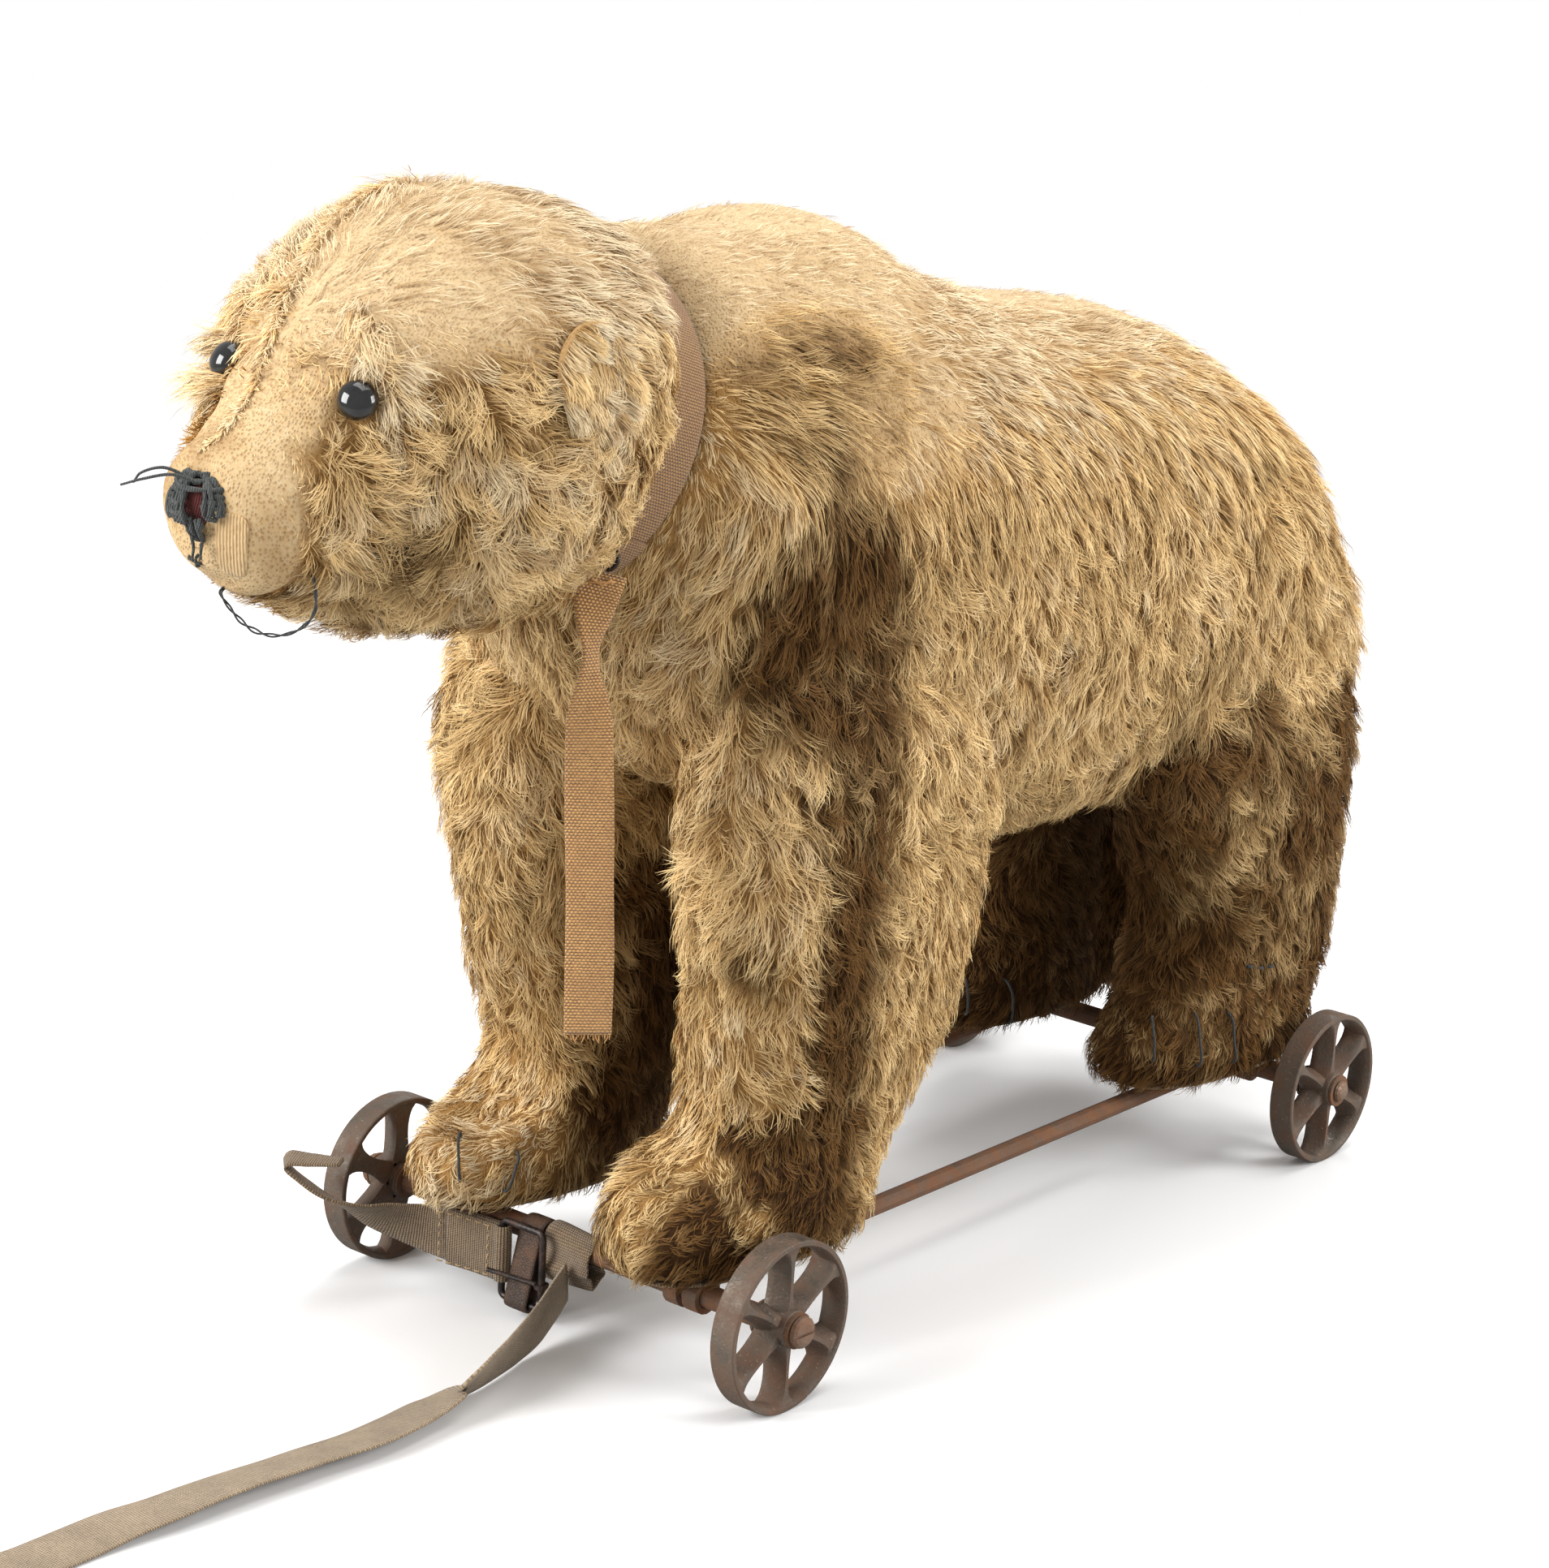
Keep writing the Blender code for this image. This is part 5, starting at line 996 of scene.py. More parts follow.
def trunk_rings(table, direction, rows, count, at=None):
    """Rings of the torso (-1) or head (+1): the table's rows splined along their own run."""
    lip = NECK + NECK_AXIS * direction * NECK_LIP
    first = (math.degrees(NECK_TILT), lip[1], lip[2], NECK_R, NECK_R, NECK_R)
    stations = np.array([first] + table, float)
    knots = run_length(stations[:, 1:3])
    at = np.linspace(0, 1, rows) if at is None else at
    row = spline(knots, stations, at * knots[-1])
    lean = np.radians(row[:, 0])
    up = np.stack([0 * lean, np.sin(lean), np.cos(lean)], axis=1)
    centres = np.stack([0 * lean, row[:, 1], row[:, 2]], axis=1)
    sizes = np.maximum(row[:, 3:6], 1.0)
    power = 2.0 + 0.15 * step_up(at, 0.0, 0.12)
    return oval_rings(centres, X, up, sizes[:, 0], sizes[:, 1], sizes[:, 2], count, power)


def leg_rings(table, hand, rows, count):
    """Rings of a leg from the top down to the sole."""
    table = np.array(table, float)
    row = spline(-table[:, 0], table, np.linspace(-table[0, 0], 0.0, rows))
    centres = np.stack([hand * row[:, 1], row[:, 2], SOLE_Z + row[:, 0]], axis=1)
    up = np.broadcast_to(Y, centres.shape)
    return oval_rings(centres, X, up, row[:, 3], row[:, 5], row[:, 4], count, np.full(rows, 2.3))


print("rows of the torso:", len(TORSO), "and of the head:", len(HEAD))


# %% [markdown]
# A mesh is read into arrays, worked on as a whole and put back. Zones of the coat are stored on the mesh as
# attributes, one number for each vertex, because a material can read those by name.


# %% Arrays of a mesh and the wrapping net
def mesh_arrays(mesh):
    """Places in millimetres, triangles and vertex normals of a mesh, as arrays."""
    places = np.empty(len(mesh.vertices) * 3, np.float32)
    mesh.vertices.foreach_get("co", places)
    mesh.calc_loop_triangles()
    triangles = np.empty(len(mesh.loop_triangles) * 3, np.int32)
    mesh.loop_triangles.foreach_get("vertices", triangles)
    normals = np.empty(len(mesh.vertices) * 3, np.float32)
    mesh.vertex_normals.foreach_get("vector", normals)
    return (places.reshape(-1, 3).astype(float) / MM, triangles.reshape(-1, 3),
            normals.reshape(-1, 3).astype(float))


def set_places(mesh, places):
    """Puts places in millimetres back into a mesh."""
    mesh.vertices.foreach_set("co", (places * MM).astype(np.float32).ravel())
    mesh.update()


def set_attribute(mesh, name, values):
    """One number for each vertex, for the shader to read."""
    layer = mesh.attributes.new(name, "FLOAT", "POINT")
    layer.data.foreach_set("value", np.asarray(values, np.float32))


def wrapped(name, parts, voxel, rounds):
    """One closed net round several overlapping skins, smoothed."""
    piece = skin(name, parts)
    net = piece.modifiers.new("net", "REMESH")
    net.mode = "VOXEL"
    net.voxel_size = voxel * MM
    net.use_smooth_shade = True
    ease = piece.modifiers.new("ease", "SMOOTH")
    ease.factor = 0.5
    ease.iterations = rounds
    graph = bpy.context.evaluated_depsgraph_get()
    fine = bpy.data.meshes.new_from_object(piece.evaluated_get(graph))
    piece.modifiers.clear()
    old = piece.data
    piece.data = fine
    fine.name = name
    bpy.data.meshes.remove(old)
    return piece


# %% [markdown]
# The body is wrapped first. Then its zones are asked for at each vertex: where the coat is thick the cloth
# lies deeper, so the hair's tips end near the solid's own outline. Near the neck and the soles the skin
# stays where the outlines put it, because the disc and the felt sit there.

# %% Body skin
BODY_PUSHES = [
    ((0, -55, 425), (80, 45, 34), -4.0), ((15, 212, 322), (90, 74, 62), 8.0), ((-20, 275, 225), (90, 40, 90), -3.5),
    ((-92, -150, 255), (34, 60, 110), 6.0), ((-62, -212, 118), (66, 46, 30), -5.0),
    ((-66, -212, 97), (72, 52, 27), -17.0), ((28, -186, 200), (24, 50, 80), -3.0),
    ((-80, -178, 212), (56, 60, 130), 4.5), ((24, -208, 70), (36, 36, 32), 6.0),
    ((92, -130, 180), (30, 60, 90), 1.5), ((-31, 233, 120), (48, 48, 130), 13.0), ((26, 130, 140), (30, 50, 70), 3.0)]
PILE_SINK = 2.4
parts = [tube_arrays(trunk_rings(TORSO, -1, 90, 96) + SHIFT)]
for table in (FRONT_LEG, REAR_LEG):
    for hand in (1, -1):
        parts.append(tube_arrays(leg_rings(table, hand, 60, 56) + SHIFT))
body_skin = wrapped("body_skin", parts, 3.2, 7)
places, triangles, normals = mesh_arrays(body_skin.data)
design = places - SHIFT
length, keep, soil, wild = body_zones(design)
lumps = 2.4 * (cloud(design, 46.0, 31) - 0.5) + 1.2 * (cloud(design, 21.0, 32) - 0.5)
away_from_neck = step_up(np.abs((design - NECK) @ NECK_AXIS), 9.0, 20.0)
proud = (0.2 - PILE_SINK * keep + lumps + pushed(design, BODY_PUSHES)) * away_from_neck
near_sole = step_up(design[:, 2], SOLE_Z + 0.5, SOLE_Z + 12)
set_places(body_skin.data, places + normals * (proud * near_sole)[:, None])
set_attribute(body_skin.data, "soil_and_shade", soil)
set_attribute(body_skin.data, "furred", np.clip(keep * 1.15, 0, 1))
finish_piece(body_skin, ground_cloth, "chassis", ("body_cover", "body_stuffing"))
print("body skin triangles:", len(triangles))

# %% [markdown]
# ## Head skin
# The head is one lofted grid from the neck to the nose, so it keeps its seams and its small forms: a dent
# at each eye where the button is drawn in, a soft brow above it, and a few hollows in the muzzle and crown.


# %% Head skin
def head_seat(share, turn):
    """Place and outward direction on the head, `share` of the way from neck to nose, `turn` degrees up."""
    rings = trunk_rings(HEAD, 1, 3, 360, np.array([share - 0.01, share, share + 0.01]))
    spot = rings[1, turn % 360]
    round_it = rings[1, (turn + 2) % 360] - rings[1, (turn - 2) % 360]
    out = unit(np.cross(round_it, rings[2, turn % 360] - rings[0, turn % 360]))
    middle = rings[1].mean(0)
    return spot, out if out @ (spot - middle) > 0 else -out


FLIP = np.array([-1.0, 1.0, 1.0])
HEAD_PUSHES = [
    ((-12, -398, 345), (36, 34, 26), -3.6), ((20, -262, 462), (60, 44, 34), -2.5),
    ((20, -345, 320), (60, 60, 28), -4.5), ((-30, -384, 380), (24, 30, 30), -4.0)]
EYE_DENT, BROW_RISE = 2.2, 1.6
left_seat, right_seat = head_seat(0.74, 39), head_seat(0.75, 52)
eyes = {"left": left_seat, "right": (right_seat[0] * FLIP, right_seat[1] * FLIP)}
ear_spot, ear_out = head_seat(0.36, 14)
head_rings = trunk_rings(HEAD, 1, 120, 144)
head_points, head_sizes, head_corners = outward(*tube_arrays(head_rings + SHIFT))
head_skin = mesh_object("head_skin", head_points, head_sizes, head_corners)
places, triangles, normals = mesh_arrays(head_skin.data)
design = places - SHIFT
length, keep, soil, wild = head_zones(design)
move = 1.6 * (cloud(design, 30.0, 41) - 0.5) + 0.8 * (cloud(design, 12.0, 42) - 0.5) - 0.8 - 2.0 * keep
move += pushed(design, HEAD_PUSHES)
for spot, _ in eyes.values():
    move -= EYE_DENT * np.exp(-(np.linalg.norm(design - spot, axis=1) / 7.5) ** 2)
    move += BROW_RISE * np.exp(-(np.linalg.norm(design - spot - [0, 6, 15], axis=1) / 11) ** 2)
nose_hold = 1 - step_up(-design[:, 1], 396, 403)
away_from_neck = step_up((design - NECK) @ NECK_AXIS, 10.5, 20.0)
set_places(head_skin.data, places + normals * (move * away_from_neck * nose_hold)[:, None])
set_attribute(head_skin.data, "soil_and_shade", soil)
set_attribute(head_skin.data, "furred", np.clip(keep * 1.1, 0, 1))
finish_piece(head_skin, ground_cloth, "head", ("head_cover", "head_stuffing"))
print("head skin triangles:", len(triangles), "left eye at", np.round(left_seat[0], 1))

# %% [markdown]
# ## Mohair
# Real mohair plush is hundreds of thousands of fine, glossy hairs that cling together in locks. Blender
# can grow hair, but hair is not a mesh, so each hair here is a thin tapered blade of three short faces,
# worked out for all hairs at once. A hair starts at a random place on the skin, stands up, bends over in
# the direction of the nap, and its tip is drawn towards the middle of its lock.


# %% Roots and nap
def scatter(places, triangles, normals, weight, count, seed):
    """Random places on a skin: a triangle's chance is its area times its weight, and the place in it comes
    from two random numbers, the root of the first giving the distance from one corner."""
    chance = np.random.default_rng(seed)
    a, b, c = (places[triangles[:, k]] for k in range(3))
    area = np.linalg.norm(np.cross(b - a, c - a), axis=1) / 2 * weight[triangles].mean(1)
    pick = np.searchsorted(np.cumsum(area) / area.sum(), chance.random(count))
    pick = np.minimum(pick, len(area) - 1)
    r, s = np.sqrt(chance.random(count))[:, None], chance.random(count)[:, None]
    share = [1 - r, r * (1 - s), r * s]
    mixed = [sum(w * field[triangles[pick, k]] for k, w in enumerate(share)) for field in (places, normals)]
    return mixed[0], unit(mixed[1])


def comb(normals, nap, design, wild, seed):
    """Direction of the nap in the skin: the nap without its part along the normal, turned by noise."""
    flat = unit(nap - (nap * normals).sum(1)[:, None] * normals)
    angle = wild * 2.6 * (cloud(design, 34.0, seed) + 0.7 * cloud(design, 15.0, seed + 1) - 0.85)
    other = np.cross(normals, flat)
    return np.cos(angle)[:, None] * flat + np.sin(angle)[:, None] * other


print("a nap combed flat:", comb(Z[None], (X - Z)[None], Z[None], np.zeros(1), 51).round(2).tolist())

# %% [markdown]
# A lock is the group of roots nearest to the same centre, and smaller locks inside it vary it a little. A
# blade's normals are bent towards the skin's, so the coat shades as one soft mass and not as strips.


# %% Blades
def hairs(roots, normals, nap, length, soil, wild, seed, lock=7.5, width=0.36, rise=0.8, close=0.8):
    """Curved blades of three steps that gather in locks.

    Hairs of one lock share a direction, a bend in the skin's plane and a length. The stand-up angle falls
    along the hair, and its offset from the middle of the lock shrinks towards the tip.
    """
    chance = np.random.default_rng(seed)
    count = len(roots)
    centre, home = locks(roots + 0.3 * lock * (chance.random((count, 3)) - 0.5), lock, seed)
    small, little = locks(roots, lock * 0.4, seed + 30)
    pick = [cell_chance(home, seed + k) - 0.5 for k in range(40, 46)]
    fine = [cell_chance(little, seed + k) - 0.5 for k in range(50, 53)]
    turn = (1.3 * pick[0] + 0.5 * fine[0] + 0.10 * chance.normal(size=count)) * (0.3 + 0.7 * wild)
    bend = (2.8 * pick[1] + 1.2 * fine[1] + 0.25 * chance.normal(size=count)) * (0.25 + 0.75 * wild)
    side = np.cross(normals, nap)
    long = length * (1 + 0.5 * pick[2]) * (0.72 + 0.42 * chance.random(count))
    stand = np.clip((0.35 + 0.65 * np.minimum(1.0, 1.6 * wild)) * rise * (1 + 0.8 * pick[3])
                    + 0.08 * chance.normal(size=count), 0.12, 1.3)
    offset = 0.5 * (centre - roots) + 0.5 * (small - roots)
    offset -= (offset * normals).sum(1)[:, None] * normals
    far = np.clip(np.linalg.norm(centre - roots, axis=1) / (0.62 * lock), 0, 1)
    spine = [roots - 0.5 * normals]
    for share, falls, reach in ((0.3, 1.0, 0.0), (0.38, 0.38, 0.5), (0.32, 0.0, 1.0)):
        heading = turn + bend * reach
        climb = stand * falls
        step = np.cos(climb)[:, None] * (np.cos(heading)[:, None] * nap + np.sin(heading)[:, None] * side)
        spine.append(spine[-1] + (step + np.sin(climb)[:, None] * normals) * (long * share)[:, None])
    for k, share in ((1, 0.22), (2, 0.66), (3, 1.0)):
        spine[k] = spine[k] + offset * close * share + (normals * (1.0 - far)[:, None]) * 0.9 * share
    spine = np.stack(spine, axis=1)
    heading = unit(np.gradient(spine, axis=1))
    roll = np.radians(40) * (2 * chance.random(count) - 1)
    across = unit(np.cross(heading, normals[:, None]))
    face = np.cross(across, heading)
    across = np.cos(roll)[:, None, None] * across + np.sin(roll)[:, None, None] * face
    wide = (width * (0.7 + 0.6 * chance.random(count)))[:, None, None] / 2
    taper = np.array([1.0, 1.0, 0.8])[None, :, None]
    left = spine[:, :3] - across[:, :3] * wide * taper
    right_side = spine[:, :3] + across[:, :3] * wide * taper
    points = np.concatenate([np.stack([left, right_side], axis=2).reshape(count, 6, 3), spine[:, 3:]], axis=1)
    bent = unit(np.cross(across, heading))
    bent *= np.sign((bent * normals[:, None]).sum(2))[..., None] + 1e-9
    twice = [0, 0, 1, 1, 2, 2, 3]
    lean = unit(spine[:, 2] - centre)
    soft = unit(0.45 * bent[:, twice] + 0.75 * normals[:, None] + 0.35 * lean[:, None])
    # The tone is random for each lock and hair, and it falls towards the lock's edge, a painted shade between the
    # locks.
    tone = 0.58 + 0.46 * pick[4] + 0.26 * fine[2] + 0.10 * chance.normal(size=count) - 0.22 * far**2
    soil = soil + 0.25 * pick[5] * (soil > 0.1)
    return dict(points=points, soft=soft, tone=np.clip(tone, 0, 1), soil=np.clip(soil, 0, 1))


BLADE = np.array([0, 1, 3, 2, 2, 3, 5, 4, 4, 5, 6])
print("corners of a blade:", len(BLADE))


# %% A piece of fur
def fur_piece(name, hair, pick, body):
    """A mesh from the picked hairs: two quads and a triangle each, with soft normals and three attributes."""
    points = hair["points"][pick].reshape(-1, 3)
    count = int(pick.sum())
    corners = (np.arange(count)[:, None] * 7 + BLADE).ravel()
    piece = mesh_object(name, points, np.tile([4, 4, 3], count), corners)
    mesh = piece.data
    set_attribute(mesh, "along", np.tile([0, 0, 0.3, 0.3, 0.68, 0.68, 1.0], count))
    set_attribute(mesh, "tone", np.repeat(hair["tone"][pick], 7))
    set_attribute(mesh, "soil_and_shade", np.repeat(hair["soil"][pick], 7))
    mesh.normals_split_custom_set_from_vertices(hair["soft"][pick].reshape(-1, 3).astype(np.float32))
    return finish_piece(piece, mohair, body, ())


print("triangles in one hair:", 5)

# %% [markdown]
# ## The coat of the body
# The nap runs backwards along the back and down the sides and legs, as it was cut and combed. At the paws it
# ends in a hem just above the ground and clear of the front axle. The hairs are shared out over several
# pieces, so that no piece becomes too heavy.

# %% Coat of the body
FUR = 1.0
BODY_HAIRS = 285000
AXLE_Y, HEM_Z, HEM_RISE, HEM_SPREAD = 195.5, 36.0, 6.0, 5.0


def body_nap(places):
    """Direction of the nap: backwards on top, down on the flanks, forwards and down on the paws."""
    x, y, z = places.T
    top = step_up(z, 330, 400)
    paw = step_up(-z, -96, -70) * (((y < -150) | ((y > 60) & (y < 150))))
    nap = np.stack([0.0 * x, 0.95 * top + 0.18 * (1 - top) - 0.9 * paw, -0.45 * top - 1.0 * (1 - top)], axis=1)
    chest = step_up(-y, 170, 200) * (z < 360)
    nap[:, 1] -= 0.5 * chest
    return nap


places, triangles, normals = mesh_arrays(body_skin.data)
length, keep, soil, wild = body_zones(places - SHIFT)
along_neck = (places - SHIFT - NECK) @ NECK_AXIS
underneath = step_up(-(places[:, 2] - SOLE_Z), -5.0, -1.0) * (normals[:, 2] < -0.8)
weight = (0.10 + keep) * step_up(-along_neck, 8.5, 11.0) * (1 - underneath)
roots, out = scatter(places, triangles, normals, weight, int(BODY_HAIRS * FUR), 3)
design = roots - SHIFT
length, keep, soil, wild = body_zones(design)
length = np.minimum(length, 3.0 + 0.75 * np.maximum(-((design - NECK) @ NECK_AXIS) - 9.0, 0.0))
nap = comb(out, body_nap(design), design, wild, 51)
coat = hairs(roots, out, nap, length, soil, wild, 61, lock=6.6)
by_axle = step_up(-np.abs(coat["points"][..., 1] - SHIFT[1] + AXLE_Y), -24, -10)
hem = HEM_Z + HEM_RISE * by_axle + HEM_SPREAD * (np.random.default_rng(8).random((len(design), 1)) - 0.5)
coat["points"][..., 2] = np.maximum(coat["points"][..., 2], hem)
in_front, behind, low = design[:, 1] < -70, design[:, 1] >= 90, design[:, 2] < 215
area = np.where(in_front, 0, np.where(behind, 2, 1)) * 2 + (design[:, 0] > 0)
area = np.where(in_front & low, area + 6, area)
area = np.where(behind & low, area + 4, area)
for k, name in enumerate(("shoulder_right", "shoulder_left", "flank_right", "flank_left", "rump_right", "rump_left",
                          "front_leg_right", "front_leg_left", "rear_leg_right", "rear_leg_left")):
    if (area == k).any():
        fur_piece(f"fur_{name}", coat, area == k, "chassis")
        print("hairs on", name, int((area == k).sum()))

# %% [markdown]
# ## The coat of the head
# On the head the nap runs back from the nose, and down and forwards under the cheeks, where the longest
# hair hangs over the jaw. It leaves a bare ring round each eye and stays short beside it.


# %% Coat of the head
HEAD_HAIRS, EYE_RING = 66000, 7.6


def head_nap(places):
    """Backwards and down on the crown, downwards on the cheeks, down and forwards under the jaw."""
    x, _, z = places.T
    top = step_up(z, 395, 440)
    jaw = step_up(-z, -372, -335)
    backwards = 0.8 * top + 0.25 * (1 - top) - 0.75 * jaw
    return np.stack([0.12 * np.sign(x), backwards, -0.5 * top - 1.0 * (1 - top)], axis=1)


places, triangles, normals = mesh_arrays(head_skin.data)
length, keep, soil, wild = head_zones(places - SHIFT)
along_neck = (places - SHIFT - NECK) @ NECK_AXIS
weight = (0.05 + keep) * step_up(along_neck, 8.5, 11.0) * (1 - step_up(-(places - SHIFT)[:, 1], 395, 400))
roots, out = scatter(places, triangles, normals, weight, int(HEAD_HAIRS * FUR), 4)
design = roots - SHIFT
from_eye = np.min([np.linalg.norm(design - spot, axis=1) for spot, _ in eyes.values()], axis=0)
away = from_eye > EYE_RING
roots, out, design = roots[away], out[away], design[away]
length, keep, soil, wild = head_zones(design)
length = np.minimum(length, 3.0 + 0.6 * np.maximum((design - NECK) @ NECK_AXIS - 9.0, 0.0))
length = np.minimum(length, 4.0 + 0.8 * np.maximum(from_eye[away] - EYE_RING, 0.0))
nap = comb(out, head_nap(design), design, wild, 71)
pelt = hairs(roots, out, nap, length, soil, wild, 81, lock=9.0, width=0.34, rise=1.0)
fur_piece("fur_head_left", pelt, design[:, 0] > 0, "head")
fur_piece("fur_head_right", pelt, design[:, 0] <= 0, "head")
print("hairs on the head:", len(design))

# %% [markdown]
# ## Ears, eyes and nose
# The ears are small leaves of the same plush, pressed nearly flat against the head, so that little more
# than a soft crease shows through the hair. The leaf is a dished oval with its own short hair combed down.


# %% Ears and their hair
EAR_WIDE, EAR_TALL, EAR_HAIRS = 15, 19, 4200


def ear_rings(mirror, rows=26, sides=56):
    """A dished leaf: the rim's outline is an ellipse, and a splined profile raises and hollows it."""
    spot, axis = ear_spot * mirror, ear_out * mirror
    tall = np.array([0.0, 0.25, 1.0])
    tall = unit(tall - (tall @ axis) * axis)
    wide = np.cross(axis, tall)
    profile = np.array([
        (-1.5, 0.02), (-1.5, 0.7), (-1.0, 0.95), (0.3, 0.98), (1.4, 0.93), (2.2, 0.82), (2.5, 0.7),
        (1.9, 0.5), (1.5, 0.25), (1.4, 0.02)])
    knots = run_length(profile * [1, EAR_WIDE])
    line = spline(knots, profile, np.linspace(0, knots[-1], rows))
    turn = np.linspace(0, 2 * math.pi, sides, endpoint=False)
    ring = EAR_WIDE * np.cos(turn)[:, None] * wide + EAR_TALL * np.sin(turn)[:, None] * tall
    return spot + line[:, :1, None] * axis + np.maximum(line[:, 1:, None], 0.02) * ring[None]


for side_name, mirror in (("left", np.ones(3)), ("right", FLIP)):
    ear = skin(f"ear_leaf_{side_name}", [tube_arrays(ear_rings(mirror) + SHIFT)])
    places, triangles, normals = mesh_arrays(ear.data)
    set_places(ear.data, places + normals * (1.2 * (cloud(places, 9.0, 91) - 0.5))[:, None])
    set_attribute(ear.data, "soil_and_shade", np.full(len(places), 0.25))
    set_attribute(ear.data, "furred", np.full(len(places), 0.75))
    finish_piece(ear, ground_cloth, "head", (f"ear_{side_name}",))
    weight = ((places - SHIFT - ear_spot * mirror) @ (ear_out * mirror) > 0.5).astype(float)
    roots, out = scatter(places, triangles, normals, weight, int(EAR_HAIRS * FUR), 17)
    level = np.ones(len(roots))
    out = unit(0.6 * out + ear_out * mirror)
    nap = comb(out, np.array([0.1 * mirror[0], 0.55, -0.9]) + 0 * out, roots, 0.3 * level, 93)
    tuft = hairs(roots, out, nap, 11.0 * level, 0.16 * level, 0.45 * level, 95, rise=0.5)
    fur_piece(f"fur_ear_{side_name}", tuft, np.ones(len(roots), bool), "head")
print("ear at", np.round(ear_spot, 1))

# %% [markdown]
# The eyes are round black boot buttons. A profile of two arcs, a flat back and a domed front, turned round
# the outward direction makes one. The right button is drawn deeper into the plush than the left.

# %% Eyes
EYE_PROUD = {"left": 0.3, "right": -1.6}
for side_name, (spot, out) in eyes.items():
    arch = np.radians(np.linspace(0, 88, 22))
    dome = np.stack([0.9 + 5.4 * np.sin(arch), 7.2 * np.cos(arch)], axis=1)
    profile = np.vstack([[(-1.4, 0.05), (-1.4, 5.6), (-0.6, 6.7), (0.2, 7.1)], dome])
    seat = spot + SHIFT + EYE_PROUD[side_name] * out
    eye = skin(f"eye_button_{side_name}", [turned(profile, seat, out, 56)])
    finish_piece(eye, button_glass, "head", (f"eye_{side_name}",))
print("eye buttons:", 2)

# %% [markdown]
# The nose is grey wool wound over red felt, and part of the wool has worn away. Each of its thirty or so
# strands is a path of two angles on a rounded lump, and some lie across the others. On the bear's left the
# strands part and the red felt shows. Four more have come loose.

# %% Nose
NOSE = np.array([1.5, -401.0, 365.0])
NOSE_HALF = np.array([14.0, 12.0, 12.5])


def on_nose(turn, rise, proud):
    """Place on the lump: turn is 0 straight ahead and positive to the bear's left; rise is up."""
    turn, rise = np.radians(turn), np.radians(rise)
    ray = np.stack([np.cos(rise) * np.sin(turn), -np.cos(rise) * np.cos(turn), np.sin(rise)], axis=-1)
    return NOSE + ray * (NOSE_HALF - 0.9 + proud[..., None])


turns, rises = np.meshgrid(np.radians(np.linspace(0, 360, 57)[:-1]), np.radians(np.linspace(-88, 88, 29)))
lump = np.stack([np.cos(rises) * np.cos(turns), np.cos(rises) * np.sin(turns), np.sin(rises)], axis=2)
felt_nose = skin("nose_felt", [tube_arrays(NOSE + [-1, 0.8, 1] + SHIFT + lump * (NOSE_HALF * [0.74, 0.86, 0.8]))])
finish_piece(felt_nose, red_felt, "head", ())
t = np.linspace(0, 1, 26)
strands = []
dice = np.random.default_rng(12)
PATHS = [(t0, 66, t0 + 6, -22) for t0 in (-62, -54, -46, -38, -30, -22, -14, -6, 1)] + [
    (t0, 64, t0 + 2, -6) for t0 in (37, 44, 51, 58, 65)] + [
    (-2, -14, 16, -72), (6, -10, 20, -80), (14, -12, 25, -70), (24, -14, 29, -78), (32, -12, 30, -66),
    (-64, 60, 66, 66), (-66, 50, 84, 50), (-60, 40, 98, 38), (-50, 30, 2, 26), (40, 28, 104, 26), (38, 20, 92, 14),
    (-58, 4, -2, 8), (-46, -10, 4, -6), (36, 8, 70, 2), (40, -4, 60, -12), (30, 62, 100, 44), (-20, 74, 70, 58)]
for k, (turn_a, rise_a, turn_b, rise_b) in enumerate(PATHS):
    sway = dice.uniform(-5, 5, 4)
    once, twice = np.sin(math.pi * t), np.sin(2 * math.pi * t)
    path = on_nose(turn_a + (turn_b - turn_a) * t + sway[0] * once + 0.6 * sway[1] * twice,
                   rise_a + (rise_b - rise_a) * t + sway[2] * once,
                   dice.uniform(0.0, 1.1) + 0.4 * np.sin(9 * t + k))
    strands.append(tube(path + SHIFT, 0.95 + 0.22 * np.sin(14 * t + k), 8))
for loose in (((6, -408, 374), (0, -415, 377), (-8, -421, 375), (-16, -424, 372)),
              ((3, -409, 375), (-3, -416, 379), (-9, -421, 377), (-13, -421, 373)),
              ((4, -410, 356), (5, -410, 352), (4, -409.5, 349), (3.5, -409, 347)),
              ((8, -409, 354), (7, -408.5, 351), (6.5, -408, 348))):
    rows = np.array(loose, float)
    strands.append(tube(smooth_rows(rows, 24) + SHIFT, np.linspace(0.7, 0.4, 24), 7))
nose = skin("nose_strands", strands)
finish_piece(nose, nose_wool, "head", ("nose_stitching",))
print("strands on the nose:", len(strands))

# %% [markdown]
# ## Seams and stitches
# A hand-sewn seam stands up in a ridge from the crown to the nose. A few coarse dark stitches are left: some
# under the nose, some on a rear leg, and some on the paws, where they once drew the claws. Their places are
# seats on the skins, found by moving each chosen point to the nearest corner of the skin.


# %% Seam
def seated(points, piece, proud):
    """Each point moved to the nearest corner of a skin, plus a step along the normal there."""
    places, _, normals = mesh_arrays(piece.data)
    points = np.asarray(points, float) + SHIFT
    near = np.array([np.argmin(((places - p) ** 2).sum(1)) for p in points])
    offset = ((points - places[near]) * normals[near]).sum(1)
    return points + (proud - offset)[:, None] * normals[near] - SHIFT, normals[near]


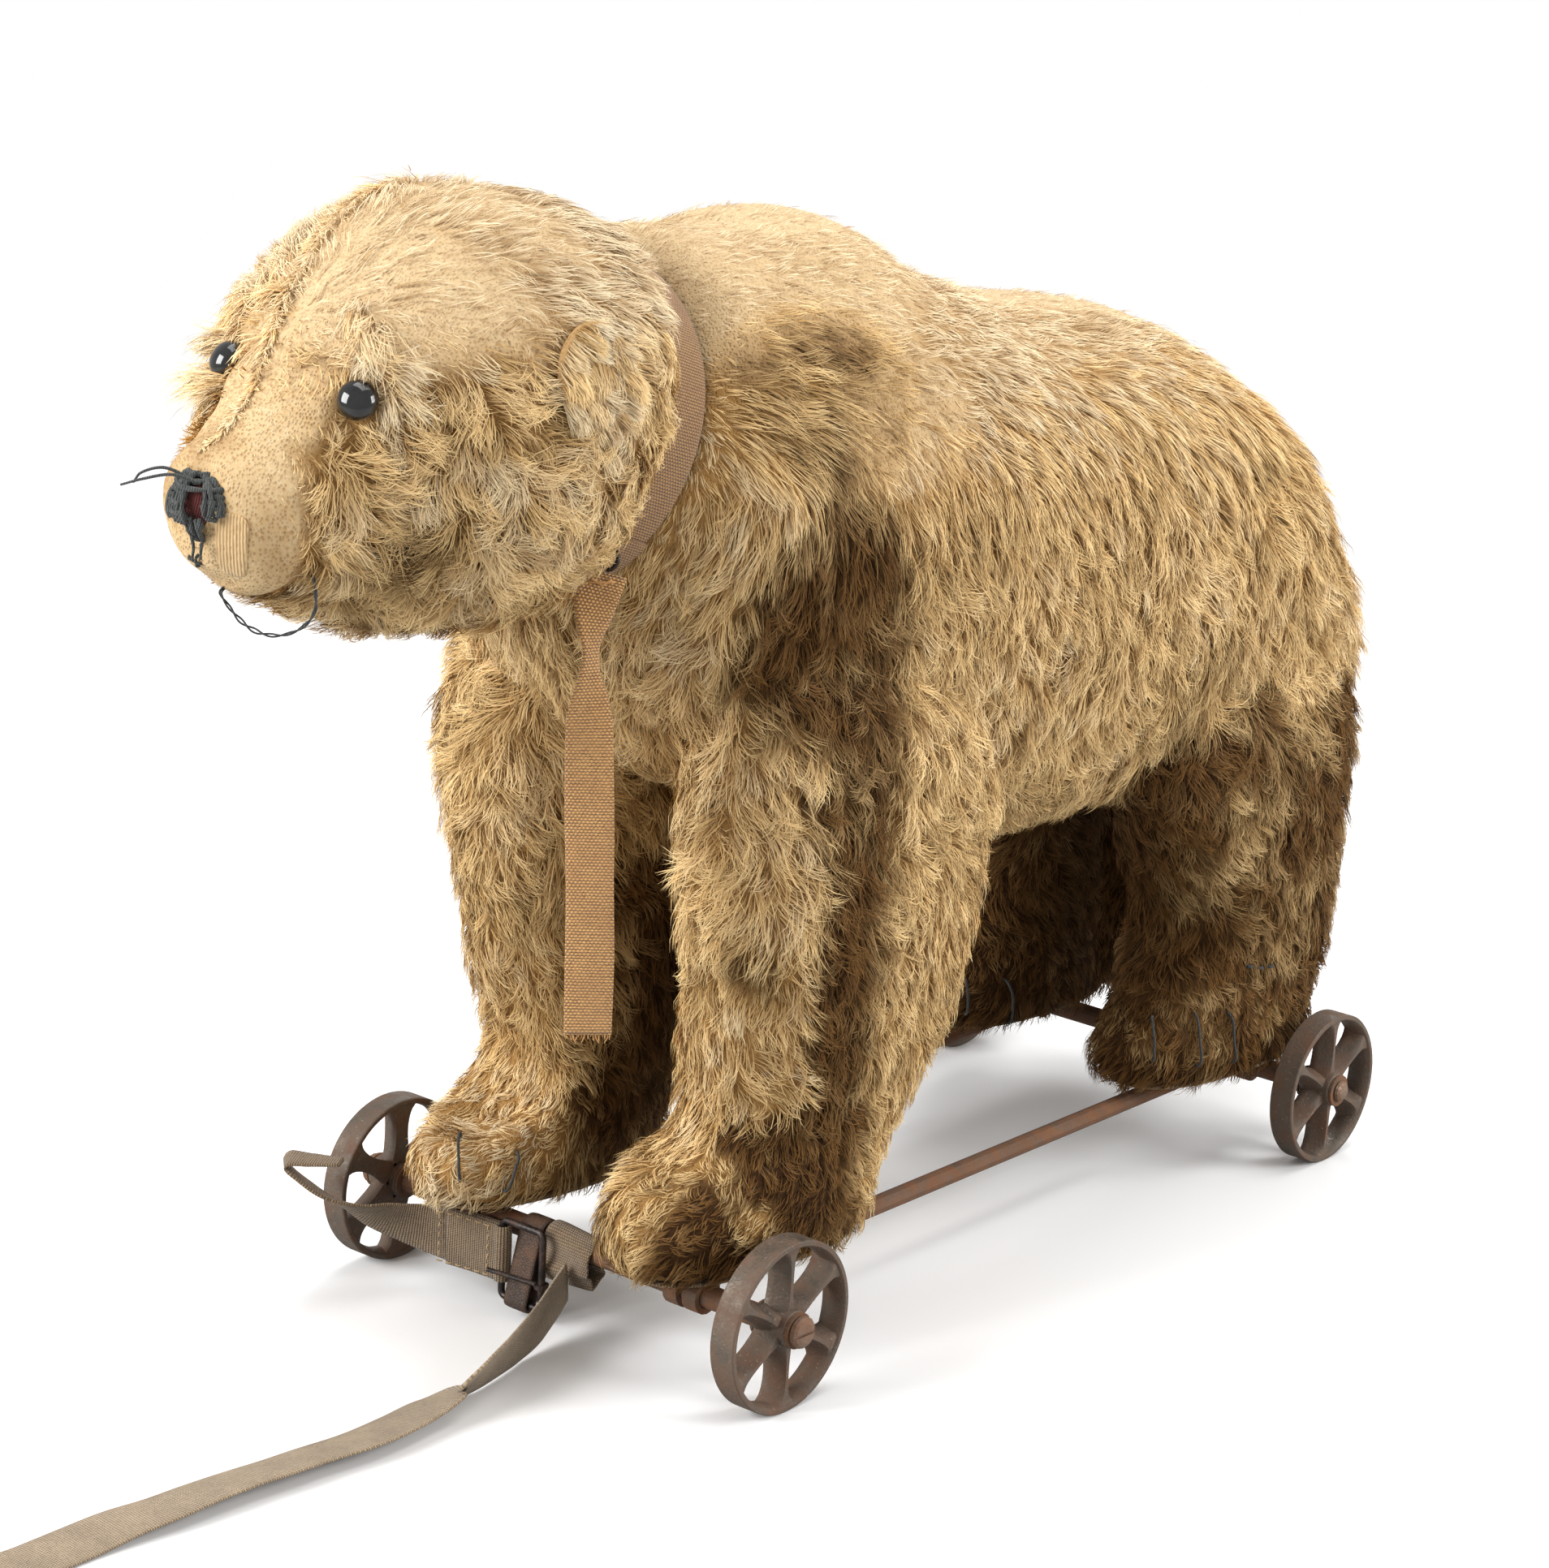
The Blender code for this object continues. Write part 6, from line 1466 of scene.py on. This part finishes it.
SEAM = [
    (-20, -288, 466), (-25, -300, 461), (-23, -311, 456), (-21, -319, 453), (-19, -328, 448), (-17, -336, 443),
    (-13, -345, 437), (-11, -351, 432), (-8, -362, 422), (-6, -368, 415), (-3, -374, 407), (0, -381, 401),
    (2, -389, 394), (1, -396, 386), (-1, -399, 380)]
line, line_out = seated(smooth_rows(SEAM, 70), head_skin, 0.3)
t = np.linspace(0, 1, 70)
line = line + 0.5 * (cloud(line, 4.0, 7) - 0.5)[:, None] * X
thick = 1.5 * (1 - step_up(t, 0.32, 0.62)) + 0.55
seam_ridge = skin("seam_ridge", [tube(line + SHIFT, thick * (0.85 + 0.3 * cloud(line, 3.0, 9)), 12)])
set_attribute(seam_ridge.data, "soil_and_shade", np.full(len(seam_ridge.data.vertices), 0.1))
set_attribute(seam_ridge.data, "furred", np.full(len(seam_ridge.data.vertices), 0.12))
finish_piece(seam_ridge, ground_cloth, "head", ())
print("seam length in mm:", round(run_length(line)[-1], 1))

# %% [markdown]
# Hair that was caught in the seam still stands along it, and a few tufts are left on the brow, longer than
# the worn coat beside them. Both come from the same function as the coat.

# %% Fringe and tufts
SEAM_HAIRS, BROW_HAIRS = 1900, 2200
pick = np.random.default_rng(22).integers(0, 69, int(SEAM_HAIRS * FUR))
jitter = np.random.default_rng(23).normal(size=(len(pick), 3))
roots = line[pick] + SHIFT + 1.2 * jitter * (1.3 - t[pick])[:, None]
out = unit(line_out[pick] + 0.25 * jitter)
nap = unit(np.gradient(line, axis=0))[pick] * 0.8 + 0.55 * X * np.sign(jitter[:, :1]) - 0.4 * Z
fringe = hairs(roots, out, unit(nap - (nap * out).sum(1)[:, None] * out), 3.5 + 5.0 * (1 - t[pick]),
               np.full(len(pick), 0.2), np.full(len(pick), 0.6), 24, lock=5.0, rise=0.5)
fringe["tone"] = 0.4 + 0.6 * fringe["tone"]
fur_piece("fur_seam", fringe, np.ones(len(pick), bool), "head")
TUFTS = np.array([(21, -350, 430, 9, -6, -26), (30, -351, 424, 12, -4, -16), (40, -354, 414, 14, 2, -10),
                  (45, -358, 404, 14, 4, -10), (-16, -352, 433, -8, -2, -14), (-30, -350, 425, -8, -6, -16),
                  (-36, -355, 412, -12, -4, -12), (-36, -362, 400, -12, -6, -10), (-27, -377, 401, -9, -5, -8),
                  (33, -357, 424, 3, -8, -20), (36, -356, 422, 5, -8, -20)], float)
pick = np.random.default_rng(31).integers(0, len(TUFTS), int(BROW_HAIRS * FUR))
jitter = np.random.default_rng(32).normal(size=(len(pick), 3))
spots, spot_out = seated(TUFTS[:, :3], head_skin, 0.0)
level = np.ones(len(pick))
tuft = hairs(spots[pick] + SHIFT + 1.7 * jitter, unit(spot_out[pick] + 0.2 * jitter),
             unit(TUFTS[pick, 3:] + 1.5 * jitter), 15.0 * level, 0.15 * level, 0.6 * level, 33, lock=6.0)
tuft["tone"] = 0.35 + 0.65 * tuft["tone"]
fur_piece("fur_brow", tuft, level > 0, "head")
print("tufts on the brow:", len(TUFTS))

# %% [markdown]
# The muzzle was mended with a small darned patch, close rows of thread that follow its curve. The dark
# stitches are short threads which dive into the cloth at both ends.

# %% Darned patch and stitches
PATCH_LINE = [(16, -401, 365), (14, -399, 354), (11.5, -396.5, 343)]
patch_line, patch_out = seated(smooth_rows(PATCH_LINE, 24), head_skin, 0.0)
patch = strap_piece("darned_patch", patch_line, np.cross(patch_out, unit(np.gradient(patch_line, axis=0))),
                    np.linspace(13.0, 9.5, 24) * (1 - 0.55 * np.linspace(-1, 1, 24) ** 8), 0.6)
finish_piece(patch, darning, "head", ())


def stitches(name, rows, base, radius, proud, body):
    """Short threads that dive into a skin at both ends, each from a list of points."""
    parts = []
    for points in rows:
        path, out = seated(smooth_rows(np.array(points, float), 16), base, proud)
        dive = np.abs(np.linspace(-1, 1, 16)) ** 6
        parts.append(tube(path - out * (dive * (proud + 1.5))[:, None] + SHIFT, radius, 7))
    return finish_piece(skin(name, parts), black_thread, body, ())


stitches("paw_stitches", [
    [(-49, -215, 75), (-45, -218, 67), (-42.5, -221, 58)], [(-31, -201, 69), (-31.5, -204.5, 62), (-34, -207, 53)],
    [(63.7, 113, 78), (68.5, 108, 69), (71, 105, 58.8)], [(77, 125.6, 80.6), (79.8, 123.8, 68), (81.4, 124, 55)],
    [(85, 141.5, 79), (87, 140.7, 66), (86, 145.7, 53)], [(-38.6, 110, 70), (-37.5, 109, 61), (-36.7, 108, 53)],
    [(-29.2, 126, 69), (-30.5, 129, 58), (-31.6, 132, 47)]], body_skin, 0.6, 5.0, "chassis")
stitches("leg_stitches", [
    [(86.5, 151, 98.4), (87.5, 153, 98.2), (88, 154.5, 97.8)],
    [(88.4, 157, 97), (89.1, 159.3, 96.5), (89.3, 161, 96.3)],
    [(89.6, 164, 96), (89.7, 166, 95.9), (89.8, 168, 95.8)]], body_skin, 0.7, 3.0, "chassis")
stitches("chin_stitch", [
    [(-4.5, -403, 347), (-1.5, -403.5, 346.4), (2, -403, 345)], [(0.5, -402, 349), (0, -403, 345.5), (-1, -403, 343)]],
    head_skin, 0.55, 0.9, "head")
print("patch length in mm:", round(run_length(patch_line)[-1], 1))

# %% [markdown]
# ## Felt soles and the collar
# Each sole is a felt patch on the underside of a paw. The collar is one length of ribbed webbing whose ends
# overlap under the ring, so it is made as an open band that goes a little more than once round the neck.

# %% Soles
for table, end in ((FRONT_LEG, "front"), (REAR_LEG, "rear")):
    for side_name, hand in (("left", 1), ("right", -1)):
        _, x, y, half, ahead_of, behind = table[-1]
        profile = np.array([(-0.3, 0.02), (-0.3, 0.99), (-0.7, 1.0), (-1.5, 1.0), (-1.9, 0.985), (-1.9, 0.02)])
        rings = []
        for height, share in profile:
            rings.append(oval_rings(
                np.array([[hand * x, y, SOLE_Z + height]]), X, Y[None], np.array([half - 1.0]) * share,
                np.array([behind - 1.0]) * share, np.array([ahead_of - 1.0]) * share, 72, [2.3])[0])
        sole = skin(f"felt_sole_{end}_{side_name}", [tube_arrays(np.array(rings) + SHIFT)], smooth=False)
        finish_piece(sole, sole_felt, "chassis", (f"sole_{end}_{side_name}",))
print("sole thickness in mm:", round(float(np.ptp(profile[:, 0])), 1))

# %% Collar and its ring
NECK_UP = np.array([0.0, math.sin(NECK_TILT), math.cos(NECK_TILT)])
COLLAR_R, COLLAR_W, COLLAR_T = 63.6, 18.5, 1.6
RING_TURN = math.radians(-44.0)
turn = RING_TURN + np.linspace(-0.16, 2 * math.pi + 0.12, 300)
reach = COLLAR_R + 1.7 * step_up(turn, turn[-1] - 0.36, turn[-1] - 0.28) + 0.35 * np.sin(5 * turn)
spoke = np.cos(turn)[:, None] * X + np.sin(turn)[:, None] * NECK_UP
band_route = NECK + reach[:, None] * spoke + (0.7 * np.sin(3 * turn))[:, None] * NECK_AXIS
collar_band = strap_piece("collar_band", band_route, np.broadcast_to(NECK_AXIS, band_route.shape), COLLAR_W,
                           COLLAR_T)
finish_piece(collar_band, collar_tape, "chassis", ("collar",))
RING = np.array([49.917, -249.367, 334.376])
outside = math.cos(RING_TURN) * X + math.sin(RING_TURN) * NECK_UP
turn = np.linspace(0, 2 * math.pi, 48, endpoint=False)[:, None, None]
small = np.linspace(0, 2 * math.pi, 12, endpoint=False)[None, :, None]
spoke = np.cos(turn) * outside + np.sin(turn) * np.cross(NECK_AXIS, outside)
ring = skin("collar_wire_ring", [tube_arrays(
    RING + SHIFT + spoke * (4.0 + 0.8 * np.cos(small)) + NECK_AXIS * 0.8 * np.sin(small), closed=True)])
finish_piece(ring, dark_wire, "chassis", ("collar_ring",))
print("collar length in mm:", round(run_length(band_route)[-1], 1))

# %% [markdown]
# ## Loop, chape, buckle and the short strap
# A belt round two pins follows both circles and the straight lines between them. For each direction, the
# belt touches the pin that reaches farther that way; joining those touching points gives the outline.


# %% Belts on the front axle
def belt_route(near, near_r, far, far_r, count=120):
    """Outline round two circles in the YZ plane: in each direction the farther reach of the two."""
    turn = np.linspace(0, 2 * math.pi, 720, endpoint=False)
    ray = np.stack([np.cos(turn), np.sin(turn)], axis=1)
    near, far = np.array(near, float), np.array(far, float)
    first = (ray @ near + near_r) > (ray @ far + far_r)
    spots = np.where(first[:, None], near + near_r * ray, far + far_r * ray)
    start = int(np.argmax(ray @ unit(near - far)))
    spots = np.roll(spots, -start, axis=0)
    spots = np.vstack([spots, spots[:1]])
    run = run_length(spots)
    at = np.linspace(0, run[-1], count)
    return np.stack([0 * at, np.interp(at, run, spots[:, 0]), np.interp(at, run, spots[:, 1])], axis=1)


WHEEL_R = 35.0
AXLE, AXLE_R = (-AXLE_Y, WHEEL_R), 5.05
CHAPE_BAR = (-206.5, 7.5)
low = (AXLE[0] - 3.4, AXLE[1] - 11.5)
route = belt_route(AXLE, AXLE_R + 0.85, low, 2.5 + 0.85) + [-0.5, 0, 0]
crumple = 1.1 * np.sin(np.linspace(0, 2 * math.pi, len(route)) * 5) * step_up(-route[:, 2], -31, -24)
route = route + crumple[:, None] * Y
sideways = unit(X + np.stack([0 * crumple, 0.10 * np.sin(route[:, 2] / 3), 0.16 * np.cos(route[:, 2] / 4)], axis=1))
loop = strap_piece("strap_loop", route, sideways, 24.6, 1.6)
finish_piece(loop, old_webbing, "chassis", ("pull_strap_loop",))
route = belt_route(AXLE, AXLE_R + 0.8, CHAPE_BAR, 1.8 + 0.8) + [-21.2, 0, 0]
chape = strap_piece("leather_chape", route, np.broadcast_to(X, route.shape), 12.0, 1.6)
finish_piece(chape, leather, "chassis", ("buckle_chape",))
print("belts made:", loop.name, chape.name)

# %% [markdown]
# The buckle's frame is one wire bent round four corners. Each corner is a short curve between two straight
# sides, and a ring carried along the closed line gives the wire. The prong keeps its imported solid.

# %% Buckle
corners = np.array([(-31.5, 7.5), (-9.5, 7.5), (-9.5, 40.5), (-31.5, 40.5)])
bends = []
for k in range(4):
    before, here, after = corners[k - 1], corners[k], corners[(k + 1) % 4]
    share = np.linspace(0, 1, 9)[:, None]
    a, b = here + 3.0 * unit(before - here), here + 3.0 * unit(after - here)
    bends.append((1 - share) ** 2 * a + 2 * share * (1 - share) * here + share**2 * b)
frame_line = np.vstack(bends)
frame_line = np.stack([frame_line[:, 0], 0 * frame_line[:, 0] + CHAPE_BAR[0], frame_line[:, 1]], axis=1)
ahead_way = unit(np.roll(frame_line, -1, axis=0) - np.roll(frame_line, 1, axis=0))
inward = np.cross(ahead_way, Y)
turn = np.linspace(0, 2 * math.pi, 12, endpoint=False)[None, :, None]
wire = skin("buckle_wire", [tube_arrays(
    frame_line[:, None] + SHIFT + 1.5 * (np.cos(turn) * inward[:, None] + np.sin(turn) * Y), closed=True)])
finish_piece(wire, dark_wire, "chassis", ("buckle_frame",))
dress("buckle_prong", dark_wire)
print("bends of the buckle:", len(bends))

# %% [markdown]
# The short strap is doubled round the side of the buckle's frame and sewn down with a frame of pale
# stitches. Its other end goes off to the bear's right, twists and curls up to a narrow tip.

# %% Short buckle strap with its stitching
BUCKLE_ROUTE = [
    (-33.6, -206.5, 26, 0, 0, 1, 24.4), (-45, -207.5, 26.2, 0, 0, 1, 24.4), (-57, -209.5, 26.4, 0, -.05, 1, 23.8),
    (-69, -212.5, 27, 0, -.12, 1, 22), (-80, -220, 29.5, .10, -.45, .9, 20), (-89, -233, 35.5, .25, -.75, .6, 18),
    (-97, -246, 43.5, .55, -.75, .3, 17), (-104.5, -253, 51, .75, -.62, .1, 15), (-108, -255, 54.8, .75, -.64, 0, 13),
    (-106, -254.5, 57.8, .70, -.64, -.1, 11), (-97.5, -251.5, 59, .66, -.66, -.2, 8),
    (-83.5, -247.5, 61, .66, -.66, -.2, 5)]
rows = smooth_rows(BUCKLE_ROUTE, 130)
buckle_strap = strap_piece("buckle_strap_webbing", rows[:, :3], rows[:, 3:6], rows[:, 6], 1.7)
finish_piece(buckle_strap, old_webbing, "chassis", ("buckle_strap",))
turn = np.radians(np.linspace(-118, 118, 40))
eye_turn = np.stack([-31.5 + 2.9 * np.cos(turn), -206.5 + 2.9 * np.sin(turn), 0 * turn + 26.0], axis=1)
front = smooth_rows(BUCKLE_ROUTE[:4], 50)[:, :3] + [0, -1.9, 0]
back = smooth_rows(BUCKLE_ROUTE[:3], 30)[:, :3] + [0, 1.9, 0]
doubled = np.vstack([front[:34][::-1], eye_turn, back[:20]])
fold = strap_piece("buckle_strap_fold", doubled, np.broadcast_to(Z, doubled.shape), 24.0, 1.5)
finish_piece(fold, old_webbing, "chassis", ())
parts = []
for x0, z0, x1, z1 in [(-36.5 - 4.6 * k, 36.8, -39.3 - 4.6 * k, 36.8) for k in range(6)] + [
        (-36.5 - 4.6 * k, 15.4, -39.3 - 4.6 * k, 15.4) for k in range(6)] + [
        (-37.0, 17.5 + 4.2 * k, -37.2, 20.2 + 4.2 * k) for k in range(5)] + [
        (-61.0, 17.0 + 4.2 * k, -60.8, 19.7 + 4.2 * k) for k in range(5)]:
    x = np.linspace(x0, x1, 10)
    hump = np.sin(np.linspace(0, math.pi, 10))
    y = np.interp(x, front[::-1, 0], front[::-1, 1]) - 0.45 - 0.5 * hump
    parts.append(tube(np.stack([x, y, np.linspace(z0, z1, 10)], axis=1) + SHIFT, 0.33, 6))
finish_piece(skin("buckle_strap_stitches", parts), seam_thread, "chassis", ())
print("stitches on the strap:", len(parts))

# %% [markdown]
# ## Cast wheels
# A foundry wheel has a rim that is thin at its faces and thicker in the middle, a hub that stands a little
# proud, and six spokes with a ridge along the front that widen into the rim, so that the openings look
# like rounded triangles. The spokes are lofts whose widths follow a spline from hub to rim.

# %% Wheels
RIM_W, HUB_R, SPOKE_END_R, WHEEL_X = 11.7, 7.6, 33.6, 111.4


def spoke_rings(turn):
    """Sections of a spoke from hub to rim: a wide back and a narrow ridge, both widened at the ends."""
    shares = np.array([-0.16, 0.02, 0.18, 0.42, 0.66, 0.86, 0.97, 1.05])
    backs = np.array([6.6, 5.6, 4.4, 3.6, 3.9, 5.6, 8.6, 12.0])
    ridges = np.array([3.4, 2.3, 1.5, 1.1, 1.3, 2.4, 4.6, 7.0])
    fine = np.linspace(shares[0], shares[-1], 22)
    row = spline(shares, np.stack([shares, backs, ridges], axis=1), fine)
    out = np.array([0.0, math.cos(turn), math.sin(turn)])
    across = np.array([0.0, -math.sin(turn), math.cos(turn)])
    outline = np.array([
        (-10.7, -0.8), (-10.7, 0.8), (-10.4, 0.97), (-9.2, 1.0), (-7.2, 0.86), (-4.0, 0.0), (-1.6, -1.0), (-0.9, -2.0),
        (-0.9, -3.0), (-1.6, -4.0), (-4.0, -5.0), (-7.2, -0.86), (-9.2, -1.0), (-10.4, -0.97)])
    depth = outline[:, 0]
    wide = np.zeros((len(row), len(outline)))
    wide[:, [0, 1, 2, 3, 4, 11, 12, 13]] = row[:, 1:2] * outline[[0, 1, 2, 3, 4, 11, 12, 13], 1]
    for column, share in ((5, 1.35), (6, 1.0), (7, 0.7)):
        wide[:, column] = row[:, 2] * share
        wide[:, 15 - column] = -row[:, 2] * share
    foot = out * (HUB_R + (32.6 - HUB_R) * row[:, :1])
    rings = foot[:, None] + depth[None, :, None] * X + wide[..., None] * across
    rings[..., 1:] *= np.minimum(1.0, SPOKE_END_R / np.linalg.norm(rings[..., 1:], axis=2))[..., None]
    return rings


rim = [(-0.5, WHEEL_R), (0.0, 34.6), (0.0, 33.0), (-0.5, 32.5), (-3.5, 31.7), (-5.85, 31.4), (-8.2, 31.7),
       (-11.2, 32.5), (-RIM_W, 33.0), (-RIM_W, 34.6), (-11.2, WHEEL_R), (-RIM_W / 2, WHEEL_R)]
hub = [(-13.7, 3.5), (-13.7, 7.2), (-13.2, HUB_R), (1.3, HUB_R), (2.0, 7.0), (2.0, 3.5)]
for end, y in (("front", -AXLE_Y), ("rear", AXLE_Y)):
    for side_name, hand in (("left", 1.0), ("right", -1.0)):
        parts = [turned(rim, np.zeros(3), X, 144, closed=True), turned(hub, np.zeros(3), X, 56, closed=True)]
        parts += [tube_arrays(spoke_rings(2 * math.pi * (k + 0.5) / 6)) for k in range(6)]
        shape = [((points * [hand, 1, 1]) + [hand * WHEEL_X, y, WHEEL_R] + SHIFT, sizes, corners)
                 for points, sizes, corners in parts]
        wheel = skin(f"spoked_{end}_{side_name}", shape)
        wheel.data.set_sharp_from_angle(angle=math.radians(38))
        finish_piece(wheel, cast_iron, f"wheel_{end}_{side_name}", (f"wheel_{end}_{side_name}",))
print("places in a wheel:", len(wheel.data.vertices))
